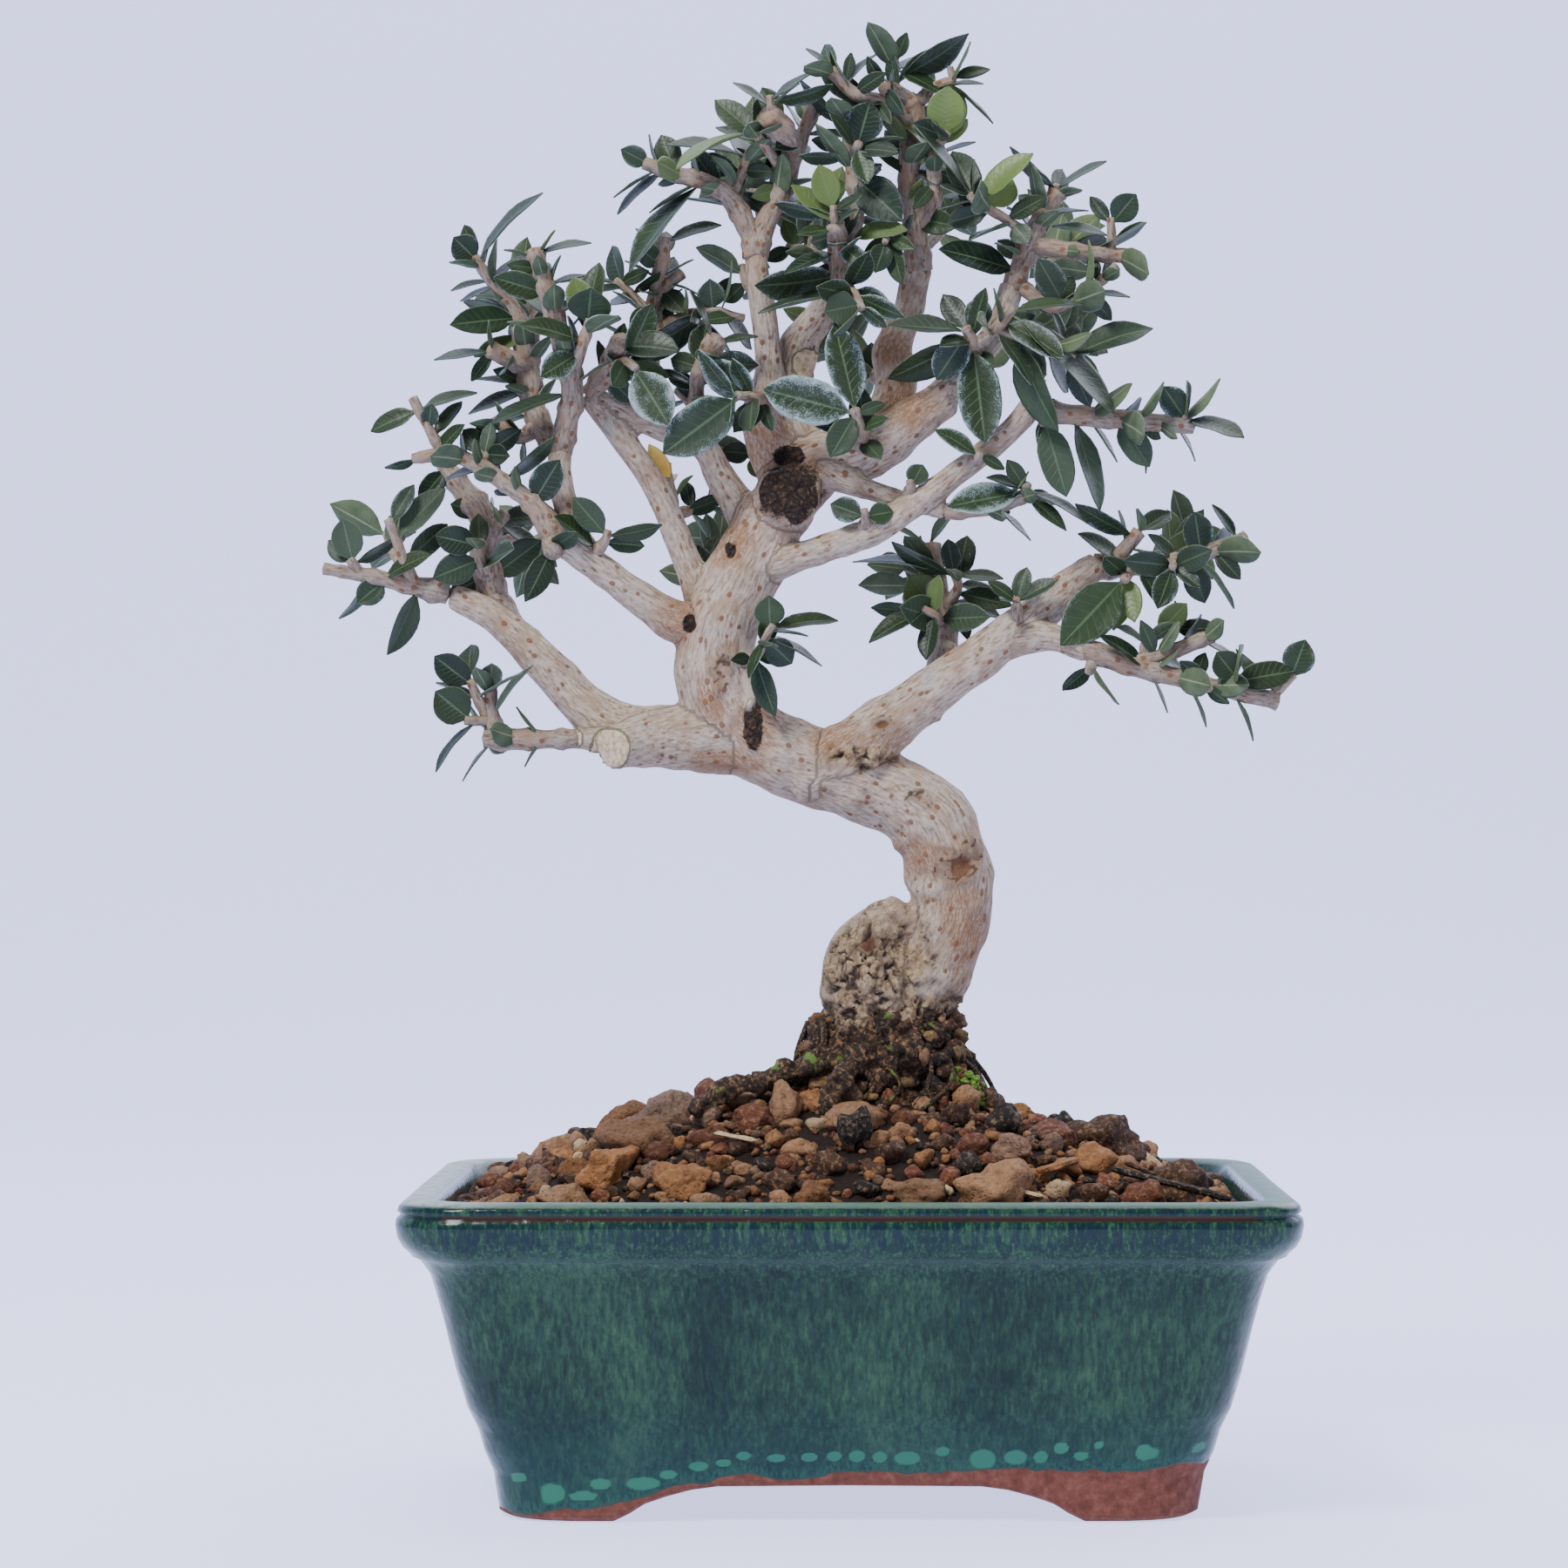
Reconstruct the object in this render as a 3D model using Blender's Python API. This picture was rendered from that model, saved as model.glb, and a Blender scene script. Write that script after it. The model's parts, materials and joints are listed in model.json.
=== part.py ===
# Olive bonsai in a glazed pot: pot, drain screens, soil with gravel, trunk with its limbs, leafy sprays
import math
import random

import bmesh
import bpy
import numpy as np
from mathutils import Matrix, Vector
from mathutils.bvhtree import BVHTree

# All driving sizes are in millimetres, and the finished objects are scaled to metres
MM = 0.001

# Sight line of the view in which the places of limbs and leaves were picked
VIEW_DISTANCE = 997.5
EYE_HEIGHT = 138.5

# Gap kept between two pieces that touch in the real thing
CLEAR = 0.3

# Pot: outside half widths along the long side, from the foot up to the rim's top and down the inside
POT_DEPTH_LESS = 22.5
POT_CORNER = 14.0
POT_CORNER_STEPS = 3
POT_FOOT_INNER = 57.0
POT_UNDERSIDE = 8.0
POT_FLOOR = 14.0
POT_OUTSIDE = [
    (68.0, 0.0), (70.5, 1.2), (71.7, 9.0), (73.5, 13.5), (74.7, 18.0), (76.7, 22.5),
    (78.7, 30.0), (80.9, 40.0), (83.0, 48.0), (85.6, 53.4), (88.0, 55.6), (89.5, 57.6), (90.0, 60.0),
    (89.9, 61.5), (89.2, 62.0), (89.4, 62.8), (88.4, 64.4), (86.6, 65.0),
]
POT_INSIDE = [
    (83.4, 64.9), (82.0, 64.0), (81.4, 62.0), (79.6, 54.0), (69.0, 17.0), (66.0, POT_FLOOR),
]
# Arch between two feet: distance from the pot's middle, as a share of the arch's half length, and height
ARCH_SHAPE = [
    (1.0, 0.0), (0.93, 1.6), (0.87, 3.4), (0.78, 4.9), (0.67, 6.3), (0.56, 7.0), (0.0, 7.2),
]
ARCH_HALF_FRONT = 47.0
ARCH_HALF_SIDE = 27.0
DRAIN_HOLE_RADIUS = 9.0
DRAIN_HOLE_AT = 38.0
SCREEN_SIZE = 24.0
SCREEN_THICK = 0.9
SCREEN_CELLS = 3
SCREEN_BAR = 1.6

# Soil: a mound whose edge lies just under the rim, with stones set half into it
SOIL_EDGE = 61.0
SOIL_EDGE_HALF = 80.2
SOIL_FLOOR_HALF = 65.0
SOIL_FLOOR_CORNER = 12.0
SOIL_SIDES = [(68.4, 17.2), (78.9, 54.0)]
SOIL_CORNER_STEPS = 3
SOIL_TOP = 86.0
SOIL_RINGS = [1.0, 0.88, 0.66, 0.36]
MOUND_CENTRE_X = -4.0
MOUND_SLOPE = 1.5
MOUND_SQUARE = 2.6
# Height over the mound up to which the wood's own hollow is cut into the soil and its stones
ROOT_HIGH = 6.0
STONE_COUNT = 30
STONE_SEED = 11
STONE_SIZES = (4.6, 8.4)
STONE_TRIES = 6000
STONE_SPREAD = (76.0, 53.0)
STONE_LIMIT = (80.0, 57.5)
TRUNK_FOOT_X = 5.0
TRUNK_FOOT_RADIUS = 19.0
STONE_BIG = [
    (1.0, 80.0, -27.0, 7.2, 3.4), (-38.0, 80.5, -14.0, 6.4, 4.6), (-13.0, 80.0, -22.0, 4.4, 5.0),
    (-20.0, 80.0, -26.0, 4.6, 3.2), (15.0, 68.0, -52.0, 6.2, 3.4), (-8.0, 66.5, -54.0, 5.2, 3.6),
    (-60.0, 67.0, -44.0, 6.0, 4.2), (50.0, 72.0, -30.0, 5.0, 3.6), (62.0, 68.0, -40.0, 5.6, 3.6),
    (34.0, 74.0, -34.0, 4.6, 3.2), (-47.0, 66.0, -52.0, 5.6, 2.8),
]


def seen(x, z, y):
    """Place a point picked at (x, z) on the trunk's upright plane y mm behind that plane."""
    k = (VIEW_DISTANCE + y) / VIEW_DISTANCE
    return Vector((x * k, y, EYE_HEIGHT + (z - EYE_HEIGHT) * k))


def clear_scene():
    """Remove whatever the scene starts with."""
    for item in list(bpy.data.objects):
        bpy.data.objects.remove(item, do_unlink=True)


def make_material(name, colour, roughness):
    """A plain Principled material."""
    material = bpy.data.materials.new(name)
    material.use_nodes = True
    shader = material.node_tree.nodes["Principled BSDF"]
    shader.inputs["Base Color"].default_value = (*colour, 1.0)
    shader.inputs["Roughness"].default_value = roughness
    return material


def make_object(name, verts, faces, smooth=False):
    """An object in millimetres from plain lists, with its faces turned outward."""
    mesh = bpy.data.meshes.new(name)
    mesh.from_pydata([tuple(v) for v in verts], [], faces)
    work = bmesh.new()
    work.from_mesh(mesh)
    bmesh.ops.remove_doubles(work, verts=work.verts, dist=1e-5)
    bmesh.ops.recalc_face_normals(work, faces=work.faces)
    work.to_mesh(mesh)
    work.free()
    for face in mesh.polygons:
        face.use_smooth = smooth
    item = bpy.data.objects.new(name, mesh)
    bpy.context.scene.collection.objects.link(item)
    return item


def is_closed(mesh):
    """True when the mesh has faces and every edge has one on each side."""
    work = bmesh.new()
    work.from_mesh(mesh)
    closed = len(work.faces) > 0 and all(edge.is_manifold for edge in work.edges)
    work.free()
    return closed


def boolean(target, tools, operation):
    """Apply one Boolean of a whole collection of tools to the target, then remove the tools. The second
    solver is for the few joins that the first leaves open."""
    group = bpy.data.collections.new("tools")
    bpy.context.scene.collection.children.link(group)
    for tool in tools:
        bpy.context.scene.collection.objects.unlink(tool)
        group.objects.link(tool)
    step = target.modifiers.new("join", "BOOLEAN")
    step.operation = operation
    step.operand_type = "COLLECTION"
    step.collection = group
    for solver in ("EXACT", "MANIFOLD"):
        step.solver = solver
        bpy.context.view_layer.update()
        graph = bpy.context.evaluated_depsgraph_get()
        mesh = bpy.data.meshes.new_from_object(target.evaluated_get(graph))
        if is_closed(mesh):
            break
    target.modifiers.clear()
    target.data = mesh
    for tool in tools:
        bpy.data.objects.remove(tool, do_unlink=True)
    bpy.data.collections.remove(group)


def tidy_solid(item, merge, smooth=False):
    """Merge points that are all but in one place, and split the faces to triangles."""
    work = bmesh.new()
    work.from_mesh(item.data)
    bmesh.ops.remove_doubles(work, verts=work.verts, dist=merge)
    bmesh.ops.triangulate(work, faces=work.faces)
    bmesh.ops.recalc_face_normals(work, faces=work.faces)
    work.to_mesh(item.data)
    work.free()
    for face in item.data.polygons:
        face.use_smooth = smooth


def rounded_ring(half_x, half_y, z, corner, steps, along_x=0, along_y=0):
    """Points of a rounded rectangle at height z, counted round from the +X side. along_x and along_y
    are the points added on its straight sides."""
    ring = []
    for start, (sx, sy) in enumerate([(1, 1), (-1, 1), (-1, -1), (1, -1)]):
        for step in range(steps + 1):
            angle = math.pi / 2 * (start + step / steps)
            ring.append((sx * (half_x - corner) + corner * math.cos(angle),
                         sy * (half_y - corner) + corner * math.sin(angle), z))
        x, y, _ = ring[-1]
        extra = along_y if start % 2 else along_x
        for step in range(1, extra + 1):
            share = 1 - 2 * step / (extra + 1)
            ring.append((x, y * share, z) if start % 2 else (x * share, y, z))
    return ring


def loft(rings):
    """Side faces between rings of equal count, and a flat face on each end."""
    count = len(rings[0])
    verts = [point for ring in rings for point in ring]
    faces = [tuple(reversed(range(count)))]
    for level in range(len(rings) - 1):
        for i in range(count):
            j = (i + 1) % count
            a = level * count
            faces.append((a + i, a + j, a + count + j, a + count + i))
    faces.append(tuple(range((len(rings) - 1) * count, len(rings) * count)))
    return verts, faces


def pot_ring(half, z, corner=POT_CORNER):
    """One ring of the pot at a half width along its long side."""
    return rounded_ring(half, half - POT_DEPTH_LESS, z, corner, POT_CORNER_STEPS)


def soil_ring(half, z, corner=POT_CORNER):
    """One ring of the soil, with points along the straight sides for the mound to rise between."""
    return rounded_ring(half, half - POT_DEPTH_LESS, z, corner, SOIL_CORNER_STEPS, 4, 2)


def arch_cutter(name, half_length, along_x):
    """A bar with the arch's outline, longer than the pot, that opens two facing sides between the feet."""
    right = [(half_length * share, height) for share, height in ARCH_SHAPE]
    outline = [(-x, z) for x, z in right[:-1]] + list(reversed(right))
    outline = [(outline[0][0], -2.0)] + outline + [(outline[-1][0], -2.0)]
    reach = 120.0
    ends = []
    for side in (-reach, reach):
        ends.append([(x, side, z) if along_x else (side, x, z) for x, z in outline])
    verts, faces = loft(ends)
    return make_object(name, verts, faces)


def cylinder(name, x, y, radius, low, high, sides):
    """An upright cylinder."""
    rings = []
    for z in (low, high):
        rings.append([(x + radius * math.cos(2 * math.pi * i / sides),
                       y + radius * math.sin(2 * math.pi * i / sides), z) for i in range(sides)])
    verts, faces = loft(rings)
    return make_object(name, verts, faces)


def box(name, centre, size):
    """A plain box."""
    half = [s / 2 for s in size]
    ends = []
    for z in (centre[2] - half[2], centre[2] + half[2]):
        ends.append([(centre[0] + sx * half[0], centre[1] + sy * half[1], z)
                     for sx, sy in ((1, 1), (-1, 1), (-1, -1), (1, -1))])
    verts, faces = loft(ends)
    return make_object(name, verts, faces)


def build_pot():
    """The glazed pot: one wall turned over at the rim, four corner feet and two drain holes."""
    rings = [pot_ring(POT_FOOT_INNER, POT_UNDERSIDE, 10.0), pot_ring(POT_FOOT_INNER + 1.0, 0.0, 10.0)]
    rings += [pot_ring(half, z) for half, z in POT_OUTSIDE + POT_INSIDE]
    verts, faces = loft(rings)
    pot = make_object("pot", verts, faces)
    cutters = [arch_cutter("arch_front", ARCH_HALF_FRONT, True),
               arch_cutter("arch_side", ARCH_HALF_SIDE, False)]
    for side in (-1, 1):
        cutters.append(cylinder("drain", side * DRAIN_HOLE_AT, 0.0, DRAIN_HOLE_RADIUS, 4.0, 20.0, 20))
    boolean(pot, cutters, "DIFFERENCE")
    tidy_solid(pot, 0.01, smooth=True)
    return pot


def build_screen(name, x):
    """A square of drain mesh: two faces of bars round open cells."""
    pitch = (SCREEN_SIZE - SCREEN_BAR) / SCREEN_CELLS
    lines = []
    for i in range(SCREEN_CELLS + 1):
        lines += [i * pitch, i * pitch + SCREEN_BAR]
    lines = [value - SCREEN_SIZE / 2 for value in lines]
    low = POT_FLOOR + CLEAR
    work = bmesh.new()
    corners = {}
    for level, z in enumerate((low, low + SCREEN_THICK)):
        for i, px in enumerate(lines):
            for j, py in enumerate(lines):
                corners[level, i, j] = work.verts.new((x + px, py, z))
    last = len(lines) - 1
    for i in range(last):
        for j in range(last):
            if i % 2 and j % 2:
                continue
            for level in (0, 1):
                work.faces.new([corners[level, a, b] for a, b in
                                ((i, j), (i + 1, j), (i + 1, j + 1), (i, j + 1))])
            sides = [((i, j), (i + 1, j), (i, j - 1)), ((i + 1, j), (i + 1, j + 1), (i + 1, j)),
                     ((i + 1, j + 1), (i, j + 1), (i, j + 1)), ((i, j + 1), (i, j), (i - 1, j))]
            for first, second, beyond in sides:
                outside = not (0 <= beyond[0] < last and 0 <= beyond[1] < last)
                if outside or (beyond[0] % 2 and beyond[1] % 2):
                    work.faces.new([corners[0, *first], corners[0, *second],
                                    corners[1, *second], corners[1, *first]])
    mesh = bpy.data.meshes.new(name)
    bmesh.ops.recalc_face_normals(work, faces=work.faces)
    work.to_mesh(mesh)
    work.free()
    item = bpy.data.objects.new(name, mesh)
    bpy.context.scene.collection.objects.link(item)
    tidy_solid(item, 0.001)
    return item


def soil_height(x, y):
    """The mound: level along the rim, rising in a soft dome round the trunk."""
    half_y = SOIL_EDGE_HALF - POT_DEPTH_LESS
    inside_x = abs(x - MOUND_CENTRE_X * (1.0 - abs(x) / SOIL_EDGE_HALF)) / SOIL_EDGE_HALF
    inside_y = abs(y) / half_y
    away = min(1.0, (inside_x ** MOUND_SQUARE + inside_y ** MOUND_SQUARE) ** (1 / MOUND_SQUARE))
    return SOIL_EDGE + (SOIL_TOP - SOIL_EDGE) * (1.0 - away ** MOUND_SLOPE)

# Wood of the trunk and its limbs: (x, z) as picked on the trunk's plane, y behind it, and radius
TRUNK_SIDES = 9
LIMB_SIDES = 6
TWIG_SIDES = 4
TRUNK_PATHS = [
    # main stem from the root base, through the elbow, up to the pruned top
    [(3, 64, 0, 13), (4, 80, 0, 14.6), (7, 94, 0, 14.6), (12, 104, 0, 11.6), (18, 113, 0, 8.8),
     (20.8, 122, 0, 8.7), (20.4, 131, 0, 9.2), (16.6, 140, 0, 9.0), (7, 146.6, 0, 8.0),
     (-5, 150.5, 0, 8.2), (-15, 154, 0, 8.0), (-24, 160.5, 0, 8.6), (-28.3, 170, 0, 8.5),
     (-27.3, 180, 0, 8.0), (-23, 190, 0, 7.6), (-18.6, 198, 1, 7.2), (-15, 206, 2, 7.0)],
    # swollen burl on the left of the stem's foot
    [(6, 97, -4, 8.5), (4, 106, -4, 10.4), (5.5, 114, -3, 8.2), (12, 121, -1, 5)],
    # pruned knob that faces the viewer
    [(-14, 205, 4, 6.6), (-13, 207.6, -4, 7.0), (-12.6, 208.4, -8.5, 6.2)],
    # upper trunk to the right, cut short
    [(-16, 202, 3, 6.6), (-11, 211, 4, 7.4), (-4, 215.6, 3, 6.2), (3, 217, 2, 5.8),
     (10, 221, 1, 5.2), (16, 225.5, 0, 4.4), (21, 228.5, -1, 3.8)],
]
LIMB_PATHS = [
    # low left limb: short thick part with a cut end, then the long limb and its back branch
    [(-22, 158, 0, 8), (-32, 157.5, -1, 7), (-42, 156.5, -3, 5.8), (-50, 155, -8.5, 4.4)],
    [(-36, 157.8, 1, 6.4), (-47, 158.5, 3, 5.6), (-55, 163.4, 3, 4.8), (-62, 171, 4, 4.3),
     (-69, 178, 5, 3.9), (-76, 183.5, 6, 3.3), (-83, 187, 6, 2.7)],
    [(-50, 156.4, -3, 2.8), (-57.5, 157.2, -3.5, 2.2)],
    [(-71, 180, 6, 3.6), (-74, 186, 9, 3.5)],
    # left arm
    [(-27, 180, 0, 6), (-37, 182, -2, 4.4), (-46, 188, -4, 3.5), (-54, 194, -5, 3.2),
     (-60, 198, -6, 2.8)],
    [(-54, 194, -5, 3.2), (-58, 202, -4, 2.7), (-60.5, 211, -3, 2.6), (-60.5, 217.5, -2, 2.6)],
    # inner left limbs that meet high up
    [(-29, 184, 3, 5), (-34, 194, 4, 3.1), (-37.5, 203, 4, 2.8), (-42, 212, 4, 2.7), (-49, 222, 4, 2.6),
     (-54.5, 229, 4, 2.6)],
    [(-19, 199, 4, 4.5), (-27, 212, 6, 3.2), (-31, 218.5, 6, 2.8), (-42, 223, 5, 2.7),
     (-54, 228.4, 4, 2.6)],
    # crown stems
    [(-11, 210, 6, 6.4), (-16, 218.5, 5, 5.6), (-18, 225.5, 4, 4.6), (-17, 232, 3, 3.2),
     (-17.4, 242, 2, 2.9),
     (-19, 253, 1, 2.7), (-19.6, 259, 1, 2.6)],
    [(-7, 213, 5, 5), (-12, 226, 8, 4.4), (-11, 238, 9, 4.2), (-6, 246, 8, 3.4), (-1.5, 252, 4, 2.4)],
    [(3, 217, 4, 5), (9.5, 229, 7, 4.6), (9, 238, 9, 4.2), (12, 246, 9, 3.4), (14.5, 256, 7, 3.0)],
    [(18, 227, 0, 3.8), (26, 236, -1, 2.9), (31.5, 244, -2, 2.7), (34, 252, -2, 2.5)],
    # right limbs
    [(-5, 213, 0, 4), (3, 209.6, -3, 2.5), (12, 206.8, -4, 2.0), (20, 204.6, -5, 1.9)],
    [(-21, 192.5, 0, 5.4), (-13, 194.4, -3, 3.3), (-5, 197, -4, 3.0), (5, 200.6, -6, 3.0),
     (15, 207, -6, 2.8),
     (25, 214.6, -6, 2.6), (33, 221, -6, 2.5), (39, 227.4, -6, 2.5)],
    [(-6, 150, -1, 7), (1, 155, -3, 6.8), (11, 162.4, -4, 5.7), (20, 169, -4, 5.0), (30, 176, -3, 4.5),
     (40, 184, -1, 4.2), (47, 190, 0, 3.8), (52, 193.4, 1, 2.9)],
    [(32, 177, -2, 4), (42, 178.4, -6, 3.0), (50, 175.6, -8, 2.6)],
    [(19, 169, 3, 3.6), (19.8, 177, 6, 3.2)],
    # roots that leave the base along the soil
    [(-4, 88, -6, 5), (-13, 87, -14, 2.6), (-21, 85, -19, 2.1), (-28, 82, -22, 1.9),
     (-33, 78.5, -25, 1.6)],
    [(8, 86, 4, 7), (23, 82, 10, 3.4), (35, 77, 16, 2.2), (44, 71, 22, 1.6)],
    [(2, 86, 6, 7), (-10, 80, 20, 3.6), (-18, 74, 31, 2.2)],
    [(4, 92, -12, 3.5), (-1, 87, -19, 2.2), (-6, 78.5, -24, 1.6)],
]

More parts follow.
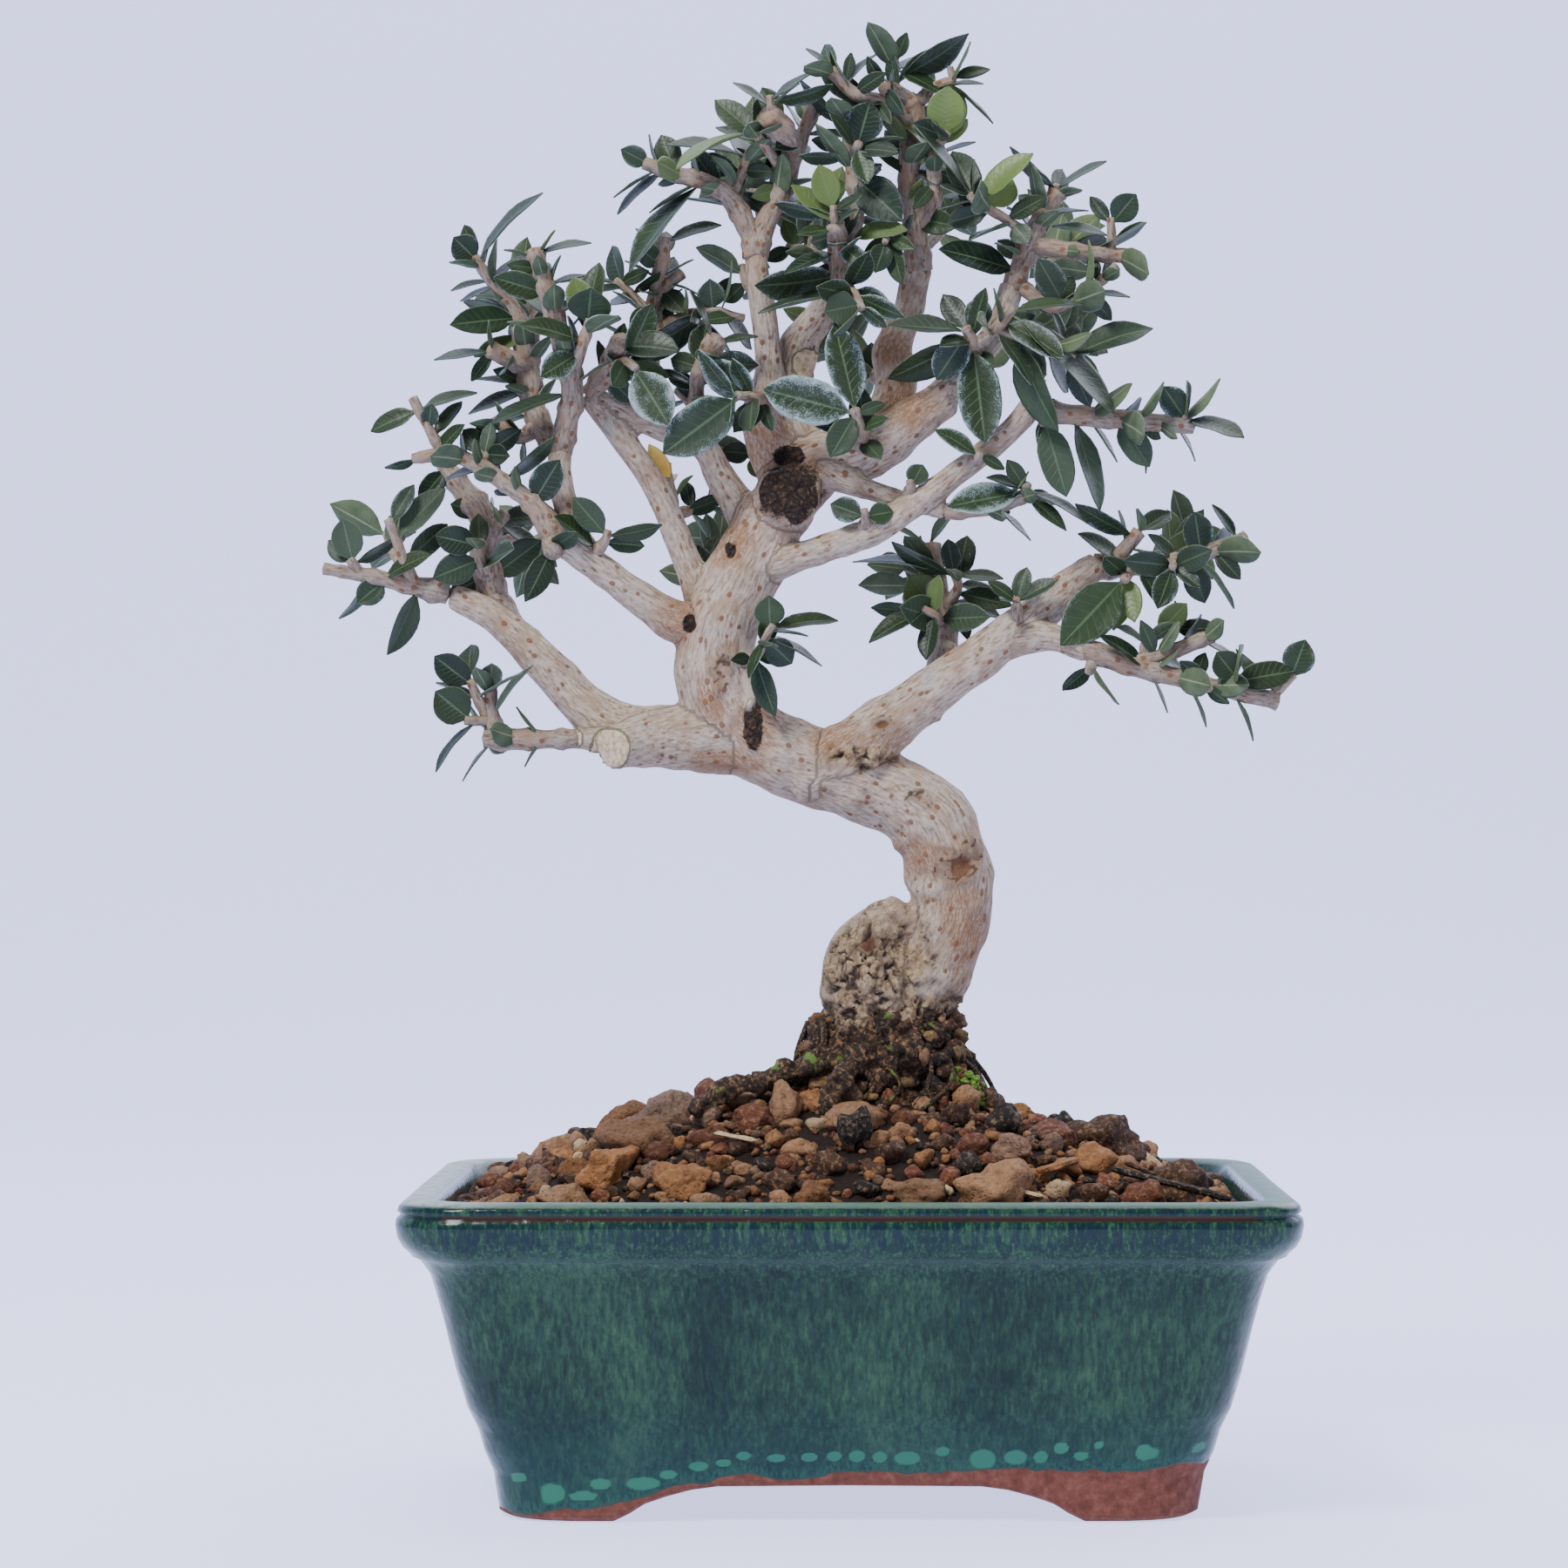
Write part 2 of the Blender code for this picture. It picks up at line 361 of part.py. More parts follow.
# Leafy sprays. Wood paths as above, each starting inside what it grows from. A leaf is its base, its
# tip and its seen width, then how far its tip lies behind its base. A shoot is a twig leafed by rule.
SPRAYS = {
    "spray_low_left_tip": {
        "wood": [
            [(-84, 187.4, 6, 2.6), (-94, 189.6, 5, 1.9), (-102, 191.4, 4, 1.5), (-110, 192.6, 3, 1.3)],
            [(-91, 189, 5, 1.5), (-94, 196.5, 3, 1.1), (-96.4, 203, 1, 1.0)],
            [(-102, 191.4, 4, 1.1), (-104.5, 194.6, 2, 0.9)],
        ],
        "leaves": [
            (-104.4, 194.4, -109, 198.6, 4.4, 2), (-104.6, 195.4, -106, 203.2, 6.4, -1),
            (-103.6, 195, -94.6, 199.2, 2.2, 3), (-97, 190, -103, 185.4, 5.4, -2),
            (-100, 190, -106.6, 182, 1.6, 4), (-90.5, 187.6, -96.6, 174.6, 4.2, -3),
            (-96.2, 203, -91, 210.2, 3.8, 1),
            (-93, 199, -84.6, 209.6, 5.4, 2), (-92, 194.6, -84.2, 202, 4.6, 4),
            (-97.6, 190.4, -87.6, 195.8, 3.6, -4),
        ],
        "shoots": [[(-90, 189, 6, 1.3), (-95, 195, 14, 0.9), (-97, 200, 22, 0.8)]],
    },
    "spray_low_left_back": {
        "wood": [
            [(-73.8, 185.4, 8.8, 3.4), (-76, 195, 12, 3.4), (-76, 202, 12, 3.3), (-80, 208, 12, 2.8),
             (-85, 214.6, 12, 1.9)],
            [(-75.2, 190.4, 9.6, 2.2), (-77, 194, 5, 1.4), (-77.4, 198.6, 3, 1.0)],
            [(-76, 201, 12, 1.8), (-72, 204, 9, 1.5)],
        ],
        "leaves": [
            (-77.4, 197.6, -86.6, 199.6, 6.0, -2), (-77.2, 194.6, -87.2, 190.6, 6.6, -3),
            (-76, 191.6, -84.2, 186.6, 4.2, -4), (-75.6, 190.6, -64.4, 198.6, 6.2, -2),
            (-76.6, 198.6, -68.4, 202.6, 2.8, 3), (-74, 202.6, -64, 195.8, 3.0, 4),
            (-77, 204.6, -83.4, 206.2, 4.2, -3),
            (-84.4, 213.4, -90, 206.6, 4.6, -3),
        ],
        "shoots": [[(-76, 198, 13, 1.5), (-70, 199, 23, 1.1), (-67, 196, 33, 0.8)]],
    },
    "spray_stub_left": {
        "wood": [
            [(-57, 157.2, -3.5, 2.2), (-66, 157, -4, 2.2), (-76.4, 157.2, -4, 2.2)],
            [(-73.4, 157.4, -4, 1.9), (-74.8, 163, -4, 1.4), (-75, 168.2, -4, 1.2)],
            [(-75.2, 160.6, -4, 1.2), (-80.4, 161, -6, 1.0)],
            [(-76, 161.6, -4, 1.1), (-79.4, 169.4, -5, 0.9)],
        ],
        "leaves": [(-78.8, 168.8, -86.8, 174.4, 6.0, -2), (-80, 161.6, -86.6, 167, 7.6, -3)],
        "shoots": [],
    },
    "spray_left_arm": {
        "wood": [
            [(-60.6, 198.8, -6, 2.6), (-66, 206, -6, 2.3), (-71, 210, -6, 2.0), (-78, 214.4, -6, 1.8),
             (-84, 216.6, -6, 1.6), (-91.4, 215.6, -6, 1.0)],
            [(-62, 198.6, -6, 2.3), (-62, 196.2, -11, 2.0)],
            [(-85, 216.6, -6, 1.2), (-88, 222, -7, 1.1), (-91.4, 228.4, -8, 1.1)],
            [(-77, 214, -6, 1.2), (-76, 217.6, -3, 0.9)],
        ],
        "leaves": [
            (-91, 215.4, -97.2, 213.6, 1.6, 2),
            (-90, 225.6, -100.2, 221.4, 4.0, 2), (-88.2, 221.4, -87.4, 227.2, 3.8, -3),
            (-88.4, 226.6, -77.8, 229.4, 2.6, 2), (-86.4, 220.4, -81, 227.6, 3.2, 3),
            (-86.6, 216, -80.4, 222.8, 3.2, -4), (-76, 216.6, -80.8, 221.8, 4.4, 3),
            (-76.4, 217.6, -76, 223.8, 4.4, 4), (-75.6, 216.6, -71, 216.2, 4.4, -3),
            (-75.8, 217.4, -68.6, 221.8, 4.4, 3), (-72.4, 211, -61.6, 220.2, 2.6, -4),
            (-66.4, 206, -60.6, 215.4, 6.4, -5),
        ],
        "shoots": [],
    },
    "spray_left_upright": {
        "wood": [
            [(-60.5, 217, -2, 2.5), (-58.4, 226, -5, 2.4), (-58, 232, -6, 2.3), (-60, 240, -6, 2.3),
             (-63, 250, -6, 2.2), (-66.2, 259.4, -6, 2.0)],
            [(-60.5, 217, -2, 2.5), (-64.6, 223, 1, 2.4), (-67, 231, 3, 2.8), (-67.5, 243, 4, 2.7)],
            [(-65, 223, 1, 1.7), (-69, 220, -1, 1.5), (-74.4, 224, -2, 1.1)],
            [(-67, 235, 3, 1.8), (-70, 236, 0, 2.0), (-75.4, 238.6, -2, 1.7)],
            [(-67.5, 242, 4, 1.8), (-71, 248.6, 3, 1.3), (-75, 252.6, 2, 1.1), (-78.4, 258, 1, 1.0)],
            [(-58.4, 233, -6, 1.6), (-55.6, 240, -9, 1.3), (-54.4, 245, -10, 1.1)],
        ],
        "leaves": [
            (-78.2, 257, -82.8, 262, 6.0, -1), (-78, 258.2, -80.6, 264.6, 3.6, 4),
            (-77.8, 260, -64.4, 271.6, 2.8, 1), (-76, 252.2, -83.4, 250.8, 1.5, 1),
            (-74.4, 253.4, -66, 258.4, 2.4, 5), (-64.6, 255.4, -71.6, 256.2, 3.0, -3),
            (-65.6, 258.6, -54, 261, 2.0, 1), (-66, 249, -74.4, 253.6, 5.4, -4),
            (-68.6, 247, -80.6, 248.6, 2.6, 4), (-66.4, 246.4, -83.6, 243.6, 6.0, -6),
            (-57, 240, -68.8, 244, 4.2, -4), (-53.4, 236.6, -64.8, 232.6, 6.0, -5),
            (-70, 241, -78.6, 237.2, 3.6, -2), (-74.6, 237.6, -79, 231.8, 3.0, 1),
            (-69.4, 231, -74.6, 234.2, 3.2, -3), (-69, 230.4, -78.2, 232.4, 1.7, 1),
            (-62, 229.6, -74.8, 222.8, 3.4, -4), (-69, 229, -79.6, 224.8, 3.0, 2),
            (-56, 244, -57.6, 253.6, 5.6, 1), (-54.4, 246, -52.4, 256.8, 5.0, 4),
            (-50.8, 242.6, -54, 251.4, 9.0, -4), (-60.4, 252.6, -54.4, 254.2, 1.4, 2),
        ],
        "shoots": [[(-67, 240, 5, 1.4), (-66, 246, 14, 1.1), (-69, 251, 24, 0.8)]],
    },
    "spray_inner_left": {
        "wood": [
            [(-42, 223, 5, 2.2), (-41.5, 236, 7, 2.0), (-41, 246, 7, 1.8), (-40, 253, 6, 1.6),
             (-38.4, 262, 5, 1.4)],
            [(-40.6, 250, 7, 1.4), (-35, 254.4, 4, 1.2)],
            [(-41, 245, 7, 1.2), (-45, 249.6, 6, 1.0), (-49, 253, 5, 0.9)],
            [(-41.4, 241.4, 7, 1.3), (-35, 245.6, 4, 1.0), (-28.6, 246.6, 2, 0.9), (-22, 245, 3, 0.8)],
        ],
        "leaves": [
            (-38, 260.6, -26.8, 264.6, 3.0, -2), (-39.2, 258, -44.6, 264, 1.8, 3),
            (-39.6, 256, -44.2, 260, 4.6, -4),
            (-38.6, 250.6, -34.4, 246, 4.6, -4),
            (-28.8, 247, -29.2, 253.2, 5.8, -3), (-21, 245.4, -31, 244.4, 3.2, -4),
            (-29.6, 246.2, -46.2, 236.8, 5.4, -6), (-48.6, 252.4, -42, 255, 3.0, -2),
            (-49, 253, -60.4, 253, 1.6, 2),
            (-45.6, 250, -39.6, 254.8, 1.8, -3), (-41.2, 247, -46, 243.4, 4.2, -4),
            (-40.8, 248, -36.6, 242.6, 4.0, 4),
        ],
        "shoots": [],
    },
    "spray_cut_stub": {
        "wood": [
            [(-54, 229.4, 3, 2.4), (-51.6, 233, 0, 2.3), (-49.4, 236.8, -4, 2.3), (-47.5, 240, -9, 2.3)],
            [(-50.6, 234.6, -1, 1.3), (-47, 236, -9, 1.0), (-44.6, 234.6, -13, 0.9)],
        ],
        "leaves": [
            (-44.8, 235, -37.6, 222.4, 8.8, -3), (-46.4, 236, -35.4, 238.6, 3.0, 3),
            (-51, 233, -45, 227.4, 4.4, 4),
        ],
        "shoots": [],
    },
    "spray_broken_stub": {
        "wood": [
            [(-31, 219, 6, 1.9), (-32, 229, 0, 1.7), (-31, 234.6, -3, 1.9), (-27.6, 241, -6, 2.5)],
            [(-31.6, 226, 2, 1.2), (-36, 230, 6, 0.9)],
        ],
        "leaves": [
            (-31, 236, -19, 235.2, 5.4, 3), (-31.4, 235, -30, 243.6, 6.4, 5),
            (-30.6, 234, -37.4, 236.6, 4.4, 4),
            (-32, 230, -38, 234, 3.6, 4),
        ],
        "shoots": [],
    },
    "spray_front_left": {
        "wood": [
            [(-17.4, 227, 1, 1.7), (-19, 228.4, -8, 1.2), (-23.6, 228.8, -12, 1.0)],
        ],
        "leaves": [
            (-23.8, 228.2, -39, 216.6, 9.6, -2), (-20, 228.8, -31, 235.8, 7.0, -2),
            (-18.6, 227.8, -16.2, 221.4, 3.0, -2),
        ],
        "shoots": [],
    },
    "spray_arm_side": {
        "wood": [[(-54.4, 195, -5, 1.7), (-51.4, 198, -8, 1.1), (-50.4, 200.6, -9, 0.9)]],
        "leaves": [
            (-50.6, 200.4, -57.8, 207.6, 5.4, -2), (-50, 199.6, -39.2, 201.6, 3.2, -2),
            (-51, 198, -42.8, 197.4, 3.6, 2),
        ],
        "shoots": [],
    },
    "spray_inner_low": {
        "wood": [
            [(-36.4, 200, 4, 1.8), (-37.4, 208, 8, 1.3), (-38.4, 214.6, 9, 1.0)],
            [(-37, 204, 6, 1.3), (-32, 205, 10, 1.0), (-28, 206.6, 12, 0.8)],
        ],
        "leaves": [
            (-38, 215.2, -42.4, 208, 4.0, -3), (-35, 204.2, -26.4, 207.6, 3.6, 4),
            (-33, 205, -34.4, 211, 3.2, 4),
        ],
        "shoots": [],
    },
    "spray_trunk_back": {
        "wood": [
            [(-25, 188, 3, 2.0), (-29, 190, 12, 1.2), (-31, 193, 18, 1.0)],
        ],
        "leaves": [(-28.6, 190, -31.8, 197.6, 4.0, 1), ],
        "shoots": [[(-29, 190, 12, 1.1), (-28, 196, 23, 0.9), (-25, 199, 33, 0.8)]],
    },
    "spray_knob_back": {
        "wood": [
            [(-15, 216, 6, 2.4), (-19, 216.4, 12, 1.3), (-21, 216.8, 14, 1.0)],
        ],
        "leaves": [
            (-20.4, 216.8, -26.8, 217.2, 4.6, -2), (-20.6, 217, -18.4, 211.4, 4.2, -1),
        ],
        "shoots": [],
    },
    "spray_trunk_shoot": {
        "wood": [
            [(-24, 173, -3, 2.0), (-19.6, 174.4, -9, 1.0), (-17.6, 178, -11, 0.9), (-16, 181, -11, 0.8)],
        ],
        "leaves": [
            (-16.6, 180, -16.8, 187, 6.2, -2), (-15.6, 181, -2.4, 182.2, 3.2, 2),
            (-17.8, 177.8, -12, 172.8, 5.8, 3),
            (-16.8, 178, -5.8, 172.2, 1.5, 5), (-19.6, 174, -15.4, 161.8, 4.8, -2),
            (-17.8, 178.6, -20.8, 169.6, 2.2, -3),
        ],
        "shoots": [],
    },
    "spray_crown_left": {
        "wood": [
            [(-19.6, 258, 1, 2.6), (-21, 263, 1, 2.3), (-24.4, 269.4, 1, 2.3), (-29, 273, 0, 2.0),
             (-36, 275, -1, 1.7), (-43, 277.6, -2, 1.5)],
            [(-19.6, 258, 1, 2.6), (-17.6, 265, 2, 2.3), (-14, 272, 3, 2.3), (-12, 279, 3, 2.2),
             (-13.2, 283, 1, 2.6),
             (-17.4, 287.6, -3, 3.1)],
            [(-12, 278, 3, 1.9), (-9, 285, 4, 1.6), (-7, 291, 4, 1.6)],
            [(-24.4, 269.4, 1, 1.5), (-22.4, 275.6, 3, 1.1), (-21, 280, 3, 0.9)],
            [(-16, 286, -2, 1.2), (-16.6, 291.6, -4, 0.8)],
            [(-13, 275, 3, 1.2), (-17, 280, 0, 1.0), (-20.6, 285, -2, 0.8)],
        ],
        "leaves": [
            (-42.4, 277.6, -47.8, 280.4, 4.4, -2), (-39, 274.6, -48.6, 266.8, 2.6, 2),
            (-31, 272.4, -46.4, 254.6, 4.8, -3),
            (-36, 275.4, -39.4, 283.4, 5.4, 2), (-21.4, 279, -38.4, 281.6, 2.8, -4),
            (-21, 285.2, -36.6, 277, 2.8, -3),
            (-21, 284.4, -19.4, 290.8, 2.0, 2), (-22.6, 275.6, -32.8, 278.2, 5.0, 3),
            (-16.6, 291.2, -6.8, 296.8, 1.8, 2),
            (-16.4, 291, -3.4, 293.6, 2.4, -3), (-8.6, 284, -15.6, 280.4, 4.4, -6),
            (-17.6, 280.4, -20.4, 285.6, 3.6, 4),
            (-9, 285.4, -10.4, 291.6, 3.2, 3), (-17, 266, -23, 271.4, 3.4, 5),
            (-14, 272, -20.4, 270.4, 3.6, -3),
            (-22.4, 276, -16, 275.6, 3.4, -3), (-12.6, 280, -17.6, 276.6, 3.6, 5),
            (-19, 281, -28, 284.6, 2.6, 3),
        ],
        "shoots": [[(-17.6, 265, 3, 1.4), (-20, 271, 14, 1.1), (-22, 276, 25, 0.9), (-20, 280, 33, 0.8)]],
    },
    "spray_crown_left_low": {
        "wood": [
            [(-18.4, 250, 1, 1.8), (-21.4, 252, 5, 1.1), (-22.4, 256, 8, 0.9)],
        ],
        "leaves": [(-21.6, 252.6, -26, 248.4, 3.6, 3)],
        "shoots": [],
    },
    "spray_crown_middle": {
        "wood": [
            [(-1.6, 251, 4, 2.4), (-2, 258, 0, 2.3), (-3, 264.6, -5, 2.1)],
            [(-2, 257, 1, 1.7), (1.6, 266, 0, 1.5), (0.6, 275, -1, 1.5), (-0.4, 286, -1, 1.4)],
            [(-2, 256, 1, 1.3), (-7.6, 259, 5, 1.1), (-13, 260, 8, 0.9)],
            [(-2.8, 263, -4, 1.1), (-3.4, 268.6, -6, 0.8)],
            [(-1.8, 253, 3, 1.2), (1, 250, -6, 1.0), (2.8, 247, -9, 0.8)],
            [(0.4, 279, -1, 1.1), (2, 281.6, -5, 0.9)],
        ],
        "leaves": [
            (-3.4, 268, -6.4, 277.2, 5.8, -1), (-3.2, 267.4, 2.8, 270.8, 2.2, -2),
            (-3.6, 266.6, -15.6, 269.2, 2.4, 2),
            (-3.6, 264.4, -11, 262.4, 2.6, -3), (-1.4, 261, 4.6, 254.6, 4.4, -4),
            (-3, 262.4, -8, 260.8, 4.4, 3),
            (-2.6, 259, -13.6, 254.2, 3.2, -6), (-2.4, 254, -19.6, 251.6, 6.2, -7),
            (0.4, 251.4, 8.8, 245.4, 6.0, -2),
            (2.6, 248, -5.2, 246.4, 6.8, -3), (0.6, 250, -19, 245.4, 2.2, 4),
            (0.6, 275, 11, 265.4, 8.6, -5),
            (2, 280.8, 4.4, 290.4, 7.8, -1), (2.2, 281.4, 4, 273, 4.8, -3),
            (-0.6, 285.4, -10.4, 295.2, 2.0, 2),
            (0, 279, -10.6, 279.2, 2.2, -3), (-0.2, 281.4, -8, 282.2, 2.6, 4),
            (1.2, 278.4, 11, 281, 1.6, 2),
            (0, 262, 12, 263.8, 4.2, -5), (1.4, 266.4, 7.4, 265.2, 1.8, 4),
            (-12.6, 260, -17.6, 257, 3.2, -2), (-11, 259.6, -13.8, 265.6, 3.6, 1),
            (0.6, 273, -5.4, 271.4, 3.4, 5),
            (-2, 257, -8.6, 251.4, 3.6, 4), (0.6, 274, 6.8, 277.4, 3.2, 5),
        ],
        "shoots": [[(-7.6, 259, 5, 1.1), (-8, 264, 16, 0.9), (-5, 268, 26, 0.8)]],
    },
    "spray_crown_top": {
        "wood": [
            [(14.5, 255, 7, 2.8), (14, 262, 6, 2.6), (12.6, 272, 5, 2.2), (12.4, 280, 5, 2.2),
             (13.6, 288, 5, 2.3),
             (12, 291.6, 4, 2.0)],
            [(13, 284, 5, 1.6), (10, 289, 2, 1.4), (6, 290.6, 0, 1.3), (1, 292, -2, 1.3),
             (-4, 297, -3, 1.2)],
            [(14, 262, 6, 2.0), (17.6, 270, 3, 1.7), (17.8, 279, 1, 1.4), (20.4, 284, -2, 1.0)],
            [(12, 290.6, 4, 1.4), (8.6, 293.4, 1, 1.3), (7.2, 293, -2, 1.3)],
            [(13.4, 289, 5, 1.4), (17.6, 293.4, 3, 1.1), (21.4, 294.6, 2, 1.0), (21, 297.6, 2, 0.7)],
            [(10.4, 288.6, 2, 1.1), (9.6, 295, 4, 0.8), (9.8, 300, 5, 0.6)],
            [(14, 260, 6, 1.4), (9, 263, -1, 1.0), (7.4, 261, -6, 0.8)],
        ],
        "leaves": [
            (9.8, 299.4, 12, 304.8, 3.0, -1), (12.4, 295, 25.2, 304.2, 4.4, -2),
            (10.2, 297, 20.2, 291.4, 3.4, -4), (21, 295, 29.4, 297.2, 2.8, 1),
            (1.6, 292.4, 7.6, 296.4, 3.4, -3),
            (-0.6, 293.8, 5.4, 300.4, 1.6, 3), (-4, 296.8, -9, 301.6, 1.6, 1),
            (-1, 294, 0.4, 300.6, 2.6, 5),
            (20.6, 283.4, 20.6, 293.6, 7.8, -3), (18.4, 281, 24.8, 286.8, 3.8, 4),
            (19.8, 283, 13.2, 285.8, 4.4, -4),
            (14, 290.6, 17.6, 297.4, 2.2, 3), (13, 276, 20.2, 272.4, 2.8, -4),
            (12.4, 275, 6.4, 279, 2.4, -3),
            (17.6, 276, 25.4, 272.8, 3.2, 3), (13.8, 266, 22.6, 264.2, 5.4, -6),
            (7.6, 261.4, 5.4, 254.6, 4.8, -1),
            (8, 262, 13.8, 259.4, 3.0, -4), (18, 273, 13.4, 268, 3.2, -4),
            (13.2, 283, 8.4, 288.6, 3.6, 3),
            (14, 286, 19.6, 289, 3.4, 5), (11.8, 279, 7.4, 284.4, 3.4, 4),
            (5, 290.8, 9, 285.4, 3.2, -4), (17.4, 293.4, 24.4, 290.4, 3.4, 4),
        ],
        "shoots": [[(14.2, 259, 8, 1.5), (19, 263, 19, 1.1), (21, 268, 29, 0.9), (20, 272, 38, 0.8)]],
    },
    "spray_crown_right": {
        "wood": [
            [(34, 251, -2, 2.4), (37, 259.6, -3, 2.3), (40, 266, -3, 2.1), (43.6, 271.4, -3, 2.0)],
            [(37.4, 260.4, -3, 1.9), (47, 259, -5, 1.7), (58.4, 258, -6, 1.6)],
            [(34.6, 253, -2, 1.6), (42, 247.4, -5, 1.3), (49, 250, -7, 1.1), (56, 256, -8, 1.0)],
            [(38, 261.6, -3, 1.4), (33, 265.6, -6, 1.1), (27, 269, -8, 1.0), (25, 271, -8, 0.8)],
            [(54.6, 258.2, -6, 1.2), (54.8, 262, -5, 0.9), (54.6, 266, -5, 0.8)],
            [(43, 270.6, -3, 1.0), (43.4, 273, -4, 0.8)],
        ],
        "leaves": [
            (27, 269.4, 38.2, 279.8, 4.8, -2), (25.2, 271, 13, 285.4, 2.2, -2),
            (25.6, 270.6, 19, 273, 2.0, 2),
            (33, 266, 41, 270.4, 3.8, -3), (33.6, 265, 37.6, 260.6, 4.6, -3),
            (29, 268.4, 34.4, 274, 6.2, 3),
            (43.2, 272.6, 33.6, 281, 1.8, 2),
            (54.8, 265.8, 60, 271, 5.8, -1), (54.4, 265.6, 50.4, 270.4, 3.0, 2),
            (54.6, 261.6, 42.4, 264.6, 2.4, 2), (44.6, 248.4, 39.4, 257.6, 6.0, -4),
            (42, 248, 47, 253.8, 4.0, 3),
            (38, 250.4, 43.6, 246.4, 4.0, 4), (34.4, 255, 18.6, 259.4, 6.2, -7),
            
            (30, 268, 20.6, 265, 4.6, 4), (27.4, 269.4, 21.6, 279.8, 6.4, 4),
            (49.6, 250.6, 54.8, 244.6, 3.4, 2), (52, 252.4, 50.4, 258, 3.0, 3),
            (36, 257, 31, 261.4, 3.6, 5), (40.4, 267, 35.4, 270.8, 3.2, 4),
        ],
        "shoots": [[(37, 258, -2, 1.5), (41, 256, 9, 1.1), (44, 259, 19, 0.9), (44, 263, 27, 0.8)]],
    },
    "spray_front_right": {
        "wood": [
            [(26.6, 236.6, -1, 2.2), (26, 239.4, -9, 1.4), (24.4, 243, -12, 1.1)],
            [(26, 239, -8, 1.3), (30.4, 242.6, -13, 1.1), (34.4, 247, -15, 0.9)],
            [(30.6, 242.6, -13, 1.1), (39, 239.6, -12, 1.0), (47, 236.4, -11, 0.9)],
        ],
        "leaves": [
            (25.4, 239.4, 28.4, 218.6, 8.8, -3), (24.4, 242.6, 8, 243.2, 4.0, -1),
            (24, 243, 18.2, 232.2, 6.8, 2),
            (25, 241, 8, 232.6, 5.6, 6), (30.4, 242, 38.4, 231.4, 3.8, -4),
            (32, 244.4, 44.8, 237, 5.6, -5), (34.6, 246.6, 55.4, 225, 5.8, 1),
            (35, 240.8, 43.2, 221.2, 5.6, -4),
            (46.6, 236.8, 63.4, 243.4, 5.6, 2), (46.6, 236.4, 50.4, 226.4, 4.4, 3),
            (24.4, 243, 28.4, 249, 5.6, 4),
            (34.4, 247, 48.8, 248.2, 2.4, 3), (45, 237.4, 47.6, 243.6, 3.4, 4),
            (24.2, 243, 19.6, 250, 5.0, 5),
            (41, 239, 38.4, 244.6, 3.4, 4),
        ],
        "shoots": [],
    },
    "spray_right_back": {
        "wood": [
            [(31, 243, -2, 2.0), (35, 241, 9, 1.3), (40, 243, 18, 1.0)],
        ],
        "leaves": [(36, 241.4, 42, 238, 4.2, 3), (38, 242.4, 36.4, 248, 3.8, 4)],
        "shoots": [[(35, 241, 9, 1.2), (42, 239, 20, 1.0), (47, 241, 30, 0.8)]],
    },
    "spray_trunk_front": {
        "wood": [
            [(3, 217.6, 0, 2.4), (2.4, 221.6, -9, 1.3), (1, 226, -12, 1.0)],
        ],
        "leaves": [
            (0.6, 226, -18, 230.2, 9.2, -1), (1, 226, -3.2, 243.8, 7.6, 2),
            (0.8, 225.4, -4, 216, 6.0, -2),
            (1.4, 225, 7.4, 227.2, 2.6, 1),
        ],
        "shoots": [],
    },
    "spray_stem_back": {
        "wood": [
            [(9.4, 232, 9, 2.4), (5, 233, 18, 1.3), (2, 236, 26, 1.0)],
        ],
        "leaves": [(5, 233.2, 4.6, 240, 4.4, 2)],
        "shoots": [[(5, 233, 18, 1.2), (-1, 238, 28, 1.0), (-5, 243, 36, 0.8)]],
    },
    "spray_right_thin": {
        "wood": [
            [(20, 204.6, -5, 1.8), (30, 205.6, -6, 1.6), (37, 207.8, -7, 1.4)],
            [(36.6, 207.6, -7, 1.2), (37, 210.4, -9, 0.9)],
        ],
        "leaves": [
            (36, 208.6, 20.2, 205.4, 6.4, -5), (37, 210, 33, 215.4, 3.6, -2),
            (37.2, 209, 50, 202.4, 2.2, 1), (36.8, 208, 45.4, 200.6, 3.2, -2),
            (37.2, 208.6, 43.6, 206.2, 2.6, 4),
        ],
        "shoots": [],
    },
    "spray_right_thin_root": {
        "wood": [[(12, 206.8, -4, 1.7), (12.8, 209.6, -8, 1.0), (12.6, 211, -9, 0.8)]],
        "leaves": [(12.8, 209.8, 15.4, 214.4, 4.6, 1), ],
        "shoots": [],
    },
    "spray_right_inner_low": {
        "wood": [[(3.4, 200, -5, 2.2), (3.4, 203.4, -10, 1.0), (3, 205, -11, 0.8)]],
        "leaves": [(3.2, 203.4, -4, 206.2, 5.2, 2), (3.4, 203.6, 9.2, 204.6, 4.6, 1)],
        "shoots": [],
    },
    "spray_right_inner_leaf": {
        "wood": [[(26, 215.2, -6, 2.0), (27, 216, -10.4, 1.0), (27.4, 217, -11, 0.8)]],
        "leaves": [(27, 216, 18, 221.8, 3.6, -1), (27.4, 216.4, 32.4, 213.4, 2.4, 1)],
        "shoots": [],
    },
    "spray_right_inner_tip": {
        "wood": [
            [(38.6, 226.8, -6, 2.4), (44, 225, -6, 2.2), (56, 224, -5, 2.0), (72, 222.4, -4, 1.8)],
            [(39.6, 227, -6, 2.0), (38.4, 231, -8, 2.2)],
            [(41, 225.6, -6, 1.4), (40.6, 223, -9, 0.9)],
            [(69, 222.8, -4, 1.2), (71, 224.6, -6, 0.9)],
        ],
        "leaves": [
            (40, 223.4, 45.4, 207.8, 6.8, -2), (46.4, 224, 52, 204.6, 4.6, -2),
            (56, 222.8, 62.8, 214, 5.8, -2),
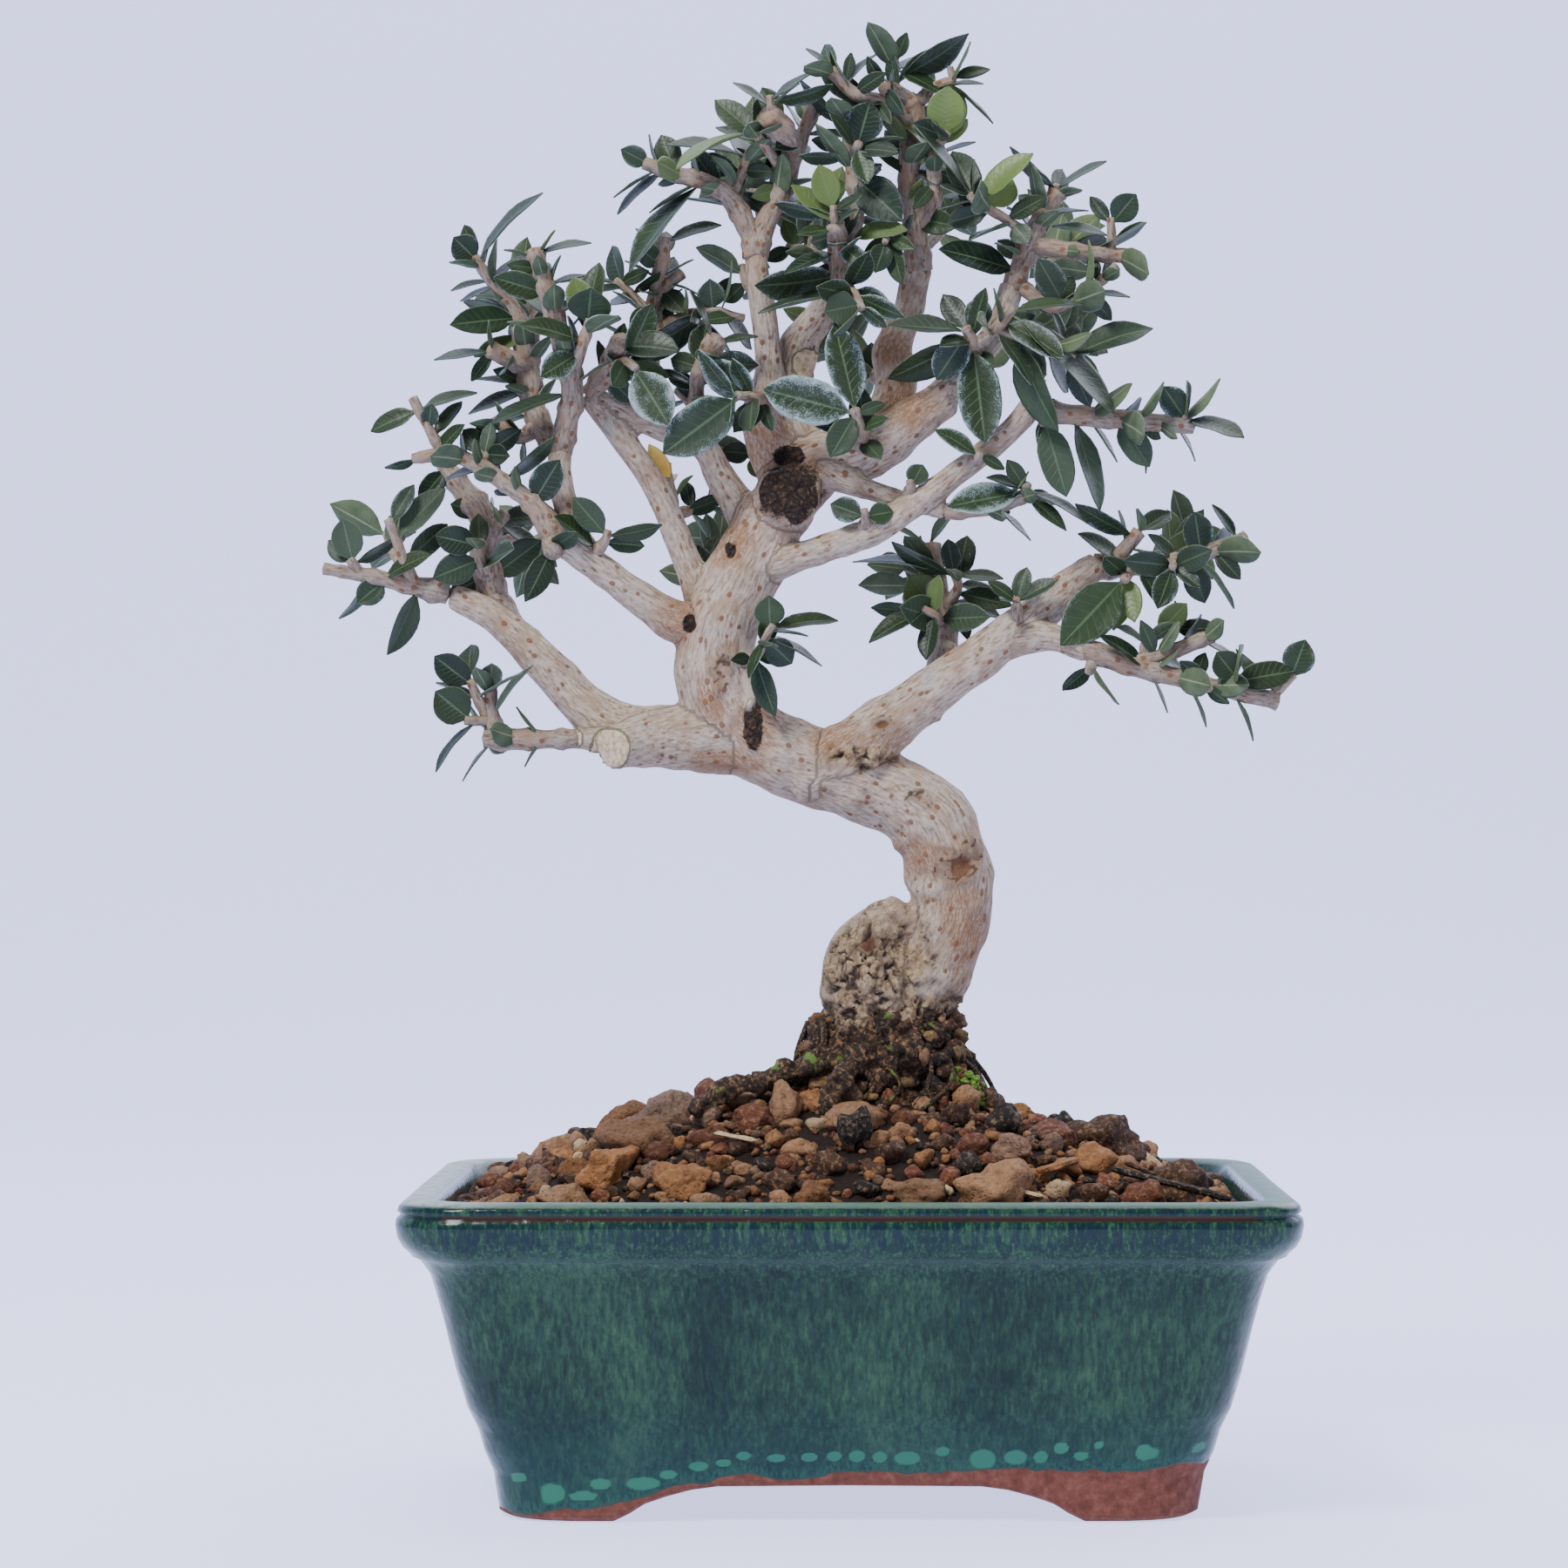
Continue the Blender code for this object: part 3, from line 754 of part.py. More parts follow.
            (71, 224.2, 65.6, 230.8, 5.8, -2), 
            (60, 224.4, 65, 219.8, 3.0, 5), (43, 225.6, 39.4, 219, 3.2, 5),
        ],
        "shoots": [],
    },
    "spray_right_low_tip": {
        "wood": [
            [(51.4, 193, 1, 2.8), (60, 193.4, 2, 2.3), (70, 194.4, 3, 1.9), (80, 198, 4, 1.6),
             (83, 199.6, 4, 1.3)],
            [(55, 193.6, 1, 1.7), (60.6, 200.4, -1, 1.5)],
            [(58, 192.4, 1, 1.4), (57.6, 190.4, -6, 1.0)],
            [(68, 193.6, 3, 1.2), (67.6, 193, -4, 0.9)],
        ],
        "leaves": [
            (61, 200, 47.2, 206.2, 3.6, -3), (59, 194.4, 47.6, 199.8, 3.4, -5),
            (68.6, 195, 62.4, 199.8, 2.8, -3),
            (73.4, 196, 72.2, 204.6, 6.2, -2), (81, 198.8, 75.8, 206, 2.4, 1),
            (76.4, 196, 81.8, 190.4, 3.8, -2), (71, 194, 74.4, 185.4, 5.6, 1),
            (68, 193, 73.4, 188.8, 3.0, -3), (67.6, 193, 64.4, 184.2, 5.2, -2),
            (60.4, 192.6, 65, 185, 3.4, -2),
            (58.4, 191, 55.2, 179.6, 5.0, 3), (57.6, 190.6, 44.2, 176.6, 10.2, -2),
        ],
        "shoots": [[(62, 193.6, 3, 1.4), (66, 195, 13, 1.0), (71, 198, 22, 0.8)]],
    },
    "spray_right_limb_leaf": {
        "wood": [[(35, 180, -2, 2.6), (35, 184.8, -7, 1.1), (35, 186.6, -8, 0.8)]],
        "leaves": [(35, 185.6, 43.6, 190.4, 3.2, -2), (34.8, 185.8, 29, 190, 2.8, 1)],
        "shoots": [],
    },
    "spray_right_under": {
        "wood": [
            [(49, 176, -8, 2.5), (60, 172, -9, 2.1), (70, 169.6, -9, 1.9), (80, 167, -8, 1.7),
             (89.6, 165, -7, 1.8)],
            [(58, 172.6, -9, 1.6), (66, 174.8, -8, 1.5), (76, 178.6, -7, 1.6)],
            [(88, 165.6, -7, 1.1), (93.2, 170.4, -8, 0.8)],
            [(51.6, 175, -8, 1.5), (50, 170.6, -9, 0.8)],
            [(62, 173, -9, 1.2), (62.4, 178, -6, 0.9), (68.4, 180.4, -3, 0.8)],
            [(78, 167.6, -8, 1.1), (82, 170, -12, 0.8)],
        ],
        "leaves": [
            (93, 170.2, 95.4, 177.8, 6.6, -1), (89.2, 167, 80.8, 175.8, 2.4, 2),
            (81.6, 169.6, 76.8, 175.2, 6.0, -1),
            (75, 168.6, 69, 173.4, 3.6, -3), (72, 169.6, 74.4, 175, 3.4, 3),
            (64, 174.4, 61, 181.8, 3.4, -3), (62.6, 172.2, 52.6, 178.8, 3.0, -4),
            (64, 178.8, 70.6, 185.4, 5.2, 1), (68, 180.2, 77.2, 180.2, 4.2, 2),
            (74, 168, 79.4, 164.4, 2.6, -3),
        ],
        "shoots": [],
    },
    "spray_right_stub": {
        "wood": [
            [(19.8, 176.2, 6, 3.0), (18.4, 186, 8, 2.8), (16.6, 197.4, 11, 2.3)],
            [(19, 183, 8, 1.6), (22.6, 188.6, 4, 1.1), (21.6, 192.4, 3, 0.9)],
            [(18.8, 181.6, 7, 1.5), (18.4, 182.6, 0, 1.0), (15.4, 184.4, -3, 0.8)],
        ],
        "leaves": [
            (15.6, 184.2, 4.6, 184.8, 3.2, 3), (16, 184, 4, 177.4, 3.6, -3),
            (18.2, 182.8, 12.6, 191.2, 8.4, 0),
            (21.4, 191.6, 8.8, 198.2, 3.0, -3), (20.6, 190.6, 0.8, 195, 2.4, 3),
            (21.6, 192.4, 20.6, 198.8, 4.0, 1),
            (22, 191.6, 32.2, 190.4, 2.6, -3), (22, 187.6, 34.2, 184.6, 4.6, -2),
            (22.4, 189.2, 31, 187.4, 2.8, 5),
            (21, 186.4, 25, 177.8, 3.4, -3),
        ],
        "shoots": [[(18.6, 185, 8, 1.5), (14, 189, 19, 1.1), (12, 193, 28, 0.8)]],
    },
}

# Leaves: share of the length at the two wide places, and how wide the blade is there
LEAF_STATIONS = ((0.44, 1.0), (0.78, 0.74))
LEAF_THICK = 1.4
LEAF_ARCH = 0.05
LEAF_MIN_SHAPE = 0.40
LEAF_FREE = 0.45
LEAF_SUNK = 0.7
LEAF_INSET = 1.3
# Ways to bend a leaf clear of its neighbours, as a change of its tip's depth
LEAF_BENDS = (0.0, -2.0, 2.0, -4.0, 4.0, -6.5, 6.5, -9.0, 9.0, -12.0, 12.0)
# Twigs leafed by rule: pairs at these shares of the twig, each a quarter turn on from the last
SHOOT_PAIRS = (0.62, 1.0)
SHOOT_ANGLES = (52.0, 66.0, 40.0, 78.0)
SHOOT_LEAF_LENGTH = (8.5, 14.5)
SHOOT_SEED = 5


def smooth_path(path, between):
    """Centres and radii along a picked path, with points added on a Catmull-Rom curve."""
    knots = [(*seen(x, z, y), r) for x, z, y, r in path]
    knots = [np.array(k) for k in knots]
    ends = [2 * knots[0] - knots[1]] + knots + [2 * knots[-1] - knots[-2]]
    result = []
    for i in range(1, len(ends) - 2):
        a, b, c, d = ends[i - 1:i + 3]
        for step in range(between):
            t = step / between
            result.append(0.5 * (2 * b + (c - a) * t + (2 * a - 5 * b + 4 * c - d) * t * t
                                 + (3 * b - a - 3 * c + d) * t ** 3))
    result.append(knots[-1])
    return [Vector(p[:3]) for p in result], [float(p[3]) for p in result]


def tube_mesh(path, sides, between=1, more=0.0):
    """Closed tube along a path. more thickens it and carries its ends on by as much."""
    centres, radii = smooth_path(path, between)
    radii = [r + more for r in radii]
    if more:
        centres[0] = centres[0] - (centres[1] - centres[0]).normalized() * more
        centres[-1] = centres[-1] + (centres[-1] - centres[-2]).normalized() * more
    last = len(centres) - 1
    across = None
    rings = []
    for i, centre in enumerate(centres):
        along = (centres[min(i + 1, last)] - centres[max(i - 1, 0)]).normalized()
        if across is None:
            across = along.orthogonal().normalized()
        across = (across - along * across.dot(along)).normalized()
        other = along.cross(across)
        rings.append([centre + radii[i] * (math.cos(a) * across + math.sin(a) * other)
                      for a in (2 * math.pi * k / sides for k in range(sides))])
    return loft(rings)


def nearest_on_wood(wood, x, z):
    """The place on a spray's wood that is nearest to (x, z) as seen, with its depth."""
    best = None
    for path in wood:
        for (x0, z0, y0, r0), (x1, z1, y1, r1) in zip(path[:-1], path[1:]):
            length = (x1 - x0) ** 2 + (z1 - z0) ** 2
            t = ((x - x0) * (x1 - x0) + (z - z0) * (z1 - z0)) / length if length else 0.0
            inset = min(0.4, LEAF_INSET / max(math.dist((x0, z0, y0), (x1, z1, y1)), 0.1))
            t = min(1.0 - inset, max(0.0, t))
            px = x0 + t * (x1 - x0)
            pz = z0 + t * (z1 - z0)
            away = math.hypot(x - px, z - pz) - 0.5 * (r0 + t * (r1 - r0))
            if best is None or away < best[0]:
                best = (away, px, pz, y0 + t * (y1 - y0))
    return best


def leaf_frame(base, tip, width, draw):
    """A leaf's true width and its normal, rolled so that it looks as wide as it was picked."""
    along = (tip - base).normalized()
    length = (tip - base).length
    true_width = max(width, LEAF_MIN_SHAPE * length)
    facing = Vector((0.0, -1.0, 0.0))
    flat = (facing - along * facing.dot(along)).normalized()
    side = along.cross(flat)
    roll = math.acos(min(1.0, width / true_width))
    up = 1.0 if side.z > 0 else -1.0
    if draw > 0.72:
        up = -up
    normal = flat * math.cos(roll) + side * (math.sin(roll) * up)
    return true_width, normal


def leaf_mesh(base, tip, width, normal, more=0.0, start=0.0):
    """An arched blade from its base to its tip: two edges and a keel under the midrib. more thickens it
    all round, and start leaves out that share of it next to the base."""
    along = (tip - base).normalized()
    length = (tip - base).length
    normal = (normal - along * normal.dot(along)).normalized()
    side = along.cross(normal)
    verts = [base + along * (length * start if start else -LEAF_SUNK)]
    for place, share in LEAF_STATIONS:
        half = width * share / 2 + more
        middle = base + along * (length * place) + normal * (LEAF_ARCH * length * 4 * place * (1 - place))
        edge = middle + normal * (LEAF_THICK / 2 + more)
        verts += [edge - side * half, edge + side * half, middle - normal * (LEAF_THICK / 2 + more)]
    verts.append(tip + along * more)
    faces = []
    for k in range(3):
        m = (k + 1) % 3
        faces += [(0, 1 + k, 1 + m), (1 + k, 4 + k, 4 + m), (1 + k, 4 + m, 1 + m), (4 + k, 7, 4 + m)]
    return verts, faces


class Clearance:
    """Remembers each piece of wood and each leaf, and tells whether a new leaf would cross one."""

    def __init__(self):
        self.items = []

    def add(self, node, verts, faces, bare=None):
        """Remember a closed mesh. bare is a leaf without the part next to its twig."""
        tree = BVHTree.FromPolygons([tuple(v) for v in verts], faces)
        bare_tree = BVHTree.FromPolygons([tuple(v) for v in bare[0]], bare[1]) if bare else None
        centre, reach = self.ball(verts)
        self.items.append((node, centre, reach, tree, bare_tree))

    @staticmethod
    def ball(verts):
        """Middle and radius of a ball round the points."""
        centre = sum((Vector(v) for v in verts), Vector()) / len(verts)
        return centre, max((Vector(v) - centre).length for v in verts)

    def crosses(self, node, verts, faces, bare):
        """True for a crossing with another node, or of two blades in one node."""
        centre, reach = self.ball(verts)
        near = [item for item in self.items if (item[1] - centre).length < item[2] + reach]
        tree = BVHTree.FromPolygons([tuple(v) for v in verts], faces)
        bare_tree = BVHTree.FromPolygons([tuple(v) for v in bare[0]], bare[1])
        for other, _, _, other_tree, other_bare in near:
            if other != node:
                if tree.overlap(other_tree):
                    return True
            elif other_bare is not None and bare_tree.overlap(other_bare):
                return True
        return False


def try_leaf(space, node, base, tip, width, normal):
    """The leaf's mesh if it stands clear of everything else, or None."""
    wide = leaf_mesh(base, tip, width, normal, more=LEAF_FREE)
    bare = leaf_mesh(base, tip, width, normal, start=0.3)
    if space.crosses(node, *wide, bare):
        return None
    plain = leaf_mesh(base, tip, width, normal)
    space.add(node, *plain, bare=bare)
    return plain


def picked_leaf(space, node, wood, leaf, draws):
    """A leaf from the table, with its tip moved in depth until it stands clear."""
    x0, z0, x1, z1, width, back = leaf
    _, px, pz, depth = nearest_on_wood(wood, x0, z0)
    root = seen(px, pz, depth)
    draw = draws.random()
    for bend in LEAF_BENDS:
        tip = seen(x1, z1, depth + back + bend)
        true_width, normal = leaf_frame(root, tip, width, draw)
        made = try_leaf(space, node, root, tip, true_width, normal)
        if made:
            return made
    return None


def shoot_leaves(space, node, path, draws):
    """Leaves in pairs along a twig, each pair a quarter turn on, their upper sides to the twig's tip."""
    made = []
    centres, _ = smooth_path(path, 1)
    lengths = [(b - a).length for a, b in zip(centres[:-1], centres[1:])]
    total = sum(lengths)
    turn = draws.uniform(0.0, math.pi)
    for share in SHOOT_PAIRS:
        left = share * total
        for a, b, length in zip(centres[:-1], centres[1:], lengths):
            if left <= length + 0.01:
                break
            left -= length
        along = (b - a).normalized()
        root = a + along * min(left, length - LEAF_INSET)
        across = along.orthogonal().normalized()
        for half in (0.0, math.pi):
            out = Matrix.Rotation(turn + half, 3, along) @ across
            size = draws.uniform(*SHOOT_LEAF_LENGTH)
            width = size * draws.uniform(0.38, 0.5)
            shift = draws.uniform(-8.0, 8.0)
            for angle in SHOOT_ANGLES:
                open_angle = math.radians(angle + shift)
                direction = along * math.cos(open_angle) + out * math.sin(open_angle)
                normal = along - direction * along.dot(direction)
                leaf = try_leaf(space, node, root, root + direction * size, width, normal)
                if leaf:
                    made.append(leaf)
                    break
        turn += math.pi / 2
    return made


def build_trunk():
    """Trunk, limbs and the roots that show: one grown piece."""
    tubes = [tube_mesh(path, TRUNK_SIDES) for path in TRUNK_PATHS]
    tubes += [tube_mesh(path, LIMB_SIDES) for path in LIMB_PATHS]
    parts = [make_object(f"wood_{i}", *mesh) for i, mesh in enumerate(tubes)]
    trunk = parts[0]
    trunk.name = "trunk"
    boolean(trunk, parts[1:], "UNION")
    tidy_solid(trunk, 0.00005, smooth=True)
    return trunk


def thick_trunk(low, high):
    """Closed tubes of the trunk and limbs, thicker by the clearance, that reach into a box."""
    tools = []
    for paths, sides in ((TRUNK_PATHS, TRUNK_SIDES), (LIMB_PATHS, LIMB_SIDES)):
        for path in paths:
            verts, faces = tube_mesh(path, sides, more=CLEAR)
            small = [min(v[i] for v in verts) for i in range(3)]
            large = [max(v[i] for v in verts) for i in range(3)]
            if all(small[i] <= high[i] and large[i] >= low[i] for i in range(3)):
                tools.append(make_object("clear_trunk", verts, faces))
    return tools


def build_sprays():
    """Every leafy spray: its twigs and leaves joined in one solid, cut clear of the trunk."""
    space = Clearance()
    for paths, sides in ((TRUNK_PATHS, TRUNK_SIDES), (LIMB_PATHS, LIMB_SIDES)):
        for path in paths:
            space.add("trunk", *tube_mesh(path, sides))
    wood_parts = {}
    for node, spray in SPRAYS.items():
        tubes = [tube_mesh(path, LIMB_SIDES if path[0][3] > 1.9 else TWIG_SIDES)
                 for path in spray["wood"] + spray["shoots"]]
        wood_parts[node] = tubes
        for verts, faces in tubes:
            space.add(node, verts, faces)
    leaf_parts = {node: [] for node in SPRAYS}
    draws = random.Random(SHOOT_SEED)
    lost = 0
    for node, spray in SPRAYS.items():
        for leaf in spray["leaves"]:
            made = picked_leaf(space, node, spray["wood"], leaf, draws)
            if made:
                leaf_parts[node].append(made)
            else:
                lost += 1
                print("no room for leaf", node, leaf)
    for node, spray in SPRAYS.items():
        for path in spray["shoots"]:
            leaf_parts[node] += shoot_leaves(space, node, path, draws)
    print("leaves", sum(len(made) for made in leaf_parts.values()), "left out", lost)
    sprays = []
    for node in SPRAYS:
        meshes = wood_parts[node] + leaf_parts[node]
        parts = [make_object(f"{node}_{i}", *mesh) for i, mesh in enumerate(meshes)]
        spray = parts[0]
        spray.name = node
        boolean(spray, parts[1:], "UNION")
        points = [v.co for v in spray.data.vertices]
        low = [min(p[i] for p in points) for i in range(3)]
        high = [max(p[i] for p in points) for i in range(3)]
        boolean(spray, thick_trunk(low, high), "DIFFERENCE")
        tidy_solid(spray, 0.00005)
        sprays.append(spray)
    return sprays


def stone_mesh(x, y, z, size_x, size_z, draws):
    """A worn stone: a twenty-sided ball, flattened, turned and made uneven."""
    ball = bmesh.new()
    bmesh.ops.create_icosphere(ball, subdivisions=1, radius=1.0)
    turn = Matrix.Rotation(draws.uniform(0, math.pi), 3, "Z")
    lean = Matrix.Rotation(draws.uniform(-0.25, 0.25), 3, "X")
    depth = size_x * draws.uniform(0.65, 0.85)
    verts = []
    for v in ball.verts:
        p = v.co * draws.uniform(0.86, 1.1)
        p = turn @ lean @ Vector((p.x * size_x, p.y * depth, p.z * size_z))
        verts.append(p + Vector((x, y, z)))
    faces = [tuple(v.index for v in face.verts) for face in ball.faces]
    ball.free()
    return verts, faces


def place_stones():
    """Centres and half sizes of the stones: the large ones picked, the rest by a rule."""
    draws = random.Random(STONE_SEED)
    stones = []
    for x, z, y, size, high in STONE_BIG:
        at = seen(x, z, y)
        stones.append((at.x, at.y, soil_height(at.x, at.y) + 0.25 * high, size, high))
    tries = 0
    while len(stones) < STONE_COUNT and tries < STONE_TRIES:
        tries += 1
        x = draws.uniform(-STONE_SPREAD[0], STONE_SPREAD[0])
        y = draws.uniform(-STONE_SPREAD[1], STONE_SPREAD[1])
        size = draws.uniform(*STONE_SIZES)
        if math.hypot(x - TRUNK_FOOT_X, y) < TRUNK_FOOT_RADIUS + size:
            continue
        if abs(x) + size > STONE_LIMIT[0] or abs(y) + size > STONE_LIMIT[1]:
            continue
        if any(math.hypot(x - sx, y - sy) < 0.78 * (size + other) for sx, sy, _, other, _ in stones):
            continue
        high = size * draws.uniform(0.55, 0.75)
        stones.append((x, y, soil_height(x, y) + 0.15 * high, size, high))
    return stones


def build_soil():
    """The soil that fills the pot, with its stones, open where the trunk and roots stand in it."""
    low = POT_FLOOR + CLEAR
    rings = [soil_ring(SOIL_FLOOR_HALF, low, SOIL_FLOOR_CORNER)]
    rings += [soil_ring(half, z) for half, z in SOIL_SIDES]
    for share in SOIL_RINGS:
        ring = []
        for x, y, _ in soil_ring(SOIL_EDGE_HALF, 0.0):
            px = MOUND_CENTRE_X * (1 - share) + x * share
            py = y * share
            ring.append((px, py, soil_height(px, py)))
        rings.append(ring)
    verts, faces = loft(rings)
    soil = make_object("soil_and_gravel", verts, faces)
    draws = random.Random(STONE_SEED + 1)
    stones = [make_object("stone", *stone_mesh(*stone, draws)) for stone in place_stones()]
    boolean(soil, stones, "UNION")
    reach = SOIL_EDGE_HALF
    cutters = thick_trunk((-reach, -reach, 0), (reach, reach, SOIL_TOP + ROOT_HIGH))
    pocket = SCREEN_SIZE + 2 * CLEAR
    for side in (-1, 1):
        high = 2 * (SCREEN_THICK + CLEAR)
        cutters.append(box("pocket", (side * DRAIN_HOLE_AT, 0, low), (pocket, pocket, high)))
    boolean(soil, cutters, "DIFFERENCE")
    tidy_solid(soil, 0.00005)
    return soil


def main():
    """Build every piece in millimetres, then move the whole to metres over the origin."""
    clear_scene()
    glaze = make_material("glaze", (0.05, 0.16, 0.15), 0.2)
    mesh_plastic = make_material("mesh_plastic", (0.03, 0.03, 0.03), 0.5)
    gravel = make_material("gravel", (0.25, 0.16, 0.1), 0.9)
    bark = make_material("bark", (0.45, 0.38, 0.31), 0.85)
    leaf = make_material("leaf", (0.1, 0.2, 0.13), 0.5)
    finished = [(build_pot(), glaze)]
    for side, name in ((-1, "drain_screen_left"), (1, "drain_screen_right")):
        finished.append((build_screen(name, side * DRAIN_HOLE_AT), mesh_plastic))
    finished.append((build_soil(), gravel))
    finished.append((build_trunk(), bark))
    finished += [(spray, leaf) for spray in build_sprays()]
    points = np.array([v.co[:] for item, _ in finished for v in item.data.vertices])
    low = points.min(axis=0)
    high = points.max(axis=0)
    middle = (low + high) / 2
    move = Matrix.Scale(MM, 4) @ Matrix.Translation((-middle[0], -middle[1], -low[2]))
    total = 0
    for item, material in finished:
        item.data.transform(move)
        item.data.materials.clear()
        item.data.materials.append(material)
        item.data.name = item.name
        total += len(item.data.polygons)
        print(item.name, len(item.data.polygons))
    print("size in mm", high - low, "middle", middle, "triangles", total)


main()
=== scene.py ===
# %% [markdown]
# # Olive bonsai in its glazed pot
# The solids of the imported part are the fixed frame. This notebook puts finer skins over them: bark on
# the wood, single curved leaves, loose gravel, moss and rootlets, and a pot with a running glaze.

# %% Load the frame
import json
import math
import random
from functools import partialmethod

import bmesh
import bpy
import numpy as np
from mathutils import Matrix, Vector
from mathutils.bvhtree import BVHTree

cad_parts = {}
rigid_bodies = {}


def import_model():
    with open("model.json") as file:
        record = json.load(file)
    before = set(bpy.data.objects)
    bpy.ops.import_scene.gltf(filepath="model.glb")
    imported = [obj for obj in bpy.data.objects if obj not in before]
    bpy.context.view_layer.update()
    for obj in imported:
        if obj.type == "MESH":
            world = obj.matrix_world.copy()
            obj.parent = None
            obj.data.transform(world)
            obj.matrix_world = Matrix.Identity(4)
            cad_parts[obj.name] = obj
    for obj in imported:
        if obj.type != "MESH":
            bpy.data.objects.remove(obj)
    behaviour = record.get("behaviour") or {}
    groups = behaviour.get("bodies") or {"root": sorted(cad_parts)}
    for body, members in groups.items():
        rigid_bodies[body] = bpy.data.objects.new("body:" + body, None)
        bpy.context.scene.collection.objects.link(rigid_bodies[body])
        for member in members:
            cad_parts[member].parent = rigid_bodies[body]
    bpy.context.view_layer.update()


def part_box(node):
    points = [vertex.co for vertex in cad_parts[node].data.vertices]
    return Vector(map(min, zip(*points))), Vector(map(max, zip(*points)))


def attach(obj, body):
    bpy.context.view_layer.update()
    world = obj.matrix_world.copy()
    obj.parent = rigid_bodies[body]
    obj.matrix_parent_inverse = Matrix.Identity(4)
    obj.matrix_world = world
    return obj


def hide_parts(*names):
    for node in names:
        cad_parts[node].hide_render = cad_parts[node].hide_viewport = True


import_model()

# %% [markdown]
# ## Places
# Limbs and leaves were picked in millimetres on the upright plane through the trunk, as the eye of the
# view sees them. `seen` pushes a picked point along its sight line to its depth. `placed` turns
# millimetres round the pot's middle into the frame's metres.

# %% Places and units
MM = 0.001
VIEW_DISTANCE = 997.5
EYE_HEIGHT = 138.5
POT_LOW, POT_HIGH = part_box("pot")
POT_MIDDLE = np.array([(POT_LOW.x + POT_HIGH.x) / 2, (POT_LOW.y + POT_HIGH.y) / 2, POT_LOW.z])


def seen(x, z, y):
    """Place a point picked at (x, z) on the trunk's upright plane y mm behind that plane."""
    k = (VIEW_DISTANCE + y) / VIEW_DISTANCE
    return Vector((x * k, y, EYE_HEIGHT + (z - EYE_HEIGHT) * k))


def placed(points):
    """Millimetres round the pot's middle to metres in the frame."""
    return np.asarray(points, float) * MM + POT_MIDDLE


print("pot's middle", POT_MIDDLE)

# %% [markdown]
# ## Camera, floor and light
# The camera looks level at the front of the pot from a metre off, slightly shifted, as in the photo. A
# pale floor turns up far behind the tree into a backdrop, and soft lamps stand left, right and above.

# %% Camera, floor and light
def add_object(name, data):
    """A new object in the scene that shows the data."""
    item = bpy.data.objects.new(name, data)
    bpy.context.scene.collection.objects.link(item)
    return item


LENS = 109.5
CAMERA_SHIFT = (-0.0417, 0.0278)
BACKDROP_COLOUR = (0.58, 0.64, 1.0)
FLOOR_COLOUR = (0.34, 0.35, 0.46)
BACKDROP_GLOW = 1.85


def make_camera():
    """A level camera on the view's sight line."""
    data = bpy.data.cameras.new("camera")
    data.lens = LENS
    data.shift_x, data.shift_y = CAMERA_SHIFT
    camera = add_object("camera", data)
    camera.location = placed([0.0, -VIEW_DISTANCE, EYE_HEIGHT])
    camera.rotation_euler = (math.pi / 2, 0.0, 0.0)
    bpy.context.scene.camera = camera


def make_floor():
    """A floor that runs back and curves up: a profile carried sideways."""
    turn = np.linspace(0.0, math.pi / 2, 24)
    back, bend = 1.3, 0.9
    ys = np.concatenate([[-4.0], back + bend * np.sin(turn), [back + bend]])
    zs = np.concatenate([[0.0], bend - bend * np.cos(turn), [6.0]])
    verts = [(x, y, z) for x in (-6.0, 6.0) for y, z in zip(ys, zs)]
    count = len(ys)
    faces = [(i, i + 1, count + i + 1, count + i) for i in range(count - 1)]
    mesh = bpy.data.meshes.new("floor")
    mesh.from_pydata(verts, [], faces)
    for face in mesh.polygons:
        face.use_smooth = True
    floor = add_object("floor", mesh)
    material = bpy.data.materials.new("backdrop")
    material.use_nodes = True
    shader = material.node_tree.nodes["Principled BSDF"]
    shader.inputs["Base Color"].default_value = (*FLOOR_COLOUR, 1.0)
    shader.inputs["Roughness"].default_value = 0.9
    shader.inputs["Emission Color"].default_value = (*BACKDROP_COLOUR, 1.0)
    shader.inputs["Emission Strength"].default_value = BACKDROP_GLOW
    mesh.materials.append(material)
    return floor


def make_lamp(name, place, size, power, colour=(1.0, 1.0, 1.0)):
    """A square area lamp that faces the tree's middle."""
    data = bpy.data.lights.new(name, "AREA")
    data.size = size
    data.energy = power
    data.color = colour
    lamp = add_object(name, data)
    lamp.location = place
    aim = Vector((0.0, 0.0, 0.14)) - Vector(place)
    lamp.rotation_euler = aim.to_track_quat("-Z", "Y").to_euler()


make_camera()
floor = make_floor()
make_lamp("key lamp", (-0.55, -0.85, 1.25), 0.5, 32.0)
make_lamp("fill lamp", (1.1, -0.8, 0.6), 1.0, 4.0)
make_lamp("top lamp", (0.0, 0.25, 1.5), 1.0, 13.0)
make_lamp("back lamp", (0.7, 0.95, 0.9), 0.9, 7.0)
world = bpy.data.worlds.new("studio")
bpy.context.scene.world = world
world.use_nodes = True
world.node_tree.nodes["Background"].inputs["Color"].default_value = (0.86, 0.88, 1.0, 1.0)
world.node_tree.nodes["Background"].inputs["Strength"].default_value = 0.22
print("camera, floor and four lamps")

# %% [markdown]
# ## Small tools
# Meshes are filled from whole arrays. `noise3` is value noise: random numbers on a cubic lattice, joined
# by smooth steps. `layers` adds finer and fainter copies of it.

# %% Small tools


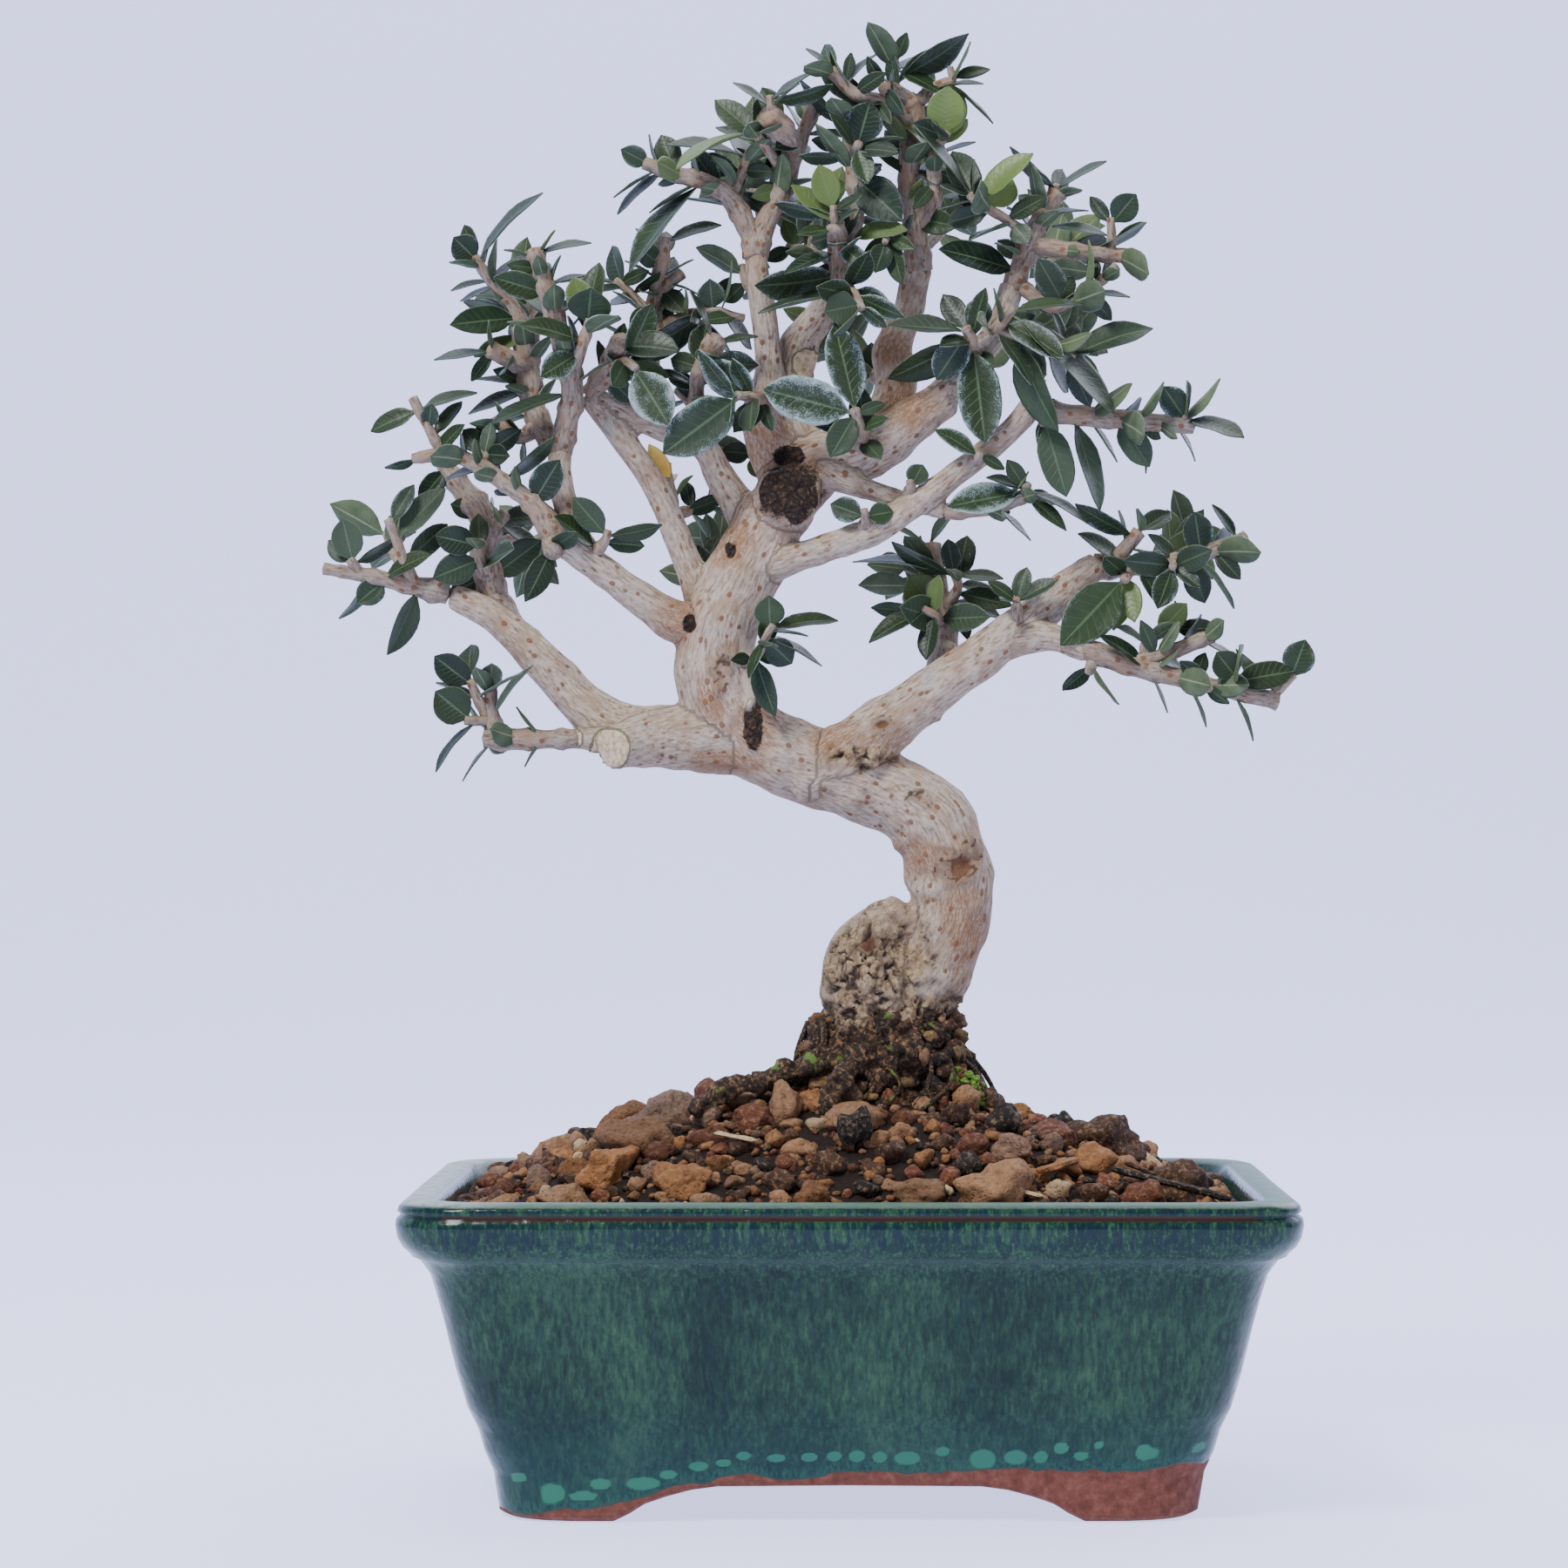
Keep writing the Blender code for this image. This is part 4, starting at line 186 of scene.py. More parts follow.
def make_piece(name, verts, faces, material, smooth=True, **values):
    """A piece from arrays: points in metres, faces with equal corner counts, values per point."""
    mesh = bpy.data.meshes.new(name)
    verts = np.asarray(verts, np.float32)
    faces = np.asarray(faces, np.int32)
    mesh.vertices.add(len(verts))
    mesh.vertices.foreach_set("co", verts.ravel())
    mesh.loops.add(faces.size)
    mesh.loops.foreach_set("vertex_index", faces.ravel())
    mesh.polygons.add(len(faces))
    mesh.polygons.foreach_set("loop_start", np.arange(0, faces.size, faces.shape[1], dtype=np.int32))
    mesh.polygons.foreach_set("use_smooth", np.full(len(faces), smooth))
    mesh.update(calc_edges=True)
    mesh.materials.append(material)
    set_values(mesh, **values)
    return add_object(name, mesh)


def set_values(mesh, **values):
    """Store numbers or vectors for the points, one for each, under their names."""
    for key, value in values.items():
        value = np.asarray(value, np.float32)
        kind, field = ("FLOAT_VECTOR", "vector") if value.ndim == 2 else ("FLOAT", "value")
        mesh.attributes.new(key, kind, "POINT").data.foreach_set(field, value.ravel())


def read_points(mesh):
    """Points and point normals of a mesh as arrays."""
    count = len(mesh.vertices)
    points = np.empty(count * 3)
    normals = np.empty(count * 3)
    mesh.vertices.foreach_get("co", points)
    mesh.vertices.foreach_get("normal", normals)
    return points.reshape(-1, 3), normals.reshape(-1, 3)


def lattice(cell, seed):
    """A random number from 0 to 1 for each lattice corner."""
    n = cell[..., 0] * 374761393 + cell[..., 1] * 668265263 + cell[..., 2] * 974711 + seed * 69069
    n = (n ^ (n >> 13)) * 1274126177 & 0xFFFFFFFF
    return ((n ^ (n >> 16)) & 0xFFFF) / 65535.0


def noise3(points, seed=0):
    """Smooth noise from -1 to 1 at each point."""
    cell = np.floor(points).astype(np.int64)
    part = points - cell
    part = part * part * (3 - 2 * part)
    total = 0.0
    for corner in np.ndindex(2, 2, 2):
        corner = np.array(corner)
        weight = np.prod(np.where(corner, part, 1 - part), axis=-1)
        total = total + weight * lattice(cell + corner, seed)
    return total * 2 - 1


def layers(points, octaves, seed=0):
    """Noise with finer, fainter copies added."""
    total = 0.0
    for octave in range(octaves):
        total = total + noise3(points * 2.03 ** octave, seed + octave) * 0.5 ** octave
    return total


def soft_step(low, high, value):
    """0 below low, 1 above high, and a smooth rise between."""
    t = np.clip((value - low) / (high - low), 0.0, 1.0)
    return t * t * (3 - 2 * t)


print("tools ready")
# %% [markdown]
# ## Picked paths and leaves
# The routes of the trunk, limbs and twigs, and every leaf's base and tip, are given one by one. A path
# point is x, z, y behind the trunk's plane, and radius. A leaf is its base x z, its tip x z, its seen width and
# how far its tip lies behind its base. A shoot is a twig leafed by rule.

# %% Table of the picked places
# Each line is one path, or the leaves of a spray, with a comma between points or leaves. A line that
# starts with spaces carries on. A spray's lines follow its name, and its wood starts inside what it grows
# from.
PICKED = """
# main stem from the root base, through the elbow, up to the pruned top
trunk 3 64 0 13, 4 80 0 14.6, 7 94 0 14.6, 12 104 0 11.6, 18 113 0 8.8, 20.8 122 0 8.7, 20.4 131 0 9.2,
  16.6 140 0 9, 7 146.6 0 8, -5 150.5 0 8.2, -15 154 0 8, -24 160.5 0 8.6, -28.3 170 0 8.5, -27.3 180 0 8,
  -23 190 0 7.6, -18.6 198 1 7.2, -15 206 2 7
# swollen burl on the left of the stem's foot
trunk 6 97 -4 8.5, 4 106 -4 10.4, 5.5 114 -3 8.2, 12 121 -1 5
# pruned knob that faces the viewer
trunk -14 205 4 6.6, -13 207.6 -4 7, -12.6 208.4 -8.5 6.2
# upper trunk to the right, cut short
trunk -16 202 3 6.6, -11 211 4 7.4, -4 215.6 3 6.2, 3 217 2 5.8, 10 221 1 5.2, 16 225.5 0 4.4,
  21 228.5 -1 3.8
# low left limb: short thick part with a cut end, then the long limb and its back branch
limb -22 158 0 8, -32 157.5 -1 7, -42 156.5 -3 5.8, -50 155 -8.5 4.4
limb -36 157.8 1 6.4, -47 158.5 3 5.6, -55 163.4 3 4.8, -62 171 4 4.3, -69 178 5 3.9, -76 183.5 6 3.3,
  -83 187 6 2.7
limb -50 156.4 -3 2.8, -57.5 157.2 -3.5 2.2
limb -71 180 6 3.6, -74 186 9 3.5
# left arm
limb -27 180 0 6, -37 182 -2 4.4, -46 188 -4 3.5, -54 194 -5 3.2, -60 198 -6 2.8
limb -54 194 -5 3.2, -58 202 -4 2.7, -60.5 211 -3 2.6, -60.5 217.5 -2 2.6
# inner left limbs that meet high up
limb -29 184 3 5, -34 194 4 3.1, -37.5 203 4 2.8, -42 212 4 2.7, -49 222 4 2.6, -54.5 229 4 2.6
limb -19 199 4 4.5, -27 212 6 3.2, -31 218.5 6 2.8, -42 223 5 2.7, -54 228.4 4 2.6
# crown stems
limb -11 210 6 6.4, -16 218.5 5 5.6, -18 225.5 4 4.6, -17 232 3 3.2, -17.4 242 2 2.9, -19 253 1 2.7,
  -19.6 259 1 2.6
limb -7 213 5 5, -12 226 8 4.4, -11 238 9 4.2, -6 246 8 3.4, -1.5 252 4 2.4
limb 3 217 4 5, 9.5 229 7 4.6, 9 238 9 4.2, 12 246 9 3.4, 14.5 256 7 3
limb 18 227 0 3.8, 26 236 -1 2.9, 31.5 244 -2 2.7, 34 252 -2 2.5
# right limbs
limb -5 213 0 4, 3 209.6 -3 2.5, 12 206.8 -4 2, 20 204.6 -5 1.9
limb -21 192.5 0 5.4, -13 194.4 -3 3.3, -5 197 -4 3, 5 200.6 -6 3, 15 207 -6 2.8, 25 214.6 -6 2.6,
  33 221 -6 2.5, 39 227.4 -6 2.5
limb -6 150 -1 7, 1 155 -3 6.8, 11 162.4 -4 5.7, 20 169 -4 5, 30 176 -3 4.5, 40 184 -1 4.2, 47 190 0 3.8,
  52 193.4 1 2.9
limb 32 177 -2 4, 42 178.4 -6 3, 50 175.6 -8 2.6
limb 19 169 3 3.6, 19.8 177 6 3.2
# roots that leave the base along the soil
limb -4 88 -6 5, -13 87 -14 2.6, -21 85 -19 2.1, -28 82 -22 1.9, -33 78.5 -25 1.6
limb 8 86 4 7, 23 82 10 3.4, 35 77 16 2.2, 44 71 22 1.6
limb 2 86 6 7, -10 80 20 3.6, -18 74 31 2.2
limb 4 92 -12 3.5, -1 87 -19 2.2, -6 78.5 -24 1.6
spray_low_left_tip
wood -84 187.4 6 2.6, -94 189.6 5 1.9, -102 191.4 4 1.5, -110 192.6 3 1.3
wood -91 189 5 1.5, -94 196.5 3 1.1, -96.4 203 1 1
wood -102 191.4 4 1.1, -104.5 194.6 2 0.9
leaves -104.4 194.4 -109 198.6 4.4 2, -104.6 195.4 -106 203.2 6.4 -1, -103.6 195 -94.6 199.2 2.2 3,
  -97 190 -103 185.4 5.4 -2, -100 190 -106.6 182 1.6 4, -90.5 187.6 -96.6 174.6 4.2 -3,
  -96.2 203 -91 210.2 3.8 1, -93 199 -84.6 209.6 5.4 2, -92 194.6 -84.2 202 4.6 4,
  -97.6 190.4 -87.6 195.8 3.6 -4
shoot -90 189 6 1.3, -95 195 14 0.9, -97 200 22 0.8
spray_low_left_back
wood -73.8 185.4 8.8 3.4, -76 195 12 3.4, -76 202 12 3.3, -80 208 12 2.8, -85 214.6 12 1.9
wood -75.2 190.4 9.6 2.2, -77 194 5 1.4, -77.4 198.6 3 1
wood -76 201 12 1.8, -72 204 9 1.5
leaves -77.4 197.6 -86.6 199.6 6 -2, -77.2 194.6 -87.2 190.6 6.6 -3, -76 191.6 -84.2 186.6 4.2 -4,
  -75.6 190.6 -64.4 198.6 6.2 -2, -76.6 198.6 -68.4 202.6 2.8 3, -74 202.6 -64 195.8 3 4,
  -77 204.6 -83.4 206.2 4.2 -3, -84.4 213.4 -90 206.6 4.6 -3
shoot -76 198 13 1.5, -70 199 23 1.1, -67 196 33 0.8
spray_stub_left
wood -57 157.2 -3.5 2.2, -66 157 -4 2.2, -76.4 157.2 -4 2.2
wood -73.4 157.4 -4 1.9, -74.8 163 -4 1.4, -75 168.2 -4 1.2
wood -75.2 160.6 -4 1.2, -80.4 161 -6 1
wood -76 161.6 -4 1.1, -79.4 169.4 -5 0.9
leaves -78.8 168.8 -86.8 174.4 6 -2, -80 161.6 -86.6 167 7.6 -3
spray_left_arm
wood -60.6 198.8 -6 2.6, -66 206 -6 2.3, -71 210 -6 2, -78 214.4 -6 1.8, -84 216.6 -6 1.6, -91.4 215.6 -6 1
wood -62 198.6 -6 2.3, -62 196.2 -11 2
wood -85 216.6 -6 1.2, -88 222 -7 1.1, -91.4 228.4 -8 1.1
wood -77 214 -6 1.2, -76 217.6 -3 0.9
leaves -91 215.4 -97.2 213.6 1.6 2, -90 225.6 -100.2 221.4 4 2, -88.2 221.4 -87.4 227.2 3.8 -3,
  -88.4 226.6 -77.8 229.4 2.6 2, -86.4 220.4 -81 227.6 3.2 3, -86.6 216 -80.4 222.8 3.2 -4,
  -76 216.6 -80.8 221.8 4.4 3, -76.4 217.6 -76 223.8 4.4 4, -75.6 216.6 -71 216.2 4.4 -3,
  -75.8 217.4 -68.6 221.8 4.4 3, -72.4 211 -61.6 220.2 2.6 -4, -66.4 206 -60.6 215.4 6.4 -5
spray_left_upright
wood -60.5 217 -2 2.5, -58.4 226 -5 2.4, -58 232 -6 2.3, -60 240 -6 2.3, -63 250 -6 2.2, -66.2 259.4 -6 2
wood -60.5 217 -2 2.5, -64.6 223 1 2.4, -67 231 3 2.8, -67.5 243 4 2.7
wood -65 223 1 1.7, -69 220 -1 1.5, -74.4 224 -2 1.1
wood -67 235 3 1.8, -70 236 0 2, -75.4 238.6 -2 1.7
wood -67.5 242 4 1.8, -71 248.6 3 1.3, -75 252.6 2 1.1, -78.4 258 1 1
wood -58.4 233 -6 1.6, -55.6 240 -9 1.3, -54.4 245 -10 1.1
leaves -78.2 257 -82.8 262 6 -1, -78 258.2 -80.6 264.6 3.6 4, -77.8 260 -64.4 271.6 2.8 1,
  -76 252.2 -83.4 250.8 1.5 1, -74.4 253.4 -66 258.4 2.4 5, -64.6 255.4 -71.6 256.2 3 -3,
  -65.6 258.6 -54 261 2 1, -66 249 -74.4 253.6 5.4 -4, -68.6 247 -80.6 248.6 2.6 4,
  -66.4 246.4 -83.6 243.6 6 -6, -57 240 -68.8 244 4.2 -4, -53.4 236.6 -64.8 232.6 6 -5,
  -70 241 -78.6 237.2 3.6 -2, -74.6 237.6 -79 231.8 3 1, -69.4 231 -74.6 234.2 3.2 -3,
  -69 230.4 -78.2 232.4 1.7 1, -62 229.6 -74.8 222.8 3.4 -4, -69 229 -79.6 224.8 3 2,
  -56 244 -57.6 253.6 5.6 1, -54.4 246 -52.4 256.8 5 4, -50.8 242.6 -54 251.4 9 -4,
  -60.4 252.6 -54.4 254.2 1.4 2
shoot -67 240 5 1.4, -66 246 14 1.1, -69 251 24 0.8
spray_inner_left
wood -42 223 5 2.2, -41.5 236 7 2, -41 246 7 1.8, -40 253 6 1.6, -38.4 262 5 1.4
wood -40.6 250 7 1.4, -35 254.4 4 1.2
wood -41 245 7 1.2, -45 249.6 6 1, -49 253 5 0.9
wood -41.4 241.4 7 1.3, -35 245.6 4 1, -28.6 246.6 2 0.9, -22 245 3 0.8
leaves -38 260.6 -26.8 264.6 3 -2, -39.2 258 -44.6 264 1.8 3, -39.6 256 -44.2 260 4.6 -4,
  -38.6 250.6 -34.4 246 4.6 -4, -28.8 247 -29.2 253.2 5.8 -3, -21 245.4 -31 244.4 3.2 -4,
  -29.6 246.2 -46.2 236.8 5.4 -6, -48.6 252.4 -42 255 3 -2, -49 253 -60.4 253 1.6 2,
  -45.6 250 -39.6 254.8 1.8 -3, -41.2 247 -46 243.4 4.2 -4, -40.8 248 -36.6 242.6 4 4
spray_cut_stub
wood -54 229.4 3 2.4, -51.6 233 0 2.3, -49.4 236.8 -4 2.3, -47.5 240 -9 2.3
wood -50.6 234.6 -1 1.3, -47 236 -9 1, -44.6 234.6 -13 0.9
leaves -44.8 235 -37.6 222.4 8.8 -3, -46.4 236 -35.4 238.6 3 3, -51 233 -45 227.4 4.4 4
spray_broken_stub
wood -31 219 6 1.9, -32 229 0 1.7, -31 234.6 -3 1.9, -27.6 241 -6 2.5
wood -31.6 226 2 1.2, -36 230 6 0.9
leaves -31 236 -19 235.2 5.4 3, -31.4 235 -30 243.6 6.4 5, -30.6 234 -37.4 236.6 4.4 4,
  -32 230 -38 234 3.6 4
spray_front_left
wood -17.4 227 1 1.7, -19 228.4 -8 1.2, -23.6 228.8 -12 1
leaves -23.8 228.2 -39 216.6 9.6 -2, -20 228.8 -31 235.8 7 -2, -18.6 227.8 -16.2 221.4 3 -2
spray_arm_side
wood -54.4 195 -5 1.7, -51.4 198 -8 1.1, -50.4 200.6 -9 0.9
leaves -50.6 200.4 -57.8 207.6 5.4 -2, -50 199.6 -39.2 201.6 3.2 -2, -51 198 -42.8 197.4 3.6 2
spray_inner_low
wood -36.4 200 4 1.8, -37.4 208 8 1.3, -38.4 214.6 9 1
wood -37 204 6 1.3, -32 205 10 1, -28 206.6 12 0.8
leaves -38 215.2 -42.4 208 4 -3, -35 204.2 -26.4 207.6 3.6 4, -33 205 -34.4 211 3.2 4
spray_trunk_back
wood -25 188 3 2, -29 190 12 1.2, -31 193 18 1
leaves -28.6 190 -31.8 197.6 4 1
shoot -29 190 12 1.1, -28 196 23 0.9, -25 199 33 0.8
spray_knob_back
wood -15 216 6 2.4, -19 216.4 12 1.3, -21 216.8 14 1
leaves -20.4 216.8 -26.8 217.2 4.6 -2, -20.6 217 -18.4 211.4 4.2 -1
spray_trunk_shoot
wood -24 173 -3 2, -19.6 174.4 -9 1, -17.6 178 -11 0.9, -16 181 -11 0.8
leaves -16.6 180 -16.8 187 6.2 -2, -15.6 181 -2.4 182.2 3.2 2, -17.8 177.8 -12 172.8 5.8 3,
  -16.8 178 -5.8 172.2 1.5 5, -19.6 174 -15.4 161.8 4.8 -2, -17.8 178.6 -20.8 169.6 2.2 -3
spray_crown_left
wood -19.6 258 1 2.6, -21 263 1 2.3, -24.4 269.4 1 2.3, -29 273 0 2, -36 275 -1 1.7, -43 277.6 -2 1.5
wood -19.6 258 1 2.6, -17.6 265 2 2.3, -14 272 3 2.3, -12 279 3 2.2, -13.2 283 1 2.6, -17.4 287.6 -3 3.1
wood -12 278 3 1.9, -9 285 4 1.6, -7 291 4 1.6
wood -24.4 269.4 1 1.5, -22.4 275.6 3 1.1, -21 280 3 0.9
wood -16 286 -2 1.2, -16.6 291.6 -4 0.8
wood -13 275 3 1.2, -17 280 0 1, -20.6 285 -2 0.8
leaves -42.4 277.6 -47.8 280.4 4.4 -2, -39 274.6 -48.6 266.8 2.6 2, -31 272.4 -46.4 254.6 4.8 -3,
  -36 275.4 -39.4 283.4 5.4 2, -21.4 279 -38.4 281.6 2.8 -4, -21 285.2 -36.6 277 2.8 -3,
  -21 284.4 -19.4 290.8 2 2, -22.6 275.6 -32.8 278.2 5 3, -16.6 291.2 -6.8 296.8 1.8 2,
  -16.4 291 -3.4 293.6 2.4 -3, -8.6 284 -15.6 280.4 4.4 -6, -17.6 280.4 -20.4 285.6 3.6 4,
  -9 285.4 -10.4 291.6 3.2 3, -17 266 -23 271.4 3.4 5, -14 272 -20.4 270.4 3.6 -3,
  -22.4 276 -16 275.6 3.4 -3, -12.6 280 -17.6 276.6 3.6 5, -19 281 -28 284.6 2.6 3
shoot -17.6 265 3 1.4, -20 271 14 1.1, -22 276 25 0.9, -20 280 33 0.8
spray_crown_left_low
wood -18.4 250 1 1.8, -21.4 252 5 1.1, -22.4 256 8 0.9
leaves -21.6 252.6 -26 248.4 3.6 3
spray_crown_middle
wood -1.6 251 4 2.4, -2 258 0 2.3, -3 264.6 -5 2.1
wood -2 257 1 1.7, 1.6 266 0 1.5, 0.6 275 -1 1.5, -0.4 286 -1 1.4
wood -2 256 1 1.3, -7.6 259 5 1.1, -13 260 8 0.9
wood -2.8 263 -4 1.1, -3.4 268.6 -6 0.8
wood -1.8 253 3 1.2, 1 250 -6 1, 2.8 247 -9 0.8
wood 0.4 279 -1 1.1, 2 281.6 -5 0.9
leaves -3.4 268 -6.4 277.2 5.8 -1, -3.2 267.4 2.8 270.8 2.2 -2, -3.6 266.6 -15.6 269.2 2.4 2,
  -3.6 264.4 -11 262.4 2.6 -3, -1.4 261 4.6 254.6 4.4 -4, -3 262.4 -8 260.8 4.4 3,
  -2.6 259 -13.6 254.2 3.2 -6, -2.4 254 -19.6 251.6 6.2 -7, 0.4 251.4 8.8 245.4 6 -2,
  2.6 248 -5.2 246.4 6.8 -3, 0.6 250 -19 245.4 2.2 4, 0.6 275 11 265.4 8.6 -5, 2 280.8 4.4 290.4 7.8 -1,
  2.2 281.4 4 273 4.8 -3, -0.6 285.4 -10.4 295.2 2 2, 0 279 -10.6 279.2 2.2 -3, -0.2 281.4 -8 282.2 2.6 4,
  1.2 278.4 11 281 1.6 2, 0 262 12 263.8 4.2 -5, 1.4 266.4 7.4 265.2 1.8 4, -12.6 260 -17.6 257 3.2 -2,
  -11 259.6 -13.8 265.6 3.6 1, 0.6 273 -5.4 271.4 3.4 5, -2 257 -8.6 251.4 3.6 4, 0.6 274 6.8 277.4 3.2 5
shoot -7.6 259 5 1.1, -8 264 16 0.9, -5 268 26 0.8
spray_crown_top
wood 14.5 255 7 2.8, 14 262 6 2.6, 12.6 272 5 2.2, 12.4 280 5 2.2, 13.6 288 5 2.3, 12 291.6 4 2
wood 13 284 5 1.6, 10 289 2 1.4, 6 290.6 0 1.3, 1 292 -2 1.3, -4 297 -3 1.2
wood 14 262 6 2, 17.6 270 3 1.7, 17.8 279 1 1.4, 20.4 284 -2 1
wood 12 290.6 4 1.4, 8.6 293.4 1 1.3, 7.2 293 -2 1.3
wood 13.4 289 5 1.4, 17.6 293.4 3 1.1, 21.4 294.6 2 1, 21 297.6 2 0.7
wood 10.4 288.6 2 1.1, 9.6 295 4 0.8, 9.8 300 5 0.6
wood 14 260 6 1.4, 9 263 -1 1, 7.4 261 -6 0.8
leaves 9.8 299.4 12 304.8 3 -1, 12.4 295 25.2 304.2 4.4 -2, 10.2 297 20.2 291.4 3.4 -4,
  21 295 29.4 297.2 2.8 1, 1.6 292.4 7.6 296.4 3.4 -3, -0.6 293.8 5.4 300.4 1.6 3, -4 296.8 -9 301.6 1.6 1,
  -1 294 0.4 300.6 2.6 5, 20.6 283.4 20.6 293.6 7.8 -3, 18.4 281 24.8 286.8 3.8 4,
  19.8 283 13.2 285.8 4.4 -4, 14 290.6 17.6 297.4 2.2 3, 13 276 20.2 272.4 2.8 -4, 12.4 275 6.4 279 2.4 -3,
  17.6 276 25.4 272.8 3.2 3, 13.8 266 22.6 264.2 5.4 -6, 7.6 261.4 5.4 254.6 4.8 -1, 8 262 13.8 259.4 3 -4,
  18 273 13.4 268 3.2 -4, 13.2 283 8.4 288.6 3.6 3, 14 286 19.6 289 3.4 5, 11.8 279 7.4 284.4 3.4 4,
  5 290.8 9 285.4 3.2 -4, 17.4 293.4 24.4 290.4 3.4 4
shoot 14.2 259 8 1.5, 19 263 19 1.1, 21 268 29 0.9, 20 272 38 0.8
spray_crown_right
wood 34 251 -2 2.4, 37 259.6 -3 2.3, 40 266 -3 2.1, 43.6 271.4 -3 2
wood 37.4 260.4 -3 1.9, 47 259 -5 1.7, 58.4 258 -6 1.6
wood 34.6 253 -2 1.6, 42 247.4 -5 1.3, 49 250 -7 1.1, 56 256 -8 1
wood 38 261.6 -3 1.4, 33 265.6 -6 1.1, 27 269 -8 1, 25 271 -8 0.8
wood 54.6 258.2 -6 1.2, 54.8 262 -5 0.9, 54.6 266 -5 0.8
wood 43 270.6 -3 1, 43.4 273 -4 0.8
leaves 27 269.4 38.2 279.8 4.8 -2, 25.2 271 13 285.4 2.2 -2, 25.6 270.6 19 273 2 2, 33 266 41 270.4 3.8 -3,
  33.6 265 37.6 260.6 4.6 -3, 29 268.4 34.4 274 6.2 3, 43.2 272.6 33.6 281 1.8 2, 54.8 265.8 60 271 5.8 -1,
  54.4 265.6 50.4 270.4 3 2, 54.6 261.6 42.4 264.6 2.4 2, 44.6 248.4 39.4 257.6 6 -4, 42 248 47 253.8 4 3,
  38 250.4 43.6 246.4 4 4, 34.4 255 18.6 259.4 6.2 -7, 30 268 20.6 265 4.6 4, 27.4 269.4 21.6 279.8 6.4 4,
  49.6 250.6 54.8 244.6 3.4 2, 52 252.4 50.4 258 3 3, 36 257 31 261.4 3.6 5, 40.4 267 35.4 270.8 3.2 4
shoot 37 258 -2 1.5, 41 256 9 1.1, 44 259 19 0.9, 44 263 27 0.8
spray_front_right
wood 26.6 236.6 -1 2.2, 26 239.4 -9 1.4, 24.4 243 -12 1.1
wood 26 239 -8 1.3, 30.4 242.6 -13 1.1, 34.4 247 -15 0.9
wood 30.6 242.6 -13 1.1, 39 239.6 -12 1, 47 236.4 -11 0.9
leaves 25.4 239.4 28.4 218.6 8.8 -3, 24.4 242.6 8 243.2 4 -1, 24 243 18.2 232.2 6.8 2, 25 241 8 232.6 5.6 6,
  30.4 242 38.4 231.4 3.8 -4, 32 244.4 44.8 237 5.6 -5, 34.6 246.6 55.4 225 5.8 1,
  35 240.8 43.2 221.2 5.6 -4, 46.6 236.8 63.4 243.4 5.6 2, 46.6 236.4 50.4 226.4 4.4 3,
  24.4 243 28.4 249 5.6 4, 34.4 247 48.8 248.2 2.4 3, 45 237.4 47.6 243.6 3.4 4, 24.2 243 19.6 250 5 5,
  41 239 38.4 244.6 3.4 4
spray_right_back
wood 31 243 -2 2, 35 241 9 1.3, 40 243 18 1
leaves 36 241.4 42 238 4.2 3, 38 242.4 36.4 248 3.8 4
shoot 35 241 9 1.2, 42 239 20 1, 47 241 30 0.8
spray_trunk_front
wood 3 217.6 0 2.4, 2.4 221.6 -9 1.3, 1 226 -12 1
leaves 0.6 226 -18 230.2 9.2 -1, 1 226 -3.2 243.8 7.6 2, 0.8 225.4 -4 216 6 -2, 1.4 225 7.4 227.2 2.6 1
spray_stem_back
wood 9.4 232 9 2.4, 5 233 18 1.3, 2 236 26 1
leaves 5 233.2 4.6 240 4.4 2
shoot 5 233 18 1.2, -1 238 28 1, -5 243 36 0.8
spray_right_thin
wood 20 204.6 -5 1.8, 30 205.6 -6 1.6, 37 207.8 -7 1.4
wood 36.6 207.6 -7 1.2, 37 210.4 -9 0.9
leaves 36 208.6 20.2 205.4 6.4 -5, 37 210 33 215.4 3.6 -2, 37.2 209 50 202.4 2.2 1,
  36.8 208 45.4 200.6 3.2 -2, 37.2 208.6 43.6 206.2 2.6 4
spray_right_thin_root
wood 12 206.8 -4 1.7, 12.8 209.6 -8 1, 12.6 211 -9 0.8
leaves 12.8 209.8 15.4 214.4 4.6 1
spray_right_inner_low
wood 3.4 200 -5 2.2, 3.4 203.4 -10 1, 3 205 -11 0.8
leaves 3.2 203.4 -4 206.2 5.2 2, 3.4 203.6 9.2 204.6 4.6 1
spray_right_inner_leaf
wood 26 215.2 -6 2, 27 216 -10.4 1, 27.4 217 -11 0.8
leaves 27 216 18 221.8 3.6 -1, 27.4 216.4 32.4 213.4 2.4 1
spray_right_inner_tip
wood 38.6 226.8 -6 2.4, 44 225 -6 2.2, 56 224 -5 2, 72 222.4 -4 1.8
wood 39.6 227 -6 2, 38.4 231 -8 2.2
wood 41 225.6 -6 1.4, 40.6 223 -9 0.9
wood 69 222.8 -4 1.2, 71 224.6 -6 0.9
leaves 40 223.4 45.4 207.8 6.8 -2, 46.4 224 52 204.6 4.6 -2, 56 222.8 62.8 214 5.8 -2,
  71 224.2 65.6 230.8 5.8 -2, 60 224.4 65 219.8 3 5, 43 225.6 39.4 219 3.2 5
spray_right_low_tip
wood 51.4 193 1 2.8, 60 193.4 2 2.3, 70 194.4 3 1.9, 80 198 4 1.6, 83 199.6 4 1.3
wood 55 193.6 1 1.7, 60.6 200.4 -1 1.5
wood 58 192.4 1 1.4, 57.6 190.4 -6 1
wood 68 193.6 3 1.2, 67.6 193 -4 0.9
